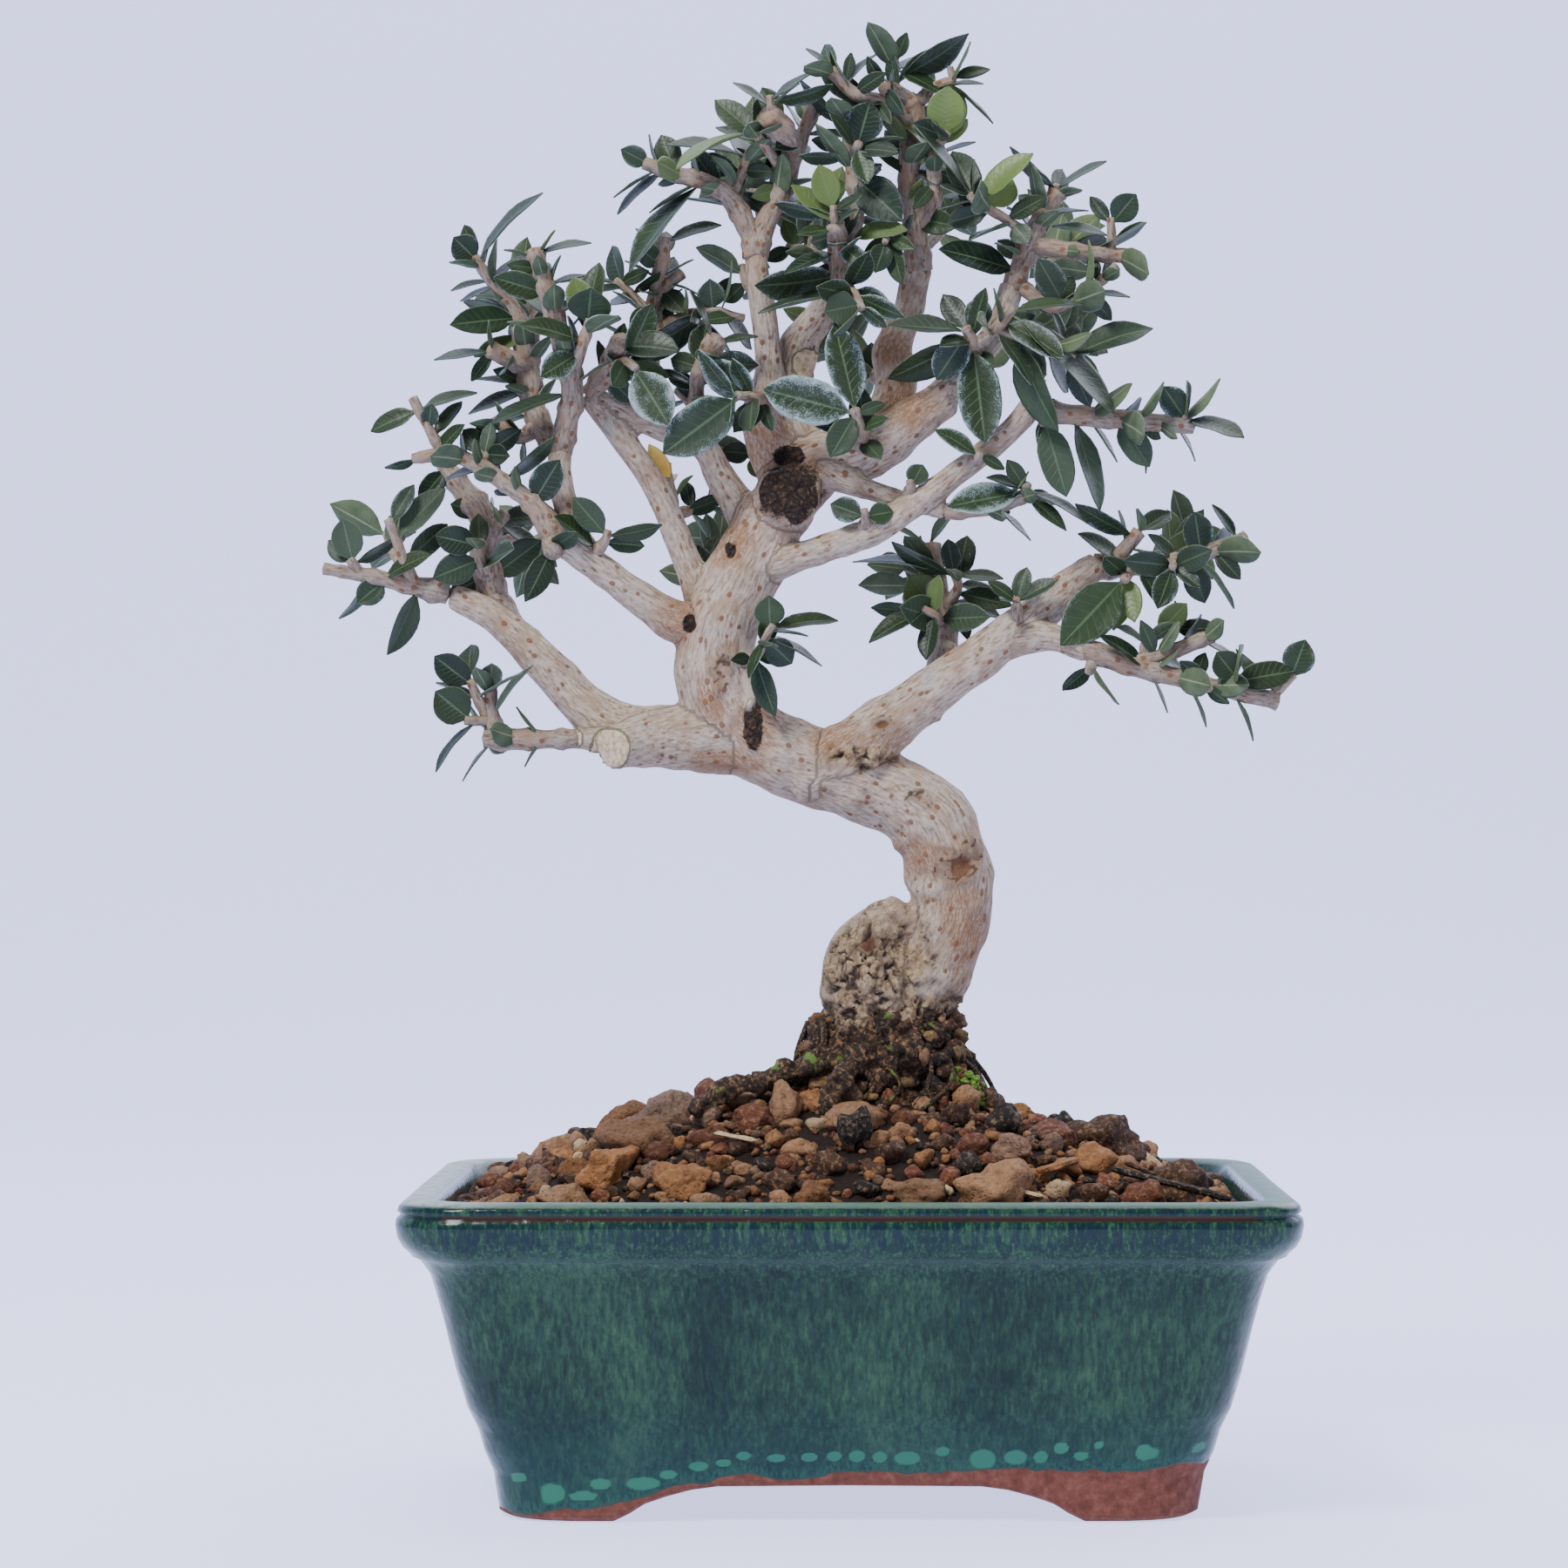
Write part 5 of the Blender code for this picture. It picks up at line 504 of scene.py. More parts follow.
leaves 61 200 47.2 206.2 3.6 -3, 59 194.4 47.6 199.8 3.4 -5, 68.6 195 62.4 199.8 2.8 -3,
  73.4 196 72.2 204.6 6.2 -2, 81 198.8 75.8 206 2.4 1, 76.4 196 81.8 190.4 3.8 -2, 71 194 74.4 185.4 5.6 1,
  68 193 73.4 188.8 3 -3, 67.6 193 64.4 184.2 5.2 -2, 60.4 192.6 65 185 3.4 -2, 58.4 191 55.2 179.6 5 3,
  57.6 190.6 44.2 176.6 10.2 -2
shoot 62 193.6 3 1.4, 66 195 13 1, 71 198 22 0.8
spray_right_limb_leaf
wood 35 180 -2 2.6, 35 184.8 -7 1.1, 35 186.6 -8 0.8
leaves 35 185.6 43.6 190.4 3.2 -2, 34.8 185.8 29 190 2.8 1
spray_right_under
wood 49 176 -8 2.5, 60 172 -9 2.1, 70 169.6 -9 1.9, 80 167 -8 1.7, 89.6 165 -7 1.8
wood 58 172.6 -9 1.6, 66 174.8 -8 1.5, 76 178.6 -7 1.6
wood 88 165.6 -7 1.1, 93.2 170.4 -8 0.8
wood 51.6 175 -8 1.5, 50 170.6 -9 0.8
wood 62 173 -9 1.2, 62.4 178 -6 0.9, 68.4 180.4 -3 0.8
wood 78 167.6 -8 1.1, 82 170 -12 0.8
leaves 93 170.2 95.4 177.8 6.6 -1, 89.2 167 80.8 175.8 2.4 2, 81.6 169.6 76.8 175.2 6 -1,
  75 168.6 69 173.4 3.6 -3, 72 169.6 74.4 175 3.4 3, 64 174.4 61 181.8 3.4 -3, 62.6 172.2 52.6 178.8 3 -4,
  64 178.8 70.6 185.4 5.2 1, 68 180.2 77.2 180.2 4.2 2, 74 168 79.4 164.4 2.6 -3
spray_right_stub
wood 19.8 176.2 6 3, 18.4 186 8 2.8, 16.6 197.4 11 2.3
wood 19 183 8 1.6, 22.6 188.6 4 1.1, 21.6 192.4 3 0.9
wood 18.8 181.6 7 1.5, 18.4 182.6 0 1, 15.4 184.4 -3 0.8
leaves 15.6 184.2 4.6 184.8 3.2 3, 16 184 4 177.4 3.6 -3, 18.2 182.8 12.6 191.2 8.4 0,
  21.4 191.6 8.8 198.2 3 -3, 20.6 190.6 0.8 195 2.4 3, 21.6 192.4 20.6 198.8 4 1,
  22 191.6 32.2 190.4 2.6 -3, 22 187.6 34.2 184.6 4.6 -2, 22.4 189.2 31 187.4 2.8 5,
  21 186.4 25 177.8 3.4 -3
shoot 18.6 185 8 1.5, 14 189 19 1.1, 12 193 28 0.8
"""


def read_picked(table):
    """Paths of the trunk and the limbs, and the sprays by name, each with its wood, leaves and shoots."""
    found = {"trunk": [], "limb": []}
    sprays = {}
    spray = None
    for line in table.replace("\n  ", " ").strip().splitlines():
        kind, _, text = line.partition(" ")
        if kind == "#":
            continue
        if not text:
            spray = sprays[kind] = {"wood": [], "leaves": [], "shoots": []}
            continue
        rows = [tuple(float(number) for number in row.split()) for row in text.split(",")]
        if kind == "leaves":
            spray["leaves"] += rows
        elif kind in found:
            found[kind].append(rows)
        else:
            spray["wood" if kind == "wood" else "shoots"].append(rows)
    return found["trunk"], found["limb"], sprays


TRUNK_PATHS, LIMB_PATHS, SPRAYS = read_picked(PICKED)
print("sprays", len(SPRAYS), "picked leaves", sum(len(spray["leaves"]) for spray in SPRAYS.values()))


# %% [markdown]
# ## Wood
# Every limb is a profile carried along its picked path: centre C(s) and radius r(s) on a smooth curve,
# and the skin is C(s) + r(s) (cos a N(s) + sin a B(s)). The trunk and its limbs melt into one skin, which
# is then pushed in and out along its normals by noise stretched along the grain, by knots and by crusts.

# %% Curves and swept skins
def ring_quads(count, ring):
    """Four-cornered faces between each two of many closed rings with equal point counts."""
    i, k = np.meshgrid(np.arange(count - 1), np.arange(ring), indexing="ij")
    n = (k + 1) % ring
    return np.stack([i * ring + k, i * ring + n, (i + 1) * ring + n, (i + 1) * ring + k], -1).reshape(-1, 4)


def split_faces(quads, triangles):
    """Quads as pairs of triangles, together with the triangles."""
    return np.vstack([quads[:, [0, 1, 2]], quads[:, [0, 2, 3]], triangles])


def joined(skins):
    """Many skins, each its points and faces, as one."""
    starts = np.cumsum([0] + [len(verts) for verts, _ in skins])
    return (np.vstack([verts for verts, _ in skins]),
            np.vstack([faces + start for (_, faces), start in zip(skins, starts)]))


def run_along(centres):
    """Length of the way along a path up to each of its points."""
    return np.concatenate([[0], np.cumsum(np.linalg.norm(np.diff(centres, axis=0), axis=1))])


def smooth_path(path, between):
    """Centres and radii along a picked path, with points added on a Catmull-Rom curve."""
    knots = np.array([(*seen(x, z, y), r) for x, z, y, r in path])
    ends = np.vstack([2 * knots[0] - knots[1], knots, 2 * knots[-1] - knots[-2]])
    a, b, c, d = ends[:-3, None], ends[1:-2, None], ends[2:-1, None], ends[3:, None]
    t = (np.arange(between) / between)[None, :, None]
    curve = 0.5 * (2 * b + (c - a) * t + (2 * a - 5 * b + 4 * c - d) * t * t
                   + (3 * b - a - 3 * c + d) * t ** 3)
    curve = np.vstack([curve.reshape(-1, 4), knots[-1]])
    return curve[:, :3], curve[:, 3]


def path_frames(centres):
    """Tangent and two cross directions at each centre, carried on without twist."""
    along = np.gradient(centres, axis=0)
    along /= np.linalg.norm(along, axis=1)[:, None]
    across = np.array(Vector(along[0]).orthogonal().normalized())
    first = []
    for direction in along:
        across = across - direction * across.dot(direction)
        across = across / np.linalg.norm(across)
        first.append(across)
    first = np.array(first)
    return along, first, np.cross(along, first)


def sweep(centres, radii, sides, uneven=0.0, seed=0):
    """A closed skin: rings of radius r(s)(1 + noise) round the centres, with a point at each end."""
    along, first, second = path_frames(centres)
    angle = np.linspace(0, 2 * math.pi, sides, endpoint=False)[None, :, None]
    around = np.cos(angle) * first[:, None] + np.sin(angle) * second[:, None]
    reach = np.tile(np.asarray(radii)[:, None], (1, sides))
    if uneven:
        reach = reach * (1 + uneven * noise3(centres[:, None] * 0.35 + around * 1.3, seed))
    rings = centres[:, None] + around * reach[..., None]
    verts = np.vstack([rings.reshape(-1, 3), centres[:1] - along[:1] * radii[0] * 0.25,
                       centres[-1:] + along[-1:] * radii[-1] * 0.25])
    count = len(centres)
    k = np.arange(sides)
    n = (k + 1) % sides
    top = (count - 1) * sides
    low_end = np.stack([np.full(sides, count * sides), n, k], -1)
    high_end = np.stack([np.full(sides, count * sides + 1), top + k, top + n], -1)
    return verts, split_faces(ring_quads(count, sides), np.vstack([low_end, high_end]))


# How far in radii a limb's bark reaches, how far along the pattern the next limb starts, and points a step
LIMB_REACH = 2.2
LIMB_SHIFT = 37.0
POINTS_AT_ONCE = 20000


def limb_values(points, curves):
    """For each point its place in limb space: length along the nearest limb, and the offset across."""
    best = np.full(len(points), 1e9)
    place = np.zeros((len(points), 3))
    for number, (centres, radii) in enumerate(curves):
        reach = radii.max() * LIMB_REACH
        low, high = centres.min(axis=0) - reach, centres.max(axis=0) + reach
        inside = np.nonzero(np.all((points > low) & (points < high), axis=1))[0]
        if not len(inside):
            continue
        along, first, second = path_frames(centres)
        run = run_along(centres)
        for chunk in np.array_split(inside, max(1, len(inside) // POINTS_AT_ONCE)):
            offset = points[chunk][:, None] - centres[None]
            away = np.linalg.norm(offset, axis=2) / radii[None]
            near = away.argmin(axis=1)
            rows = np.arange(len(chunk))
            score = away[rows, near]
            better = score < best[chunk]
            pick = chunk[better]
            near = near[better]
            off = offset[rows[better], near]
            best[pick] = score[better]
            place[pick, 0] = run[near] + np.einsum("ij,ij->i", off, along[near]) + LIMB_SHIFT * number
            place[pick, 1] = np.einsum("ij,ij->i", off, first[near])
            place[pick, 2] = np.einsum("ij,ij->i", off, second[near])
    return place


def seen_from_front(points):
    """Back from millimetres to picked places: the inverse of `seen`."""
    k = VIEW_DISTANCE / (VIEW_DISTANCE + points[:, 1])
    return points[:, 0] * k, EYE_HEIGHT + (points[:, 2] - EYE_HEIGHT) * k


# %% [markdown]
# ## Marks in the bark
# Old cuts, knots, dark crusts and collars, each at its picked place with its half width and half height.
# A cut is a shallow dish with a raised rim; a crust is rough and dark; a knot is an eye with a slit.

# %% Marks and the wood's skin
CUTS = [
    (-50, 155, 4.2, 4.4), (-62, 196, 2.0, 2.4), (-47.5, 240, 2.3, 2.3), (-9, 235.5, 3.2, 3.2),
    (-58, 157, 2.2, 2.4),
]
KNOTS = [(23, 131, 4.4, 4.0), (14.5, 145, 2.2, 1.8), (4, 114, 3.2, 2.6), (-27, 171, 2.6, 3.4),
         (7, 160, 2.2, 1.6)]
CRUSTS = [(-12.5, 208.5, 6.2, 6.4), (-13, 216.5, 3.5, 2.5), (-27.5, 241, 3, 4), (-20, 160, 2.2, 6.0),
          (-25, 196.5, 1.2, 1.6), (-33.4, 181, 1.4, 2.0)]
BURLS = [(4, 109, 14, 14), (2, 99, 12, 7), (17, 100, 9, 5), (20, 158, 3, 4), (2, 153, 9, 2.6)]
BROWNS = [
    (-18, 220, 6, 7), (9, 239, 5, 4), (-36, 182, 5, 7), (-25, 198, 5, 6), (-3, 157, 6, 4), (8, 156, 9, 4),
    (-19.5, 161, 4.5, 10), (14, 132, 9, 4), (-12.5, 208.5, 8, 8), (12, 227, 6, 5), (24, 118, 5, 12),
    (-29, 166, 3, 6), (-26, 152, 9, 3), (23, 131, 5, 5), (15, 131.5, 5, 2),
]
PALE = [(-21, 175, 2.4, 3.0), (-21, 168, 1.6, 5.0)]
MARK_EDGE = 1.45
WOOD_VOXEL = 0.75


def mark_depth(points, facing, marks, ragged=0.28):
    """Largest closeness to any mark, 0 outside and MARK_EDGE in its middle, on the side facing the view."""
    x, z = seen_from_front(points)
    close = np.zeros(len(points))
    wobble = noise3(points * 0.45, 91) * ragged
    for mx, mz, wide, high in marks:
        away = np.sqrt(((x - mx) / wide) ** 2 + ((z - mz) / high) ** 2)
        close = np.maximum(close, MARK_EDGE - away - wobble)
    return np.clip(close, 0, MARK_EDGE) * soft_step(0.25, -0.2, facing)


def melt(name, curves, sides, voxel):
    """One skin round many tubes, by a fine voxel grid."""
    verts, faces = joined([sweep(*curve, sides, 0.10, number) for number, curve in enumerate(curves)])
    mesh = bpy.data.meshes.new(name)
    mesh.from_pydata(verts.tolist(), [], faces.tolist())
    item = add_object(name, mesh)
    grid = item.modifiers.new("melt", "REMESH")
    grid.mode = "VOXEL"
    grid.voxel_size = voxel
    soften = item.modifiers.new("soften", "SMOOTH")
    soften.factor = 0.6
    soften.iterations = 3
    graph = bpy.context.evaluated_depsgraph_get()
    melted = bpy.data.meshes.new_from_object(item.evaluated_get(graph))
    bpy.data.objects.remove(item)
    bpy.data.meshes.remove(mesh)
    return melted


def build_wood(material):
    """Trunk and limbs in one skin with bark relief."""
    curves = [smooth_path(path, 6) for path in TRUNK_PATHS + LIMB_PATHS]
    mesh = melt("bark_skin", curves, 20, WOOD_VOXEL)
    points, normals = read_points(mesh)
    place = limb_values(points, curves)
    facing = normals[:, 1]
    crust = mark_depth(points, facing, CRUSTS)
    knot = mark_depth(points, facing, KNOTS, 0.6)
    cut = mark_depth(points, facing, CUTS, 0.04)
    pale = mark_depth(points, facing, PALE)
    burl = soft_step(0.2, 0.9, mark_depth(points, facing, BURLS))
    foot = soft_step(105.0, 95.0, points[:, 2] + 5.0 * noise3(points * 0.16, 2))
    crackle = np.exp(-(layers(points * 0.33, 3, 17) / 0.13) ** 2)
    grain = place * (0.10, 0.75, 0.75)
    size = np.clip(np.linalg.norm(place[:, 1:], axis=1) / 8.0, 0.25, 1.0)
    relief = 0.42 * size * layers(points * 0.11, 2, 3)
    relief += 0.16 * size * layers(grain, 3, 5)
    relief += 0.75 * soft_step(0.2, 0.9, crust) * layers(points * 0.55, 3, 9)
    relief += burl * (1.7 * layers(points * 0.24, 3, 13) - 1.5 * crackle)
    relief += foot * (1.5 * layers(points * 0.28, 4, 15) - 0.5 * crackle)
    lobes = 0.5 + 0.9 * layers(points * 0.55, 2, 21)
    relief += 1.3 * lobes * np.exp(-((knot - 0.50) / 0.20) ** 2) - 1.0 * soft_step(0.85, 1.4, knot)
    crackle = np.maximum(crackle, soft_step(0.2, 0.5, knot) * np.exp(-((lobes - 0.32) / 0.12) ** 2))
    relief += 0.35 * np.exp(-((cut - 0.45) / 0.12) ** 2) - 0.35 * soft_step(0.6, 0.9, cut)
    points = points + normals * relief[:, None]
    mesh.vertices.foreach_set("co", placed(points).astype(np.float32).ravel())
    mesh.update()
    for face in mesh.polygons:
        face.use_smooth = True
    wood = add_object("wood", mesh)
    mesh.materials.clear()
    mesh.materials.append(material)
    set_values(mesh, limb=place, crust=soft_step(0.15, 0.8, crust), knot=knot / MARK_EDGE,
               cut=soft_step(0.42, 0.55, cut) * (0.5 + 0.5 * cut / MARK_EDGE),
               pale=soft_step(0.3, 0.7, pale), burl=burl, crackle=crackle,
               brown=soft_step(0.0, 0.9, mark_depth(points, facing, BROWNS)), foot=foot)
    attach(wood, "root")
    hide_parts("trunk")
    print("wood", len(mesh.polygons), "faces")
    return wood


# %% [markdown]
# ## Where the leaves stand
# A leaf is a base, a tip, a width and a normal. Each is tried against the wood and the leaves already
# placed, and its tip is moved back or forth until it stands clear, just as the solids were made.

# %% Places for the leaves
LEAF_STATIONS = ((0.44, 1.0), (0.78, 0.74))
LEAF_THICK = 1.4
LEAF_ARCH = 0.05
LEAF_MIN_SHAPE = 0.40
LEAF_FREE = 0.45
LEAF_SUNK = 0.7
LEAF_INSET = 1.3
LEAF_BENDS = (0.0, -2.0, 2.0, -4.0, 4.0, -6.5, 6.5, -9.0, 9.0, -12.0, 12.0)
SHOOT_PAIRS = (0.62, 1.0)
SHOOT_ANGLES = (52.0, 66.0, 40.0, 78.0)
SHOOT_LEAF_LENGTH = (8.5, 14.5)
SHOOT_SEED = 5
# Small leaves between the others: from this share of a twig on, a pair at every step of millimetres,
# where the twig's radius is no more than this
FILL_START = 0.3
FILL_STEP = 4.6
FILL_TWIG = 3.0
FILL_LENGTH = (7.0, 14.0)
FILL_ANGLES = (52.0, 70.0, 36.0, 84.0)
FILL_REACH = 80.0
TRUNK_SIDES = 9
LIMB_SIDES = 6
TWIG_SIDES = 4


def plain_tube(path, sides):
    """The plain closed tube of the solids, used to keep leaves clear of wood."""
    centres, radii = smooth_path(path, 1)
    along = [Vector(c) for c in centres]
    last = len(along) - 1
    across, rings = None, []
    for i, centre in enumerate(along):
        direction = (along[min(i + 1, last)] - along[max(i - 1, 0)]).normalized()
        across = direction.orthogonal().normalized() if across is None else across
        across = (across - direction * across.dot(direction)).normalized()
        other = direction.cross(across)
        rings.append([centre + float(radii[i]) * (math.cos(a) * across + math.sin(a) * other)
                      for a in (2 * math.pi * k / sides for k in range(sides))])
    verts = [point for ring in rings for point in ring]
    faces = [tuple(reversed(range(sides)))]
    for level in range(last):
        for i in range(sides):
            j = (i + 1) % sides
            a = level * sides
            faces.append((a + i, a + j, a + sides + j, a + sides + i))
    faces.append(tuple(range(last * sides, (last + 1) * sides)))
    return verts, faces


def nearest_on_wood(wood, x, z):
    """The place on a spray's wood that is nearest to (x, z) as seen, with its depth."""
    best = None
    for path in wood:
        for (x0, z0, y0, r0), (x1, z1, y1, r1) in zip(path[:-1], path[1:]):
            length = (x1 - x0) ** 2 + (z1 - z0) ** 2
            t = ((x - x0) * (x1 - x0) + (z - z0) * (z1 - z0)) / length if length else 0.0
            inset = min(0.4, LEAF_INSET / max(math.dist((x0, z0, y0), (x1, z1, y1)), 0.1))
            t = min(1.0 - inset, max(0.0, t))
            px = x0 + t * (x1 - x0)
            pz = z0 + t * (z1 - z0)
            away = math.hypot(x - px, z - pz) - 0.5 * (r0 + t * (r1 - r0))
            if best is None or away < best[0]:
                best = (away, px, pz, y0 + t * (y1 - y0))
    return best


def leaf_frame(base, tip, width, draw):
    """A leaf's true width and its normal, rolled so that it looks as wide as it was picked."""
    along = (tip - base).normalized()
    true_width = max(width, LEAF_MIN_SHAPE * (tip - base).length)
    facing = Vector((0.0, -1.0, 0.0))
    flat = (facing - along * facing.dot(along)).normalized()
    side = along.cross(flat)
    roll = math.acos(min(1.0, width / true_width))
    up = 1.0 if side.z > 0 else -1.0
    if draw > 0.72:
        up = -up
    return true_width, flat * math.cos(roll) + side * (math.sin(roll) * up)


def leaf_mesh(base, tip, width, normal, more=0.0, start=0.0):
    """The plain blade of the solids: two edges and a keel under the midrib."""
    along = (tip - base).normalized()
    length = (tip - base).length
    normal = (normal - along * normal.dot(along)).normalized()
    side = along.cross(normal)
    verts = [base + along * (length * start if start else -LEAF_SUNK)]
    for place, share in LEAF_STATIONS:
        half = width * share / 2 + more
        middle = base + along * (length * place) + normal * (LEAF_ARCH * length * 4 * place * (1 - place))
        edge = middle + normal * (LEAF_THICK / 2 + more)
        verts += [edge - side * half, edge + side * half, middle - normal * (LEAF_THICK / 2 + more)]
    verts.append(tip + along * more)
    faces = []
    for k in range(3):
        m = (k + 1) % 3
        faces += [(0, 1 + k, 1 + m), (1 + k, 4 + k, 4 + m), (1 + k, 4 + m, 1 + m), (4 + k, 7, 4 + m)]
    return verts, faces


def tree_of(verts, faces):
    """A search tree that finds crossings of a closed mesh."""
    return BVHTree.FromPolygons([tuple(v) for v in verts], faces)


def ball_round(verts):
    """Middle and radius of a ball round the points."""
    centre = sum((Vector(v) for v in verts), Vector()) / len(verts)
    return centre, max((Vector(v) - centre).length for v in verts)


def remember(space, node, verts, faces, bare=None):
    """Add a closed mesh to the space. bare is a leaf without the part next to its twig."""
    space.append((node, *ball_round(verts), tree_of(verts, faces), tree_of(*bare) if bare else None))


def stands_clear(space, node, base, tip, width, normal):
    """True, and remembered, when the leaf crosses no other node and no blade of its own node."""
    wide = leaf_mesh(base, tip, width, normal, more=LEAF_FREE)
    bare = leaf_mesh(base, tip, width, normal, start=0.3)
    centre, reach = ball_round(wide[0])
    tree, bare_tree = tree_of(*wide), tree_of(*bare)
    for other, middle, radius, other_tree, other_bare in space:
        if (middle - centre).length >= radius + reach:
            continue
        if other != node:
            if tree.overlap(other_tree):
                return False
        elif other_bare is not None and bare_tree.overlap(other_bare):
            return False
    remember(space, node, *leaf_mesh(base, tip, width, normal), bare=bare)
    return True


def picked_leaf(space, node, wood, leaf, draws):
    """A leaf from the table, with its tip moved in depth until it stands clear."""
    x0, z0, x1, z1, width, back = leaf
    _, px, pz, depth = nearest_on_wood(wood, x0, z0)
    root = seen(px, pz, depth)
    draw = draws.random()
    for bend in LEAF_BENDS:
        tip = seen(x1, z1, depth + back + bend)
        true_width, normal = leaf_frame(root, tip, width, draw)
        if stands_clear(space, node, root, tip, true_width, normal):
            return [(root, tip, true_width, normal)]
    return []


def open_leaf(space, node, root, along, out, size, width, angles, shift=0.0):
    """A leaf that opens from its twig by the first of the angles at which it stands clear."""
    for angle in angles:
        open_angle = math.radians(angle + shift)
        direction = along * math.cos(open_angle) + out * math.sin(open_angle)
        normal = along - direction * along.dot(direction)
        if stands_clear(space, node, root, root + direction * size, width, normal):
            return [(root, root + direction * size, width, normal)]
    return []


def shoot_leaves(space, node, path, draws):
    """Leaves in pairs along a twig, each pair a quarter turn on, their upper sides to the twig's tip."""
    made = []
    centres = [Vector(c) for c in smooth_path(path, 1)[0]]
    lengths = [(b - a).length for a, b in zip(centres[:-1], centres[1:])]
    turn = draws.uniform(0.0, math.pi)
    for share in SHOOT_PAIRS:
        left = share * sum(lengths)
        for a, b, length in zip(centres[:-1], centres[1:], lengths):
            if left <= length + 0.01:
                break
            left -= length
        along = (b - a).normalized()
        root = a + along * min(left, length - LEAF_INSET)
        across = along.orthogonal().normalized()
        for half in (0.0, math.pi):
            out = Matrix.Rotation(turn + half, 3, along) @ across
            size = draws.uniform(*SHOOT_LEAF_LENGTH)
            width = size * draws.uniform(0.38, 0.5)
            shift = draws.uniform(-8.0, 8.0)
            made += open_leaf(space, node, root, along, out, size, width, SHOOT_ANGLES, shift)
        turn += math.pi / 2
    return made


def fill_leaves(space, node, path, draws):
    """Small leaves in pairs along the thin part of a twig, wherever one still stands clear."""
    made = []
    centres, radii = smooth_path(path, 4)
    run = run_along(centres)
    turn = draws.uniform(0.0, math.pi)
    for place in np.arange(run[-1] * FILL_START, run[-1] - LEAF_INSET, FILL_STEP):
        i = int(np.searchsorted(run, place))
        turn += math.pi / 2
        if radii[i] > FILL_TWIG or abs(centres[i][0]) > FILL_REACH:
            continue
        along = Vector(centres[i] - centres[i - 1]).normalized()
        root = Vector(centres[i])
        across = along.orthogonal().normalized()
        for half in (0.0, math.pi):
            out = Matrix.Rotation(turn + half + draws.uniform(-0.4, 0.4), 3, along) @ across
            size = draws.uniform(*FILL_LENGTH)
            width = size * draws.uniform(0.36, 0.52)
            made += open_leaf(space, node, root, along, out, size, width, FILL_ANGLES)
    return made


def place_leaves():
    """Every spray's leaves, in the order in which the solids were made, and then small ones between."""
    space = []
    for paths, sides in ((TRUNK_PATHS, TRUNK_SIDES), (LIMB_PATHS, LIMB_SIDES)):
        for path in paths:
            remember(space, "trunk", *plain_tube(path, sides))
    for node, spray in SPRAYS.items():
        for path in spray["wood"] + spray["shoots"]:
            remember(space, node, *plain_tube(path, LIMB_SIDES if path[0][3] > 1.9 else TWIG_SIDES))
    leaves = {node: [] for node in SPRAYS}
    draws = random.Random(SHOOT_SEED)
    for node, spray in SPRAYS.items():
        for leaf in spray["leaves"]:
            leaves[node] += picked_leaf(space, node, spray["wood"], leaf, draws)
    for node, spray in SPRAYS.items():
        for path in spray["shoots"]:
            leaves[node] += shoot_leaves(space, node, path, draws)
    for node, spray in SPRAYS.items():
        for path in spray["wood"] + spray["shoots"]:
            leaves[node] += fill_leaves(space, node, path, draws)
    return leaves


LEAVES = place_leaves()
print("leaves placed", sum(len(made) for made in LEAVES.values()))

# %% [markdown]
# ## Leaf blades
# For a share u along the blade and v across it, the surface is
# P(u, v) = base + u L T + v w(u) S + h(u, v) N, with w(u) = (W / 2)(1 - |2s - 1|^p) over the part s past the
# stalk, and h an arch plus a fold that lifts both edges, plus a small wave along the margin.

# %% Blades
LEAF_ROWS = 13
LEAF_COLUMNS = 7
STALK_SHARE = 0.10
BLADE_THICK = 0.42
TWIG_JOINTS = 6.5
LEAF_HEROES = [
    (-41, 230, 1, 1.0), (-24, 231.5, 1, 0.9), (-9, 228.5, 1, 1.0), (-2.5, 234, 1, 0.8), (27, 228, 1, 0.7),
    (38, 241, 1, 0.8), (27, 209, 1, 1.0), (22, 218, 1, 0.8), (-49, 247, 1, 0.9), (-12, 253.5, 1, 0.7),
    (-2, 258, 1, 0.8), (5, 250, 1, 0.8), (-62, 235, 1, 0.8), (51, 184, 1, 0.35), (-1, 246, 2, 0.6),
    (14, 233, 2, 0.6), (41, 230, 2, 0.3), (-5, 272, 3, 0.7), (20.6, 288, 3, 1.0), (33, 274, 3, 0.8),
    (18, 187, 3, 0.6), (57, 185, 3, 0.7), (-40, 212, 4, 1.0), (40, 215, 2, 0.5), (49, 213, 2, 0.6),
    (59, 217, 2, 0.7), (45, 236, 2, 0.4), (-96, 181, 2, 0.7), (-103, 199, 2, 0.6), (-89, 205, 2, 0.6),
]


def leaf_kind(base, tip, draws):
    """Powder, greyness, youth and yellowness of a leaf, by the picked leaf that it lies on or by lot."""
    (x,), (z,) = seen_from_front(np.array([(base + tip) / 2]))
    tone = [draws.uniform(0.0, 0.7) ** 1.4, draws.uniform(0.0, 0.4), draws.uniform(0.0, 0.12), 0.0]
    if draws.random() < 0.07:
        tone[2] = draws.uniform(0.3, 0.7)
    near = [(math.hypot(x - hx, z - hz), kind, much) for hx, hz, kind, much in LEAF_HEROES]
    away, kind, much = min(near)
    if away < 4.5:
        tone = [0.1, 0.1, 0.1, 0.0]
        tone[kind - 1] = much
    return tone


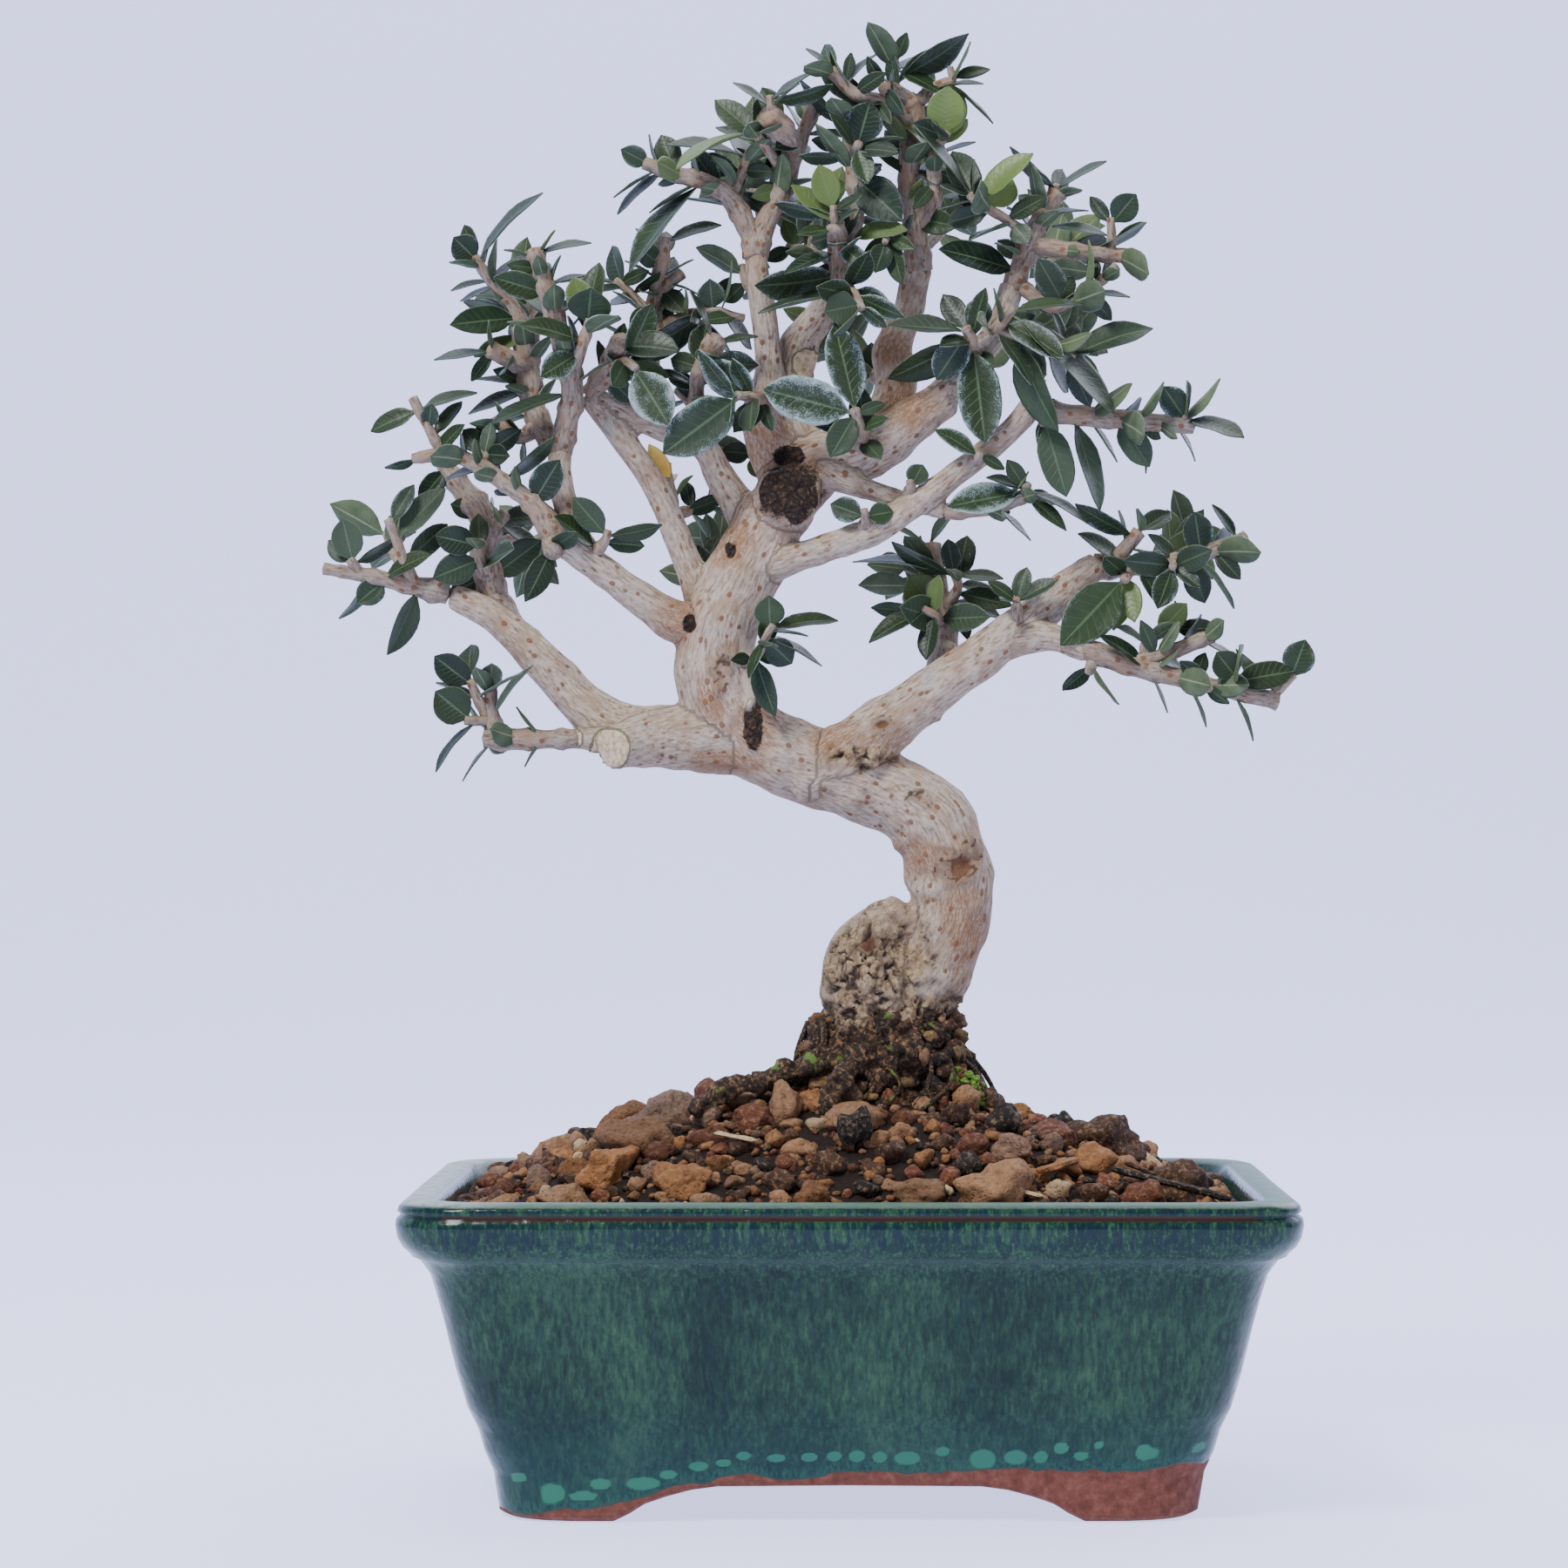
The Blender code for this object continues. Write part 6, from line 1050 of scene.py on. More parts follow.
def leaf_blades(leaves, draws):
    """All blades of a spray at once: points, faces and the values that the leaf's colours use."""
    count = len(leaves)
    base = np.array([leaf[0] for leaf in leaves])
    tip = np.array([leaf[1] for leaf in leaves])
    width = np.array([leaf[2] for leaf in leaves])
    normal = np.array([leaf[3] for leaf in leaves])
    length = np.linalg.norm(tip - base, axis=1)
    along = (tip - base) / length[:, None]
    normal -= along * np.einsum("ij,ij->i", normal, along)[:, None]
    normal /= np.linalg.norm(normal, axis=1)[:, None]
    side = np.cross(along, normal)
    tone = np.array([leaf_kind(leaf[0], leaf[1], draws) for leaf in leaves])
    lots = np.array([[draws.random() for _ in range(6)] for _ in leaves])
    u = np.linspace(0, 1, LEAF_ROWS)
    u = u - 0.09 * np.sin(2 * math.pi * u)
    s = np.clip((u - STALK_SHARE) / (1 - STALK_SHARE), 0, 1)
    power = 2.15 + 0.9 * lots[:, 0]
    shape = 1 - np.abs(2 * s[None] ** 0.93 - 1) ** power[:, None]
    half = np.maximum(width[:, None] / 2 * shape * 1.04, 0.42)
    half[:, -1] = 0.12
    half[:, 0] = 0.5
    v = np.sin(np.linspace(-1, 1, LEAF_COLUMNS) * math.pi / 2)
    both = np.concatenate([v, v[-2:0:-1]])
    upper = np.concatenate([np.ones(LEAF_COLUMNS), -np.ones(LEAF_COLUMNS - 2)])
    thick = BLADE_THICK / 2 * np.sqrt(np.clip(1 - np.abs(both) ** 2.5, 0.0, 1))
    fold = 0.16 + 0.16 * lots[:, 1]
    arch = LEAF_ARCH * length[:, None] * 4 * u * (1 - u)
    curl = (lots[:, 2, None] - 0.55) * 0.10 * length[:, None] * (u - 0.6) * (u > 0.6) * 2.0
    wave = 0.05 * np.sin(9 * u[None] + 20 * lots[:, 3, None])
    lift = fold[:, None, None] * half[..., None] * np.abs(both) ** 1.4
    lift = lift + wave[..., None] * half[..., None] * both
    groove = -0.10 * np.exp(-(both / 0.13) ** 2) * upper
    height = (arch + curl)[..., None] + lift + (thick * upper + groove)
    height = height - 0.12 * half[..., None]
    across = half[..., None] * both
    points = (base[:, None, None] + along[:, None, None] * (length[:, None] * u)[..., None, None]
              + side[:, None, None] * across[..., None] + normal[:, None, None] * height[..., None])
    ring = len(both)
    verts = points.reshape(-1, 3)
    leaf_at, row, k = np.meshgrid(np.arange(count), np.arange(LEAF_ROWS - 1), np.arange(ring), indexing="ij")
    start = leaf_at * LEAF_ROWS * ring + row * ring
    n = (k + 1) % ring
    quads = np.stack([start + k, start + n, start + ring + n, start + ring + k], -1).reshape(-1, 4)
    # flat ends: fans over the first and the last ring
    fan = np.arange(1, ring - 1)
    first = (np.arange(count) * LEAF_ROWS * ring)[:, None]
    last = first + (LEAF_ROWS - 1) * ring
    ends = [np.stack([first + 0 * fan, first + fan + 1, first + fan], -1),
            np.stack([last + 0 * fan, last + fan, last + fan + 1], -1)]
    triangles = np.concatenate([end.reshape(-1, 3) for end in ends])
    faces = split_faces(quads, triangles)
    shape3 = (count, LEAF_ROWS, ring)
    grid = np.stack([np.broadcast_to(u[None, :, None], shape3), np.broadcast_to(both, shape3),
                     np.broadcast_to(upper, shape3)], -1)
    lot = np.broadcast_to(lots[:, None, None, 3:6] * 40.0, shape3 + (3,))
    local = np.stack([(length[:, None] * u)[..., None] + 0 * across, across, 0 * across], -1) + lot
    values = {
        "leaf_uv": grid.reshape(-1, 3), "leaf_mm": local.reshape(-1, 3),
        "tone": np.broadcast_to(tone[:, None, None, :3], shape3 + (3,)).reshape(-1, 3),
        "yellow": np.broadcast_to(tone[:, None, None, 3], shape3).reshape(-1),
        "lot": np.broadcast_to(lots[:, 4, None, None], shape3).reshape(-1),
    }
    return verts, faces, values


def twig_skins(spray, seed):
    """The spray's own twigs as fine swept skins."""
    skins, place = [], []
    for number, path in enumerate(spray["wood"] + spray["shoots"]):
        centres, radii = smooth_path(path, 9)
        joint = np.exp(-((run_along(centres) % TWIG_JOINTS - TWIG_JOINTS / 2) / 0.9) ** 2)
        radii = radii * (1 + 0.14 * noise3(centres * 0.4, seed + number) + 0.16 * joint)
        skins.append(sweep(centres, radii, 12, 0.14, seed + number))
        place.append(limb_values(skins[-1][0], [(centres, radii)]))
    return *joined(skins), np.vstack(place)


def build_spray(node, spray, materials):
    """One leafy spray: its twigs and its blades in one piece."""
    seed = sum(ord(letter) for letter in node)
    draws = random.Random(seed)
    verts, faces, place = twig_skins(spray, seed)
    wood_faces = len(faces)
    wood_verts = len(verts)
    values = {"leaf_uv": np.zeros((0, 3)), "leaf_mm": np.zeros((0, 3)), "tone": np.zeros((0, 3)),
              "yellow": np.zeros(0), "lot": np.zeros(0)}
    if LEAVES[node]:
        blades, blade_faces, values = leaf_blades(LEAVES[node], draws)
        faces = np.vstack([faces, blade_faces + wood_verts])
        verts = np.vstack([verts, blades])
        place = np.vstack([place, np.zeros((len(blades), 3))])
    full = {}
    for key, value in values.items():
        full[key] = np.concatenate([np.zeros((wood_verts,) + value.shape[1:]), value])
    piece = make_piece("fine_" + node, placed(verts), faces, materials[0], limb=place, **full)
    piece.data.materials.append(materials[1])
    slots = np.zeros(len(faces), np.int32)
    slots[:wood_faces] = 1
    piece.data.polygons.foreach_set("material_index", slots)
    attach(piece, "root")
    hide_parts(node)
    return len(faces)

# %% [markdown]
# ## The pot
# One closed profile is carried round a rounded rectangle. Round that way the lowest rows are squeezed up by
# the height of the arches between the feet, so P(s, t) = corner(s) at the profile's half width b(t), with
# z = z(t) + arch(s) (1 - z(t) / 22)^2 below 22 mm. The two drain holes are bored last.

# %% The pot's skin
POT_DEPTH_LESS = 22.5
POT_CORNER = 14.0
POT_INSIDE_FOOT = [(57.0, 8.0), (57.4, 4.0), (58.0, 0.6), (58.6, 0.0)]
POT_OUTSIDE = [
    (67.7, 0.0), (69.1, 0.25), (70.5, 1.2), (71.7, 9.0), (73.5, 13.5), (74.7, 18.0), (76.7, 22.5),
    (78.7, 30.0), (80.9, 40.0), (82.4, 46.0), (83.5, 49.8), (85.4, 52.8), (86.9, 53.6), (87.3, 54.3),
    (88.6, 55.6), (89.6, 57.6), (90.0, 60.0), (89.8, 61.3), (89.1, 61.9), (89.1, 62.3), (89.6, 62.8),
    (89.3, 63.8), (88.4, 64.6), (86.9, 65.0),
]
POT_INSIDE = [(84.6, 65.0), (83.2, 64.7), (82.2, 63.8), (81.6, 62.0), (79.6, 54.0), (74.3, 35.0),
              (69.4, 17.6), (67.8, 14.8), (66.0, 14.0), (40.0, 14.0)]
# Arch between two feet: share of its half length from the middle, and height. It fades out at ARCH_TOP.
ARCH_SHAPE = [(0.0, 7.2), (0.56, 7.0), (0.67, 6.3), (0.78, 4.9), (0.87, 3.4), (0.93, 1.6), (1.0, 0.0),
              (9.0, 0.0)]
ARCH_TOP = 22.0
UNDERSIDE_TOP = 8.4
ARCH_HALF_FRONT = 47.0
ARCH_HALF_SIDE = 27.0
DRAIN_HOLE_RADIUS = 9.0
DRAIN_HOLE_AT = 38.0
# Steps of the profile, and closer ones outside near the foot, where the glaze ends
STEP = 1.9
FOOT_STEP = 0.55
FOOT_HALF = 66.1
FOOT_TOP = 19.0


def rounded_round(half, corner_points=10, front_points=235, side_points=120):
    """Points round a rounded rectangle: half a width for each row, and the same share of the way round."""
    corner = np.minimum(POT_CORNER, half - POT_DEPTH_LESS - 8.0)[:, None]
    wide, deep = half[:, None] - corner, half[:, None] - POT_DEPTH_LESS - corner
    parts = []
    turns = np.linspace(0, math.pi / 2, corner_points, endpoint=False)
    for quarter, (sx, sy) in enumerate([(1, 1), (-1, 1), (-1, -1), (1, -1)]):
        angle = turns + quarter * math.pi / 2
        parts.append(np.stack([sx * wide + corner * np.cos(angle), sy * deep + corner * np.sin(angle)], -1))
        last = (quarter + 1) * math.pi / 2
        points = front_points if quarter % 2 == 0 else side_points
        share = np.linspace(1, -1, points, endpoint=False)[None]
        if quarter % 2 == 0:
            line = np.stack([sx * wide * share, sy * deep + corner * math.sin(last) + 0 * share], -1)
        else:
            line = np.stack([sx * wide + corner * math.cos(last) + 0 * share, sy * deep * share], -1)
        parts.append(line)
    return np.concatenate(parts, axis=1)


def arch_height(x, y, half):
    """Height of the opening between two feet at a place on the wall."""
    share, height = np.array(ARCH_SHAPE).T
    on_front = np.abs(y) > half - POT_DEPTH_LESS - 2.0
    front = np.interp(np.abs(x) / ARCH_HALF_FRONT, share, height)
    side = np.interp(np.abs(y) / ARCH_HALF_SIDE, share, height)
    return np.where(on_front, front, side)


def fine_profile(profile):
    """Points at even steps along a profile's lines, with each corner kept, and closer ones near the foot."""
    made = []
    for (b0, z0), (b1, z1) in zip(profile[:-1], profile[1:]):
        near = b0 > FOOT_HALF and z1 < FOOT_TOP and b1 > b0
        parts = max(1, round(math.hypot(b1 - b0, z1 - z0) / (FOOT_STEP if near else STEP)))
        made += [(b0 + (b1 - b0) * i / parts, z0 + (z1 - z0) * i / parts) for i in range(parts)]
    return np.array(made + [profile[-1]])


def bore(target, places, radius, low, high):
    """Round holes down through a piece."""
    cutters = bpy.data.collections.new("cutters")
    bpy.context.scene.collection.children.link(cutters)
    for x, y in places:
        height = np.array([[0, 0, low], [0, 0, high]]) + (x, y, 0)
        verts, faces = sweep(height, np.full(2, radius), 48)
        mesh = bpy.data.meshes.new("cutter")
        mesh.from_pydata(placed(verts).tolist(), [], faces.tolist())
        cutters.objects.link(bpy.data.objects.new("cutter", mesh))
    cut = target.modifiers.new("bore", "BOOLEAN")
    cut.operand_type = "COLLECTION"
    cut.collection = cutters
    cut.solver = "EXACT"
    graph = bpy.context.evaluated_depsgraph_get()
    done = bpy.data.meshes.new_from_object(target.evaluated_get(graph))
    target.modifiers.clear()
    target.data = done
    for item in list(cutters.objects):
        bpy.data.objects.remove(item)
    bpy.data.collections.remove(cutters)


def build_pot(material):
    """The glazed pot."""
    rows = fine_profile(POT_INSIDE_FOOT + POT_OUTSIDE + POT_INSIDE)
    half, z = rows[:, 0], rows[:, 1]
    flat = rounded_round(half)
    ring = flat.shape[1]
    lift = arch_height(flat[..., 0], flat[..., 1], half[:, None])
    # the inner side of the foot and the outer wall rise with the arch; the underside and the inside stay
    inner = len(fine_profile(POT_INSIDE_FOOT)) - 1
    outer_end = int(np.argmax(z > ARCH_TOP))
    squeeze = np.where(z < ARCH_TOP, (1 - z / ARCH_TOP) ** 1.6, 0.0)
    squeeze[:inner] = 1 - z[:inner] / UNDERSIDE_TOP
    squeeze[outer_end:] = 0.0
    height = z[:, None] + lift * squeeze[:, None]
    sag = 0.35 * noise3(np.stack([flat[..., 0] * 0.03, flat[..., 1] * 0.03, height * 0.05], -1), 4)
    outward = np.sign(flat) * 0.5
    points = np.concatenate([flat + outward * sag[..., None], height[..., None]], -1)
    count = len(rows)
    mesh = bpy.data.meshes.new("fine_pot")
    faces = ring_quads(count, ring).tolist()
    faces.append(list(range(ring))[::-1])
    faces.append(list(range((count - 1) * ring, count * ring)))
    mesh.from_pydata(placed(points.reshape(-1, 3)).tolist(), [], faces)
    mesh.materials.append(material)
    pot = add_object("fine_pot", mesh)
    bore(pot, [(-DRAIN_HOLE_AT, 0), (DRAIN_HOLE_AT, 0)], DRAIN_HOLE_RADIUS, 3.0, 20.0)
    for face in pot.data.polygons:
        face.use_smooth = len(face.vertices) < 6
    points, _ = read_points(pot.data)
    mm = (points - POT_MIDDLE) / MM
    set_values(pot.data, glaze_mm=mm, dip=glaze_edge(mm), bead=bead_depth(mm))
    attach(pot, "root")
    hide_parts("pot")
    print("pot", len(pot.data.polygons), "faces")


# height of the glaze's edge along x
GLAZE_LINE = [(-90, 1.5), (-60, 2.0), (-50, 3.5), (-45, 4.3), (-40, 5.8), (-36, 7.0), (-30, 7.6), (-20, 9.3),
              (20, 10.3), (55, 10.8), (90, 11.2)]
# beads of mint green glaze where it ran: x, z, half width, half height
BEADS = [
    (-59, 6, 2.5, 2.2), (-49.5, 8, 2.2, 1.1), (-41, 8, 3.6, 1.3), (-53, 5.5, 3.0, 0.9), (-30, 11.5, 2.0, 1.0),
    (-21, 13.7, 1.5, 0.9), (-14.5, 13.2, 1.9, 0.9), (-25, 12.2, 1.6, 0.8), (-8, 13.4, 1.7, 1.0),
    (-3, 13.6, 1.5, 1.1), (1.5, 13.6, 1.7, 1.3), (6, 13.4, 1.5, 1.2), (11.5, 13.2, 2.7, 1.5),
    (18.5, 14.6, 1.4, 1.0), (26.5, 13.0, 2.7, 2.2), (33, 13.4, 2.4, 1.6), (38, 13.5, 1.4, 1.3),
    (42, 15.4, 1.5, 1.2), (49.5, 16, 0.8, 0.7), (58.5, 14.5, 1.8, 1.7), (69.5, 15, 1.3, 1.0), (-66, 9, 1.2, 1.0),
    (46, 13.8, 1.5, 0.9), (-36, 9.8, 1.8, 0.9),
]
BEAD_STEP = 6.5


def bead_depth(mm):
    """Closeness to a bead: the picked ones in front, and one every few millimetres on the other sides."""
    close = np.full(len(mm), -9.0)
    for x, z, wide, high in BEADS:
        close = np.maximum(close, 1.0 - ((mm[:, 0] - x) / wide) ** 2 - ((mm[:, 2] - z) / high) ** 2)
    front = mm[:, 1] < -36.0
    run = np.where(np.abs(mm[:, 1]) > 30.0, mm[:, 0], mm[:, 1])
    cell = np.floor(run / BEAD_STEP)
    lot = np.sin(cell * 12.99) * 43.7 % 1.0
    rule = 1.0 - ((run - (cell + 0.5) * BEAD_STEP) / (1.2 + 1.4 * lot)) ** 2
    rule = rule - ((glaze_edge(mm) - 2.6 - 1.2 * lot) / 1.1) ** 2 - np.where(lot < 0.35, 5.0, 0.0)
    outside = np.maximum(np.abs(mm[:, 0]) - 68.0, np.abs(mm[:, 1]) - 45.5) > 0
    return np.clip(np.where(front, close, np.where(outside, rule, -1.0)), 0.0, 1.0)


def glaze_edge(mm):
    """Height above the tilted and wavy edge down to which the pot was dipped in glaze."""
    line = np.array(GLAZE_LINE)
    wave = 0.9 * noise3(mm * (0.09, 0.09, 0.0), 31) + 0.45 * noise3(mm * (0.35, 0.35, 0.0), 32)
    inside = (np.abs(mm[:, 0]) < 64) & (np.abs(mm[:, 1]) < 42) & (mm[:, 2] < 13.5)
    above = mm[:, 2] - np.interp(mm[:, 0], line[:, 0], line[:, 1]) - wave
    return np.where(inside, -6.0, above)


# %% [markdown]
# ## Soil, stones, gravel, moss and rootlets
# The mound is a height H(x, y) over the pot's inside, a flat-topped dome. Stones are balls pushed in and
# out by noise. The big ones stand where the solids have them; small ones are dropped by a seeded rule.

# %% Soil and stones
SOIL_EDGE = 61.0
SOIL_EDGE_HALF = 80.2
SOIL_TOP = 86.0
MOUND_CENTRE_X = -4.0
MOUND_SLOPE = 1.5
MOUND_SQUARE = 2.6
STONE_COUNT = 30
STONE_SEED = 11
STONE_SIZES = (4.6, 8.4)
STONE_PLANES = 9
STONE_BIG = [
    (1.0, 80.0, -27.0, 7.2, 3.4), (-38.0, 80.5, -14.0, 6.4, 4.6), (-13.0, 80.0, -22.0, 4.4, 5.0),
    (-20.0, 80.0, -26.0, 4.6, 3.2), (15.0, 68.0, -52.0, 6.2, 3.4), (-8.0, 66.5, -54.0, 5.2, 3.6),
    (-60.0, 67.0, -44.0, 6.0, 4.2), (50.0, 72.0, -30.0, 5.0, 3.6), (62.0, 68.0, -40.0, 5.6, 3.6),
    (34.0, 74.0, -34.0, 4.6, 3.2), (-47.0, 66.0, -52.0, 5.6, 2.8),
]
# colour classes of the stones: tan, ochre, red brown, dark brown, grey brown, black, pale
BIG_CLASSES = [0, 4, 0, 2, 0, 1, 0, 1, 2, 4, 0]
MEDIUM_COUNT = 420
SMALL_COUNT = 1950
PEBBLE_SHARES = (0.27, 0.15, 0.20, 0.21, 0.06, 0.08, 0.03)


def soil_height(x, y):
    """The mound: level along the rim, rising in a soft dome round the trunk."""
    inside_x = np.abs(x - MOUND_CENTRE_X * (1.0 - np.abs(x) / SOIL_EDGE_HALF)) / SOIL_EDGE_HALF
    inside_y = np.abs(y) / (SOIL_EDGE_HALF - POT_DEPTH_LESS)
    away = np.minimum(1.0, (inside_x ** MOUND_SQUARE + inside_y ** MOUND_SQUARE) ** (1 / MOUND_SQUARE))
    return SOIL_EDGE + (SOIL_TOP - SOIL_EDGE) * (1.0 - away ** MOUND_SLOPE)


def solid_stones():
    """Centres and half sizes of the solids' stones: the large ones picked, the rest by a rule."""
    draws = random.Random(STONE_SEED)
    stones = []
    for x, z, y, size, high in STONE_BIG:
        at = seen(x, z, y)
        stones.append((at.x, at.y, float(soil_height(at.x, at.y)) + 0.25 * high, size, high))
    tries = 0
    while len(stones) < STONE_COUNT and tries < 6000:
        tries += 1
        x = draws.uniform(-76.0, 76.0)
        y = draws.uniform(-53.0, 53.0)
        size = draws.uniform(*STONE_SIZES)
        if math.hypot(x - 5.0, y) < 19.0 + size:
            continue
        if abs(x) + size > 80.0 or abs(y) + size > 57.5:
            continue
        if any(math.hypot(x - sx, y - sy) < 0.78 * (size + other) for sx, sy, _, other, _ in stones):
            continue
        high = size * draws.uniform(0.55, 0.75)
        stones.append((x, y, float(soil_height(x, y)) + 0.15 * high, size, high))
    return stones


def pebbles(taken, count, sizes_from, clear, seed):
    """Stones by lot: a place on the mound, a size and a colour class, kept off those that lie there."""
    rng = np.random.default_rng(seed)
    found = [(x, y, size) for x, y, size in taken]
    made = []
    for _ in range(count * 6):
        if len(made) == count:
            break
        x, y = rng.uniform(-78.5, 78.5), rng.uniform(-56.3, 56.3)
        size = rng.uniform(*sizes_from)
        if math.hypot(x - 6, y) < 12.5 or abs(x) + size > 80.6 or abs(y) + size > 58.2:
            continue
        others = np.array(found)
        if np.any(np.hypot(others[:, 0] - x, others[:, 1] - y) < clear * (others[:, 2] + size)):
            continue
        found.append((x, y, size))
        high = size * rng.uniform(0.6, 0.9)
        made.append((x, y, float(soil_height(x, y)) + rng.uniform(0.0, 0.5) * high, size, high))
    classes = rng.choice(len(PEBBLE_SHARES), len(made), p=PEBBLE_SHARES)
    return np.array(made), classes, found


def turned(first, second, angle):
    """Two coordinates turned by an angle for each stone."""
    c, s = np.cos(angle)[:, None], np.sin(angle)[:, None]
    return first * c - second * s, first * s + second * c


def stone_skins(stones, classes, level, seed, rough):
    """Many stones at once: an icosphere scaled, turned and pushed by noise for each."""
    ball = bmesh.new()
    bmesh.ops.create_icosphere(ball, subdivisions=level, radius=1.0)
    shape = np.array([v.co[:] for v in ball.verts])
    faces = np.array([[v.index for v in face.verts] for face in ball.faces])
    ball.free()
    rng = np.random.default_rng(seed)
    count = len(stones)
    stones = np.asarray(stones, float)
    shift = rng.uniform(0, 50, (count, 1, 3))
    # broken faces: each stone is cut by planes at some share of its radius, which leaves flat sides
    planes = rng.normal(size=(count, STONE_PLANES, 3))
    planes /= np.linalg.norm(planes, axis=2)[..., None]
    offsets = rng.uniform(0.52, 0.95, (count, 1, STONE_PLANES))
    slant = np.einsum("vk,cpk->cvp", shape, planes)
    cut = np.where(slant > offsets, offsets / np.maximum(slant, 1e-6), 1.0).min(axis=2)
    body = shape[None] * cut[..., None] * 1.12
    push = 1 + rough * layers(shape[None] * 1.6 + shift, 3, seed)
    depth = rng.uniform(0.65, 0.85, count)
    scale = np.stack([stones[:, 3], stones[:, 3] * depth, stones[:, 4]], -1)
    body = body * push[..., None] * scale[:, None]
    turn = rng.uniform(0, math.pi, count)
    lean = rng.uniform(-0.35, 0.35, count)
    y, z = turned(body[..., 1], body[..., 2], lean)
    x, y = turned(body[..., 0], y, turn)
    points = np.stack([x, y, z], -1) + stones[:, None, :3]
    each = len(shape)
    all_faces = faces[None] + (np.arange(count) * each)[:, None, None]
    values = {
        "stone": np.repeat(np.asarray(classes, float), each),
        "lot": np.repeat(rng.random(count), each),
        "stone_mm": (body + shift * 3).reshape(-1, 3),
    }
    return points.reshape(-1, 3), all_faces.reshape(-1, 3), values


def build_ground(materials):
    """The soil body with its large stones, and a loose cover of pebbles."""
    share = np.concatenate([[0.0], np.linspace(0.04, 1.0, 46)])
    flat = rounded_round(np.array([80.6]), 8, 40, 28)[0]
    ring = len(flat)
    x = MOUND_CENTRE_X * (1 - share)[:, None] + flat[None, :, 0] * share[:, None]
    y = flat[None, :, 1] * share[:, None]
    rough = 0.55 * layers(np.stack([x * 0.5, y * 0.5, 0 * x], -1), 3, 8)
    top = np.stack([x, y, soil_height(x, y) + rough * np.minimum(1, 8 * (1 - share))[:, None]], -1)[::-1]
    low = [rounded_round(np.array([half]), 8, 40, 28)[0] for half in (65.6, 68.8, 79.1)]
    low = np.stack([np.column_stack([points, np.full(ring, z)])
                    for points, z in zip(low, (14.3, 17.6, 54.0))])
    rings = np.concatenate([low, top[:-1]])
    verts = np.vstack([rings.reshape(-1, 3), top[-1, :1]])
    k = np.arange(ring)
    n = (k + 1) % ring
    tip = np.full(ring, len(verts) - 1)
    last = (len(rings) - 1) * ring
    cap = np.stack([last + k, last + n, tip], -1)
    fan = np.arange(1, ring - 1)
    floor_cap = np.stack([0 * fan, fan + 1, fan], -1)
    soil_faces = split_faces(ring_quads(len(rings), ring), np.vstack([cap, floor_cap]))
    stones = solid_stones()
    classes = (BIG_CLASSES + [1, 3, 0, 4, 2, 0, 1, 3, 0, 2] * 3)[:len(stones)]
    stone_verts, stone_faces, values = stone_skins(stones, classes, 4, 5, 0.22)
    plain = {"stone": np.full(len(verts), -1.0), "lot": np.zeros(len(verts)), "stone_mm": verts}
    full = {key: np.concatenate([plain[key], value]) for key, value in values.items()}
    faces = np.vstack([soil_faces, stone_faces + len(verts)])
    soil = make_piece("soil", placed(np.vstack([verts, stone_verts])), faces, materials[0], **full)
    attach(soil, "root")
    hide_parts("soil_and_gravel")
    taken = [(x, y, size * 0.85) for x, y, _, size, _ in stones]
    medium, medium_classes, taken = pebbles(taken, MEDIUM_COUNT, (2.0, 4.3), 0.80, 21)
    taken = [(x, y, size * 0.8) for x, y, size in taken]
    small, small_classes, _ = pebbles(taken, SMALL_COUNT, (0.6, 1.9), 0.5, 22)
    for name, loose, kinds, level in (("pebbles", medium, medium_classes, 3),
                                      ("grit", small, small_classes, 2)):
        verts, faces, values = stone_skins(loose, kinds, level, 6 + level, 0.20)
        piece = make_piece(name, placed(verts), faces, materials[0], **values)
        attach(piece, "root")
        print(name, len(loose), "with", len(faces), "faces")
    print("soil and stones", len(soil.data.polygons), "faces")


# %% [markdown]
# ## Root crust, moss and litter
# Clods and thin rootlets cling to the stem's foot: a clod stands at an angle a round the foot at the
# radius R(z) of the crust, and a rootlet runs down and outward from it. Moss grows at the right. A wood
# splinter, a dark twig and pieces of charcoal lie on the gravel.

# %% Root crust, moss and litter
FOOT_X = 7.0
CLOD_COUNT = 620
ROOTLET_COUNT = 34
MOSS_SPOTS = [(24, -8, 84, 80, 3.2), (27, -6, 80, 60, 3.0), (22, -12, 77, 30, 2.4)]


def foot_radius(z):
    """Radius of the crust of roots and soil round the stem's foot."""
    return np.interp(z, (74, 82, 90, 98, 104), (27.0, 22.0, 18.0, 15.4, 12.6))


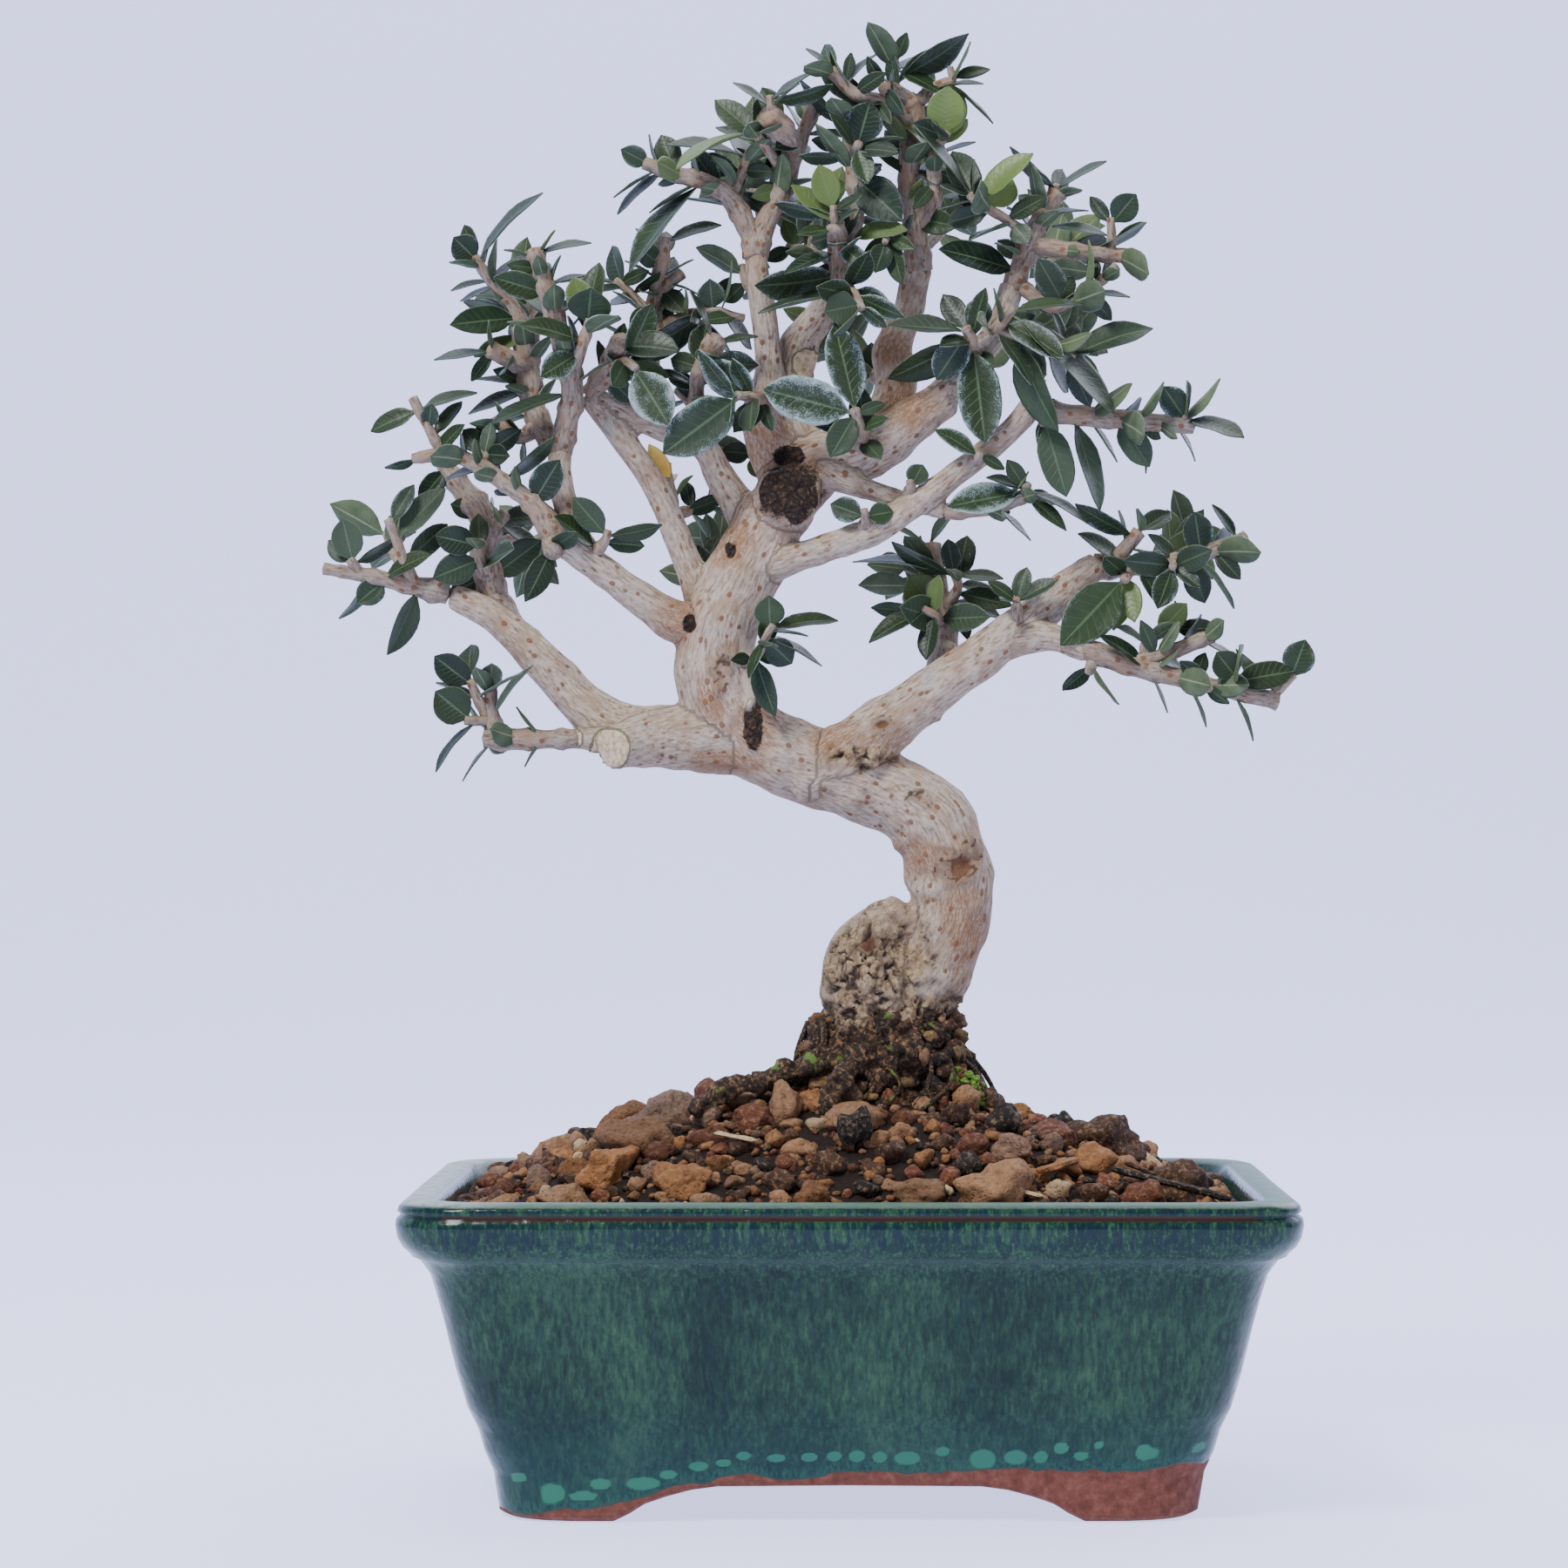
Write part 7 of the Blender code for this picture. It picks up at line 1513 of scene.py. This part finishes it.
def build_foot(materials):
    """Clods, rootlets and moss round the stem's foot."""
    rng = np.random.default_rng(40)
    angle = rng.uniform(0, 2 * math.pi, CLOD_COUNT)
    z = 78 + 22 * rng.random(CLOD_COUNT) ** 1.3
    radius = foot_radius(z) - rng.uniform(0.2, 2.6, CLOD_COUNT)
    lean = np.interp(z, (78, 100), (5.5, 8.6))
    size = rng.uniform(0.6, 2.4, CLOD_COUNT)
    clods = np.column_stack([lean + radius * np.cos(angle), radius * 0.86 * np.sin(angle), z, size,
                             size * rng.uniform(0.6, 1.0, CLOD_COUNT)])
    kinds = rng.choice([3, 5, 0, 1, 7], CLOD_COUNT, p=[0.44, 0.22, 0.10, 0.08, 0.16])
    verts, faces, values = stone_skins(clods, kinds, 2, 41, 0.30)
    crust = make_piece("root_crust", placed(verts), faces, materials[0], **values)
    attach(crust, "root")
    skins = []
    for number in range(ROOTLET_COUNT):
        turn = rng.uniform(0, 2 * math.pi)
        t = np.linspace(0, 1, 12)
        height = rng.uniform(86, 99) * (1 - t) + 74 * t
        away = foot_radius(height) + 0.3 + rng.uniform(0.0, 1.4) * np.sin(t * math.pi) + 3.5 * t ** 3
        swing = turn + 0.5 * rng.normal() * t + 0.14 * np.sin(t * rng.uniform(5, 11))
        centres = np.column_stack([FOOT_X + away * np.cos(swing), away * 0.86 * np.sin(swing), height])
        thick = rng.uniform(0.30, 0.80) * (1 - 0.5 * t)
        skins.append(sweep(centres, thick, 8, 0.25, number))
    verts, faces = joined(skins)
    rootlets = make_piece("rootlets", placed(verts), faces, materials[2],
                          limb=verts * 1.7, foot=np.full(len(verts), 0.95))
    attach(rootlets, "root")
    tufts = []
    for x, y, z, count, spread in MOSS_SPOTS:
        off = rng.normal(size=(count, 3)) * spread * (0.55, 0.6, 0.6)
        size = rng.uniform(0.5, 1.2, count)
        tufts.append(np.column_stack([off + (x, y, z), size, size * 0.8]))
    tufts = np.vstack(tufts)
    verts, faces, values = stone_skins(tufts, np.zeros(len(tufts)), 2, 43, 0.45)
    moss = make_piece("moss", placed(verts), faces, materials[1], **values)
    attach(moss, "root")


# bits that lie on the gravel: two ends (x, y), half width, half height, colour class
LITTER = [
    ((38, -44), (46, -36), 1.5, 0.8, 1), ((53, -36), (76, -47), 1.1, 0.8, 5),
    ((56, -30), (66, -33), 0.7, 0.5, 3), ((30, -50), (38, -52), 1.2, 0.5, 6),
    ((-27, -34), (-19, -38), 1.5, 0.5, 6), ((-2, -38), (4, -36), 2.6, 3.4, 5),
]


def build_litter(material):
    """Splinters, a twig and a block of charcoal: flattened boxes with broken ends along a line."""
    skins, values = [], []
    for number, ((x0, y0), (x1, y1), wide, high, kind) in enumerate(LITTER):
        t = np.linspace(0, 1, 14)
        x, y = x0 + (x1 - x0) * t, y0 + (y1 - y0) * t
        z = np.interp(t, (0, 1), (soil_height(x0, y0), soil_height(x1, y1))) + 3.0 + high * 0.5
        centres = np.column_stack([x, y, z])
        centres = centres + 0.25 * np.stack([noise3(centres * 0.4, k) for k in (1, 2, 3)], -1)
        reach = np.where((t < 0.04) | (t > 0.96), 0.55, 1.0) * wide
        skin, faces = sweep(centres, reach, 7, 0.3, 50 + number)
        middle = np.interp(skin[:, 0], np.sort([x0, x1]), (z[0], z[-1]) if x0 < x1 else (z[-1], z[0]))
        skin[:, 2] = middle + (skin[:, 2] - middle) * high / wide
        skins.append((skin, faces))
        values.append(np.full(len(skin), kind))
    verts, faces = joined(skins)
    litter = make_piece("litter", placed(verts), faces, material, smooth=False,
                        stone=np.concatenate(values), stone_mm=verts, lot=np.full(len(verts), 0.6))
    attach(litter, "root")

# %% [markdown]
# ## Materials
# Every colour is worked out by shader nodes from the values stored on the points: millimetres along and
# across a limb, the share along and across a blade, a stone's class, the height over the glaze's edge.

# %% Shader helper


class Graph:
    """A material's shader nodes, joined by short calls. A plain number or colour feeds a socket directly."""

    def __init__(self, name):
        self.material = bpy.data.materials.new(name)
        self.material.use_nodes = True
        self.nodes = self.material.node_tree.nodes
        self.links = self.material.node_tree.links
        self.shader = self.nodes["Principled BSDF"]

    def feed(self, socket, value):
        """Join an output to a socket, or set the socket's own value."""
        if isinstance(value, bpy.types.NodeSocket):
            self.links.new(value, socket)
        elif isinstance(value, tuple) and len(value) == 3 and socket.type == "RGBA":
            socket.default_value = (*value, 1.0)
        else:
            socket.default_value = value

    def point(self, name, vector=False):
        """A value stored on the points."""
        node = self.nodes.new("ShaderNodeAttribute")
        node.attribute_name = name
        return node.outputs["Vector" if vector else "Fac"]

    def math_step(self, operation, a, b=0.0, c=0.0, clamp=False):
        """One arithmetic step."""
        node = self.nodes.new("ShaderNodeMath")
        node.operation = operation
        node.use_clamp = clamp
        for socket, value in zip(node.inputs, (a, b, c)):
            self.feed(socket, value)
        return node.outputs[0]

    plus = partialmethod(math_step, "ADD")
    minus = partialmethod(math_step, "SUBTRACT")
    times = partialmethod(math_step, "MULTIPLY")
    times_plus = partialmethod(math_step, "MULTIPLY_ADD")
    over = partialmethod(math_step, "DIVIDE")
    power = partialmethod(math_step, "POWER")
    most = partialmethod(math_step, "MAXIMUM")
    size = partialmethod(math_step, "ABSOLUTE")
    sine = partialmethod(math_step, "SINE")

    def stretch(self, vector, scale):
        """A vector times three numbers."""
        node = self.nodes.new("ShaderNodeVectorMath")
        node.operation = "MULTIPLY"
        self.feed(node.inputs[0], vector)
        node.inputs[1].default_value = scale
        return node.outputs[0]

    def split(self, vector):
        """The three parts of a vector."""
        node = self.nodes.new("ShaderNodeSeparateXYZ")
        self.feed(node.inputs[0], vector)
        return node.outputs

    def noise(self, vector, scale, detail=3.0, rough=0.55):
        """Fractal noise round 0.5."""
        node = self.nodes.new("ShaderNodeTexNoise")
        self.feed(node.inputs["Vector"], vector)
        node.inputs["Scale"].default_value = scale
        node.inputs["Detail"].default_value = detail
        node.inputs["Roughness"].default_value = rough
        return node.outputs["Fac"]

    def cells(self, vector, scale, feature="F1"):
        """Distance in a pattern of scattered cells."""
        node = self.nodes.new("ShaderNodeTexVoronoi")
        node.feature = feature
        self.feed(node.inputs["Vector"], vector)
        node.inputs["Scale"].default_value = scale
        return node.outputs["Distance"]

    def ramp(self, value, *stops, constant=False):
        """Colours at rising places from 0 to 1."""
        node = self.nodes.new("ShaderNodeValToRGB")
        node.color_ramp.interpolation = "CONSTANT" if constant else "LINEAR"
        parts = node.color_ramp.elements
        while len(parts) < len(stops):
            parts.new(1.0)
        for part, (place, colour) in zip(parts, stops):
            part.position = place
            part.color = (*colour, 1.0)
        self.feed(node.inputs[0], value)
        return node.outputs[0]

    def rise(self, value, low, high, bottom=0.0, top=1.0):
        """A smooth rise between two values."""
        node = self.nodes.new("ShaderNodeMapRange")
        node.interpolation_type = "SMOOTHSTEP"
        self.feed(node.inputs["Value"], value)
        for key, number in (("From Min", low), ("From Max", high), ("To Min", bottom), ("To Max", top)):
            node.inputs[key].default_value = number
        return node.outputs[0]

    def mix(self, share, first, second, blend="MIX"):
        """Two colours mixed."""
        node = self.nodes.new("ShaderNodeMix")
        node.data_type = "RGBA"
        node.blend_type = blend
        self.feed(node.inputs[0], share)
        self.feed(node.inputs[6], first)
        self.feed(node.inputs[7], second)
        return node.outputs[2]

    def bump(self, height, strength, distance):
        """Fine relief on the skin, in metres."""
        node = self.nodes.new("ShaderNodeBump")
        self.feed(node.inputs["Height"], height)
        node.inputs["Strength"].default_value = strength
        node.inputs["Distance"].default_value = distance
        return node.outputs["Normal"]

    def finish(self, colour, rough, normal, **more):
        """Join colour, roughness and relief to the shader."""
        self.feed(self.shader.inputs["Base Color"], colour)
        self.feed(self.shader.inputs["Roughness"], rough)
        self.links.new(normal, self.shader.inputs["Normal"])
        for key, value in more.items():
            self.feed(self.shader.inputs[key.replace("_", " ")], value)
        return self.material


# %% [markdown]
# ## Bark
# Pale grey beige with fine stripes along the grain, rusty pores, dark cracked crusts, old cuts of pale
# wood and a foot stained by soil and moss. The cracks in the crusts and the burl and the creases between a
# knot's lobes are darkened with painted shade, and the burl's pale patches are painted highlights.

# %% Bark
def bark_material(name, young):
    """Bark of the trunk, or of the thin greyer twigs."""
    g = Graph(name)
    limb = g.point("limb", True)
    stripe = g.noise(g.stretch(limb, (0.28, 1.0, 1.0)), 1.5, 7.0, 0.70)
    patch = g.noise(limb, 0.16, 3.0)
    fine = g.noise(g.stretch(limb, (0.45, 1.6, 1.6)), 2.4, 4.0, 0.65)
    dark = (0.085, 0.055, 0.037) if young else (0.15, 0.092, 0.056)
    middle = (0.20, 0.145, 0.105) if young else (0.32, 0.235, 0.17)
    pale = (0.31, 0.25, 0.195) if young else (0.50, 0.41, 0.32)
    colour = g.ramp(stripe, (0.33, dark), (0.43, middle), (0.56, pale))
    colour = g.mix(g.rise(patch, 0.5, 0.66, 0.0, 0.6), colour, (0.30, 0.19, 0.115))
    colour = g.mix(g.rise(patch, 0.44, 0.30, 0.0, 0.4), colour, (0.36, 0.37, 0.34))
    pores = g.cells(g.stretch(limb, (0.30, 0.38, 0.38)), 1.0)
    pore = g.rise(pores, 0.23, 0.15)
    colour = g.mix(g.times(pore, 0.85), colour, (0.19, 0.075, 0.025))
    brown = g.times(g.point("brown"), g.rise(fine, 0.36, 0.60, 0.15, 0.85))
    colour = g.mix(brown, colour, (0.25, 0.115, 0.045))
    burl = g.point("burl")
    crackle = g.point("crackle")
    lump = g.noise(limb, 0.62, 5.0, 0.68)
    # painted highlight: the burl's colour runs by noise from nearly black through brown to a pale tan, and the
    # pale end stands in for highlights on its lumps
    burl_colour_and_painted_light = g.ramp(lump, (0.37, (0.04, 0.025, 0.013)), (0.47, (0.26, 0.165, 0.085)),
                         (0.62, (0.54, 0.41, 0.25)))
    # painted shade: the burl's sunken cracks are coloured nearly black
    burl_colour_and_painted_light = g.mix(g.rise(crackle, 0.25, 0.7, 0.0, 0.95), burl_colour_and_painted_light, (0.022, 0.014, 0.009))
    colour = g.mix(g.times(burl, 0.9), colour, burl_colour_and_painted_light)
    cracks = g.cells(g.stretch(limb, (0.5, 0.9, 0.9)), 0.55, "DISTANCE_TO_EDGE")
    crust = g.point("crust")
    crusty = g.rise(g.plus(crust, g.times(g.minus(fine, 0.5), 0.9)), 0.35, 0.62)
    crust_colour = g.ramp(g.noise(limb, 1.3, 5.0, 0.7),
                          (0.40, (0.008, 0.005, 0.004)), (0.52, (0.035, 0.018, 0.010)),
                          (0.62, (0.10, 0.05, 0.024)), (0.74, (0.28, 0.14, 0.055)))
    # painted shade: the edges of the crust's cells, which the bump sinks, are coloured nearly black over the
    # crust's own dark colour
    crust_colour = g.mix(g.rise(cracks, 0.10, 0.0, 0.0, 0.85), crust_colour, (0.012, 0.008, 0.006))
    colour = g.mix(crusty, colour, crust_colour)
    knot = g.point("knot")
    colour = g.mix(g.rise(knot, 0.20, 0.34, 0.0, 0.55), colour, (0.24, 0.16, 0.10))
    # painted shade: the creases between a knot's raised lobes are coloured dark brown
    crease_shade = g.times(g.rise(knot, 0.15, 0.30), g.rise(crackle, 0.45, 0.95, 0.0, 0.85))
    colour = g.mix(crease_shade, colour, (0.05, 0.028, 0.016))
    colour = g.mix(g.rise(knot, 0.62, 0.85, 0.0, 0.8), colour, (0.14, 0.06, 0.025))
    cut = g.point("cut")
    wood_colour = g.ramp(g.noise(limb, 0.9, 4.0, 0.6), (0.35, (0.42, 0.27, 0.14)), (0.6, (0.70, 0.56, 0.38)))
    colour = g.mix(g.rise(cut, 0.05, 0.25, 0.0, 0.8), colour, (0.10, 0.11, 0.05))
    colour = g.mix(g.rise(cut, 0.55, 0.66), colour, wood_colour)
    colour = g.mix(g.times(g.point("pale"), 0.85), colour, (0.72, 0.60, 0.45))
    foot = g.point("foot")
    soiled = g.rise(g.plus(foot, g.times(g.minus(stripe, 0.5), 1.4)), 0.3, 0.75)
    earth = g.ramp(g.noise(limb, 1.0, 5.0, 0.7), (0.40, (0.008, 0.005, 0.004)), (0.53, (0.05, 0.028, 0.016)),
                   (0.66, (0.28, 0.16, 0.07)))
    colour = g.mix(soiled, colour, earth)
    moss = g.rise(g.noise(limb, 0.22, 3.0), 0.60, 0.66)
    colour = g.mix(g.times(moss, g.rise(foot, 0.25, 0.6, 0.0, 0.8)), colour, (0.10, 0.20, 0.03))
    height = g.times_plus(stripe, 1.0, g.times(fine, 0.45))
    height = g.times_plus(crusty, g.rise(cracks, 0.0, 0.16, -0.9, 0.2), height)
    height = g.times_plus(pore, 0.45, height)
    height = g.times_plus(burl, fine, height)
    normal = g.bump(height, 0.9, 0.0007 if not young else 0.0004)
    return g.finish(colour, g.rise(stripe, 0.3, 0.7, 0.85, 0.68), normal, Specular_IOR_Level=0.3)


# %% [markdown]
# ## Leaf
# Dark blue-green and half glossy above, sage and matt below, with a pale midrib, a pale rim, faint side
# veins, and a white powder of dried water that gathers toward the margins.

# %% Leaf
def leaf_material():
    """Olive leaf, upper and lower side."""
    g = Graph("leaf")
    u, v, side = g.split(g.point("leaf_uv", True))
    mm = g.point("leaf_mm", True)
    powder, grey, young = g.split(g.point("tone", True))
    lot = g.point("lot")
    mottle = g.noise(mm, 0.30, 3.0)
    out = g.size(v)
    colour = g.ramp(g.times_plus(mottle, 0.6, g.times(lot, 0.4)),
                    (0.25, (0.002, 0.007, 0.003)), (0.5, (0.0045, 0.013, 0.006)),
                    (0.75, (0.015, 0.032, 0.013)))
    colour = g.mix(grey, colour, (0.042, 0.060, 0.047))
    colour = g.mix(young, colour, (0.12, 0.175, 0.045))
    veins = g.sine(g.times(g.minus(u, g.times(out, 0.16)), 62.0))
    vein = g.rise(veins, 0.86, 1.0)
    vein = g.times(vein, g.rise(out, 0.95, 0.5))
    colour = g.mix(g.times(vein, 0.15), colour, (0.10, 0.16, 0.09))
    rib = g.rise(out, 0.085, 0.03)
    colour = g.mix(g.times(rib, 0.5), colour, (0.10, 0.15, 0.08))
    rim = g.rise(out, 0.93, 0.985)
    colour = g.mix(g.times(rim, 0.55), colour, (0.19, 0.23, 0.15))
    speck = g.noise(mm, 4.5, 5.0, 0.8)
    patchy = g.noise(mm, 0.55, 2.0)
    reach = g.times_plus(powder, 0.205, g.times(g.power(out, 2.0), 0.20))
    level = g.plus(g.times(speck, 0.75), g.times_plus(patchy, 0.24, reach))
    dusty = g.rise(level, 0.74, 0.90, 0.0, 0.85)
    colour = g.mix(g.times(dusty, g.rise(powder, 0.0, 0.25)), colour, (0.34, 0.43, 0.42))
    sage = g.ramp(mottle, (0.3, (0.045, 0.070, 0.038)), (0.7, (0.095, 0.125, 0.075)))
    sage = g.mix(young, sage, (0.14, 0.19, 0.06))
    sage = g.mix(g.times(rib, 0.7), sage, (0.24, 0.27, 0.16))
    colour = g.mix(g.rise(side, 0.1, -0.1), colour, sage)
    yellow = g.point("yellow")
    colour = g.mix(yellow, colour, g.ramp(mottle, (0.3, (0.60, 0.30, 0.05)), (0.7, (0.68, 0.52, 0.12))))
    # stalk: the narrow start of the blade
    colour = g.mix(g.rise(u, 0.11, 0.05, 0.0, 0.75), colour, (0.20, 0.25, 0.12))
    height = g.times_plus(g.noise(mm, 0.9, 3.0), 0.5, g.times(vein, -0.35))
    height = g.times_plus(dusty, 0.2, height)
    normal = g.bump(height, 0.5, 0.0004)
    rough = g.plus(g.rise(side, 0.1, -0.1, 0.34, 0.68), g.times(dusty, 0.35), clamp=True)
    rough = g.times_plus(grey, 0.2, rough, clamp=True)
    return g.finish(colour, rough, normal, IOR=1.3)


# %% [markdown]
# ## Glaze and fired clay
# The pot was dipped at a tilt: its glaze ends in a wavy line, low at the left and high at the right, with
# mint green beads where it ran. Above it blue, teal and moss green streaks hang from the rim. The rim's top
# is dark green with a painted whitish highlight at its left end, a thin brown groove lies below it, and a
# painted shadow line runs under the rim's roll.

# %% Glaze
def glaze_material():
    """Running glaze over terracotta."""
    g = Graph("glaze")
    mm = g.point("glaze_mm", True)
    x, y, z = g.split(mm)
    dip = g.point("dip")
    streak = g.noise(g.stretch(mm, (0.9, 0.9, 0.10)), 1.0, 4.0, 0.6)
    cloud = g.noise(g.stretch(mm, (1.0, 1.0, 0.5)), 0.055, 3.0)
    fine = g.noise(g.stretch(mm, (1.0, 1.0, 0.4)), 1.6, 4.0, 0.7)
    value = g.times_plus(fine, 0.30, g.times_plus(streak, 0.45, g.times(cloud, 0.35)))
    colour = g.ramp(value, (0.44, (0.004, 0.016, 0.013)), (0.53, (0.009, 0.031, 0.020)),
                    (0.60, (0.017, 0.053, 0.030)), (0.72, (0.038, 0.090, 0.042)))
    blue = g.rise(g.noise(g.stretch(mm, (0.8, 0.8, 0.10)), 1.0, 3.0), 0.54, 0.68, 0.0, 0.35)
    colour = g.mix(blue, colour, (0.006, 0.024, 0.034))
    colour = g.mix(g.rise(z, 30.0, 8.0, 0.0, 0.35), colour, (0.008, 0.045, 0.050))
    upper = g.times(g.rise(z, 44.0, 59.0), g.rise(fine, 0.50, 0.66, 0.0, 0.6))
    colour = g.mix(upper, colour, (0.045, 0.115, 0.055))
    roll = g.times(g.rise(z, 54.5, 57.0), g.rise(streak, 0.40, 0.56, 0.75, 0.1))
    colour = g.mix(roll, colour, (0.007, 0.018, 0.028))
    bead = g.point("bead")
    low = g.times(g.rise(dip, 3.6, 0.8), g.rise(fine, 0.42, 0.60, 0.0, 0.55))
    colour = g.mix(low, colour, (0.018, 0.085, 0.065))
    colour = g.mix(g.rise(bead, 0.0, 0.25, 0.0, 0.92), colour, (0.028, 0.145, 0.085))
    outside = g.most(g.over(g.size(x), 88.7), g.over(g.size(y), 66.2))
    line = g.times(g.rise(g.size(g.minus(z, 62.1)), 0.75, 0.35), g.rise(outside, 0.995, 1.0))
    colour = g.mix(line, colour, (0.035, 0.018, 0.010))
    # painted shadow: a dark green line along the step under the rim's roll, at 53.7 mm
    groove = g.rise(g.size(g.minus(z, 53.7)), 0.7, 0.2, 0.0, 0.55)
    colour = g.mix(groove, colour, (0.02, 0.045, 0.035))
    top = g.rise(z, 63.9, 64.8)
    # painted highlight: the rim's top is whitish grey at its left end and glazed dark green elsewhere, with a
    # green mottle over both
    rim_glaze_and_highlight = g.mix(g.rise(x, -86.0, -60.0), (0.34, 0.38, 0.38), (0.07, 0.13, 0.10))
    rim_mottle = g.rise(g.noise(mm, 0.35, 5.0, 0.7), 0.46, 0.64, 0.0, 0.75)
    rim_glaze_and_highlight = g.mix(rim_mottle, rim_glaze_and_highlight, (0.10, 0.17, 0.10))
    colour = g.mix(g.times(top, 0.9), colour, rim_glaze_and_highlight)
    dirt = g.rise(g.noise(mm, 1.4, 3.0, 0.6), 0.64, 0.70)
    colour = g.mix(g.times(g.times(dirt, g.rise(z, 62.5, 64.5)), 0.8), colour, (0.06, 0.04, 0.025))
    clay = g.ramp(g.noise(mm, 0.5, 5.0, 0.65), (0.35, (0.10, 0.034, 0.022)), (0.55, (0.155, 0.052, 0.034)),
                  (0.72, (0.21, 0.085, 0.058)))
    bare = g.rise(g.times_plus(g.minus(fine, 0.5), 0.8, dip), 0.12, -0.12)
    edge = g.rise(g.size(dip), 0.7, 0.1, 0.0, 0.8)
    colour = g.mix(edge, colour, (0.03, 0.05, 0.035))
    colour = g.mix(bare, colour, clay)
    height = g.times_plus(g.noise(mm, 0.16, 2.0), 1.2, g.times(g.noise(mm, 1.7, 3.0), 0.10))
    height = g.times_plus(bare, g.times_plus(g.noise(mm, 3.0, 4.0), 0.25, -0.35), height)
    normal = g.bump(height, 0.5, 0.0006)
    rough = g.most(g.rise(fine, 0.3, 0.7, 0.10, 0.22), g.times(bare, 0.85))
    rough = g.most(rough, g.times(top, 0.42))
    return g.finish(colour, rough, normal, IOR=1.27)


# %% [markdown]
# ## Gravel and soil
# Seven kinds of stone share one material: a stone's class picks its colour, its own lot shifts it a little,
# and two noises add grain and dust. Class -1 is the dark moist soil between them.

# %% Gravel
def gravel_material():
    """Grit, pumice, lava and charcoal by class."""
    g = Graph("gravel")
    kind = g.point("stone")
    mm = g.point("stone_mm", True)
    lot = g.point("lot")
    colour = g.ramp(g.over(g.plus(kind, 1.25), 9.0), (0.0, (0.018, 0.010, 0.007)),
                    (0.12, (0.185, 0.100, 0.052)), (0.23, (0.19, 0.085, 0.032)),
                    (0.34, (0.095, 0.032, 0.017)), (0.45, (0.042, 0.020, 0.011)),
                    (0.56, (0.13, 0.080, 0.058)), (0.67, (0.010, 0.009, 0.009)),
                    (0.79, (0.42, 0.31, 0.18)), (0.89, (0.13, 0.085, 0.035)), constant=True)
    grain = g.noise(mm, 0.9, 5.0, 0.7)
    dust = g.times(g.rise(grain, 0.48, 0.7, 0.0, 0.4), g.rise(kind, -1.0, 0.0))
    colour = g.mix(dust, colour, (0.36, 0.23, 0.13))
    colour = g.mix(g.rise(grain, 0.48, 0.3, 0.0, 0.7), colour, (0.022, 0.012, 0.008))
    shade = g.ramp(lot, (0.0, (0.62, 0.58, 0.56)), (0.5, (1.0, 1.0, 1.0)), (1.0, (1.25, 1.18, 1.1)))
    colour = g.mix(1.0, colour, shade, "MULTIPLY")
    pits = g.cells(mm, 1.1)
    height = g.times_plus(grain, 1.0, g.times(g.rise(pits, 0.0, 0.45), 0.5))
    rough = g.rise(grain, 0.3, 0.7, 0.95, 0.75)
    return g.finish(colour, rough, g.bump(height, 0.8, 0.0006), Specular_IOR_Level=0.25)


def moss_material():
    """Bright low moss."""
    g = Graph("moss")
    mm = g.point("stone_mm", True)
    grain = g.noise(mm, 1.6, 4.0, 0.7)
    colour = g.ramp(grain, (0.35, (0.03, 0.07, 0.008)), (0.5, (0.12, 0.24, 0.02)), (0.7, (0.30, 0.45, 0.06)))
    return g.finish(colour, 0.9, g.bump(grain, 1.0, 0.0008))


def mesh_material():
    """Black plastic drain mesh, dusty with dried clay."""
    g = Graph("mesh_plastic")
    node = g.nodes.new("ShaderNodeTexCoord")
    mm = g.stretch(node.outputs["Object"], (1000.0, 1000.0, 1000.0))
    dust = g.rise(g.noise(mm, 0.7, 5.0, 0.7), 0.45, 0.7, 0.0, 0.6)
    colour = g.mix(dust, (0.012, 0.012, 0.013), (0.16, 0.10, 0.065))
    return g.finish(colour, g.rise(dust, 0.0, 0.6, 0.4, 0.85), g.bump(g.noise(mm, 2.0), 0.4, 0.0002))

# %% [markdown]
# ## Put together
# The pieces take the solids' places, and the drain nets keep their solids with a finer material.

# %% Build every piece
BARK = bark_material("bark", False)
TWIG = bark_material("young_bark", True)
LEAF = leaf_material()
GLAZE = glaze_material()
GRAVEL = gravel_material()
MOSS = moss_material()
build_wood(BARK)
total = sum(build_spray(node, spray, (LEAF, TWIG)) for node, spray in SPRAYS.items())
print("sprays", len(SPRAYS), "with", total, "faces")
build_pot(GLAZE)
build_ground((GRAVEL, MOSS))
build_foot((GRAVEL, MOSS, BARK))
build_litter(GRAVEL)
MESH_PLASTIC = mesh_material()
for name in ("drain_screen_left", "drain_screen_right"):
    screen = bpy.data.objects[name]
    screen.data.materials.clear()
    screen.data.materials.append(MESH_PLASTIC)
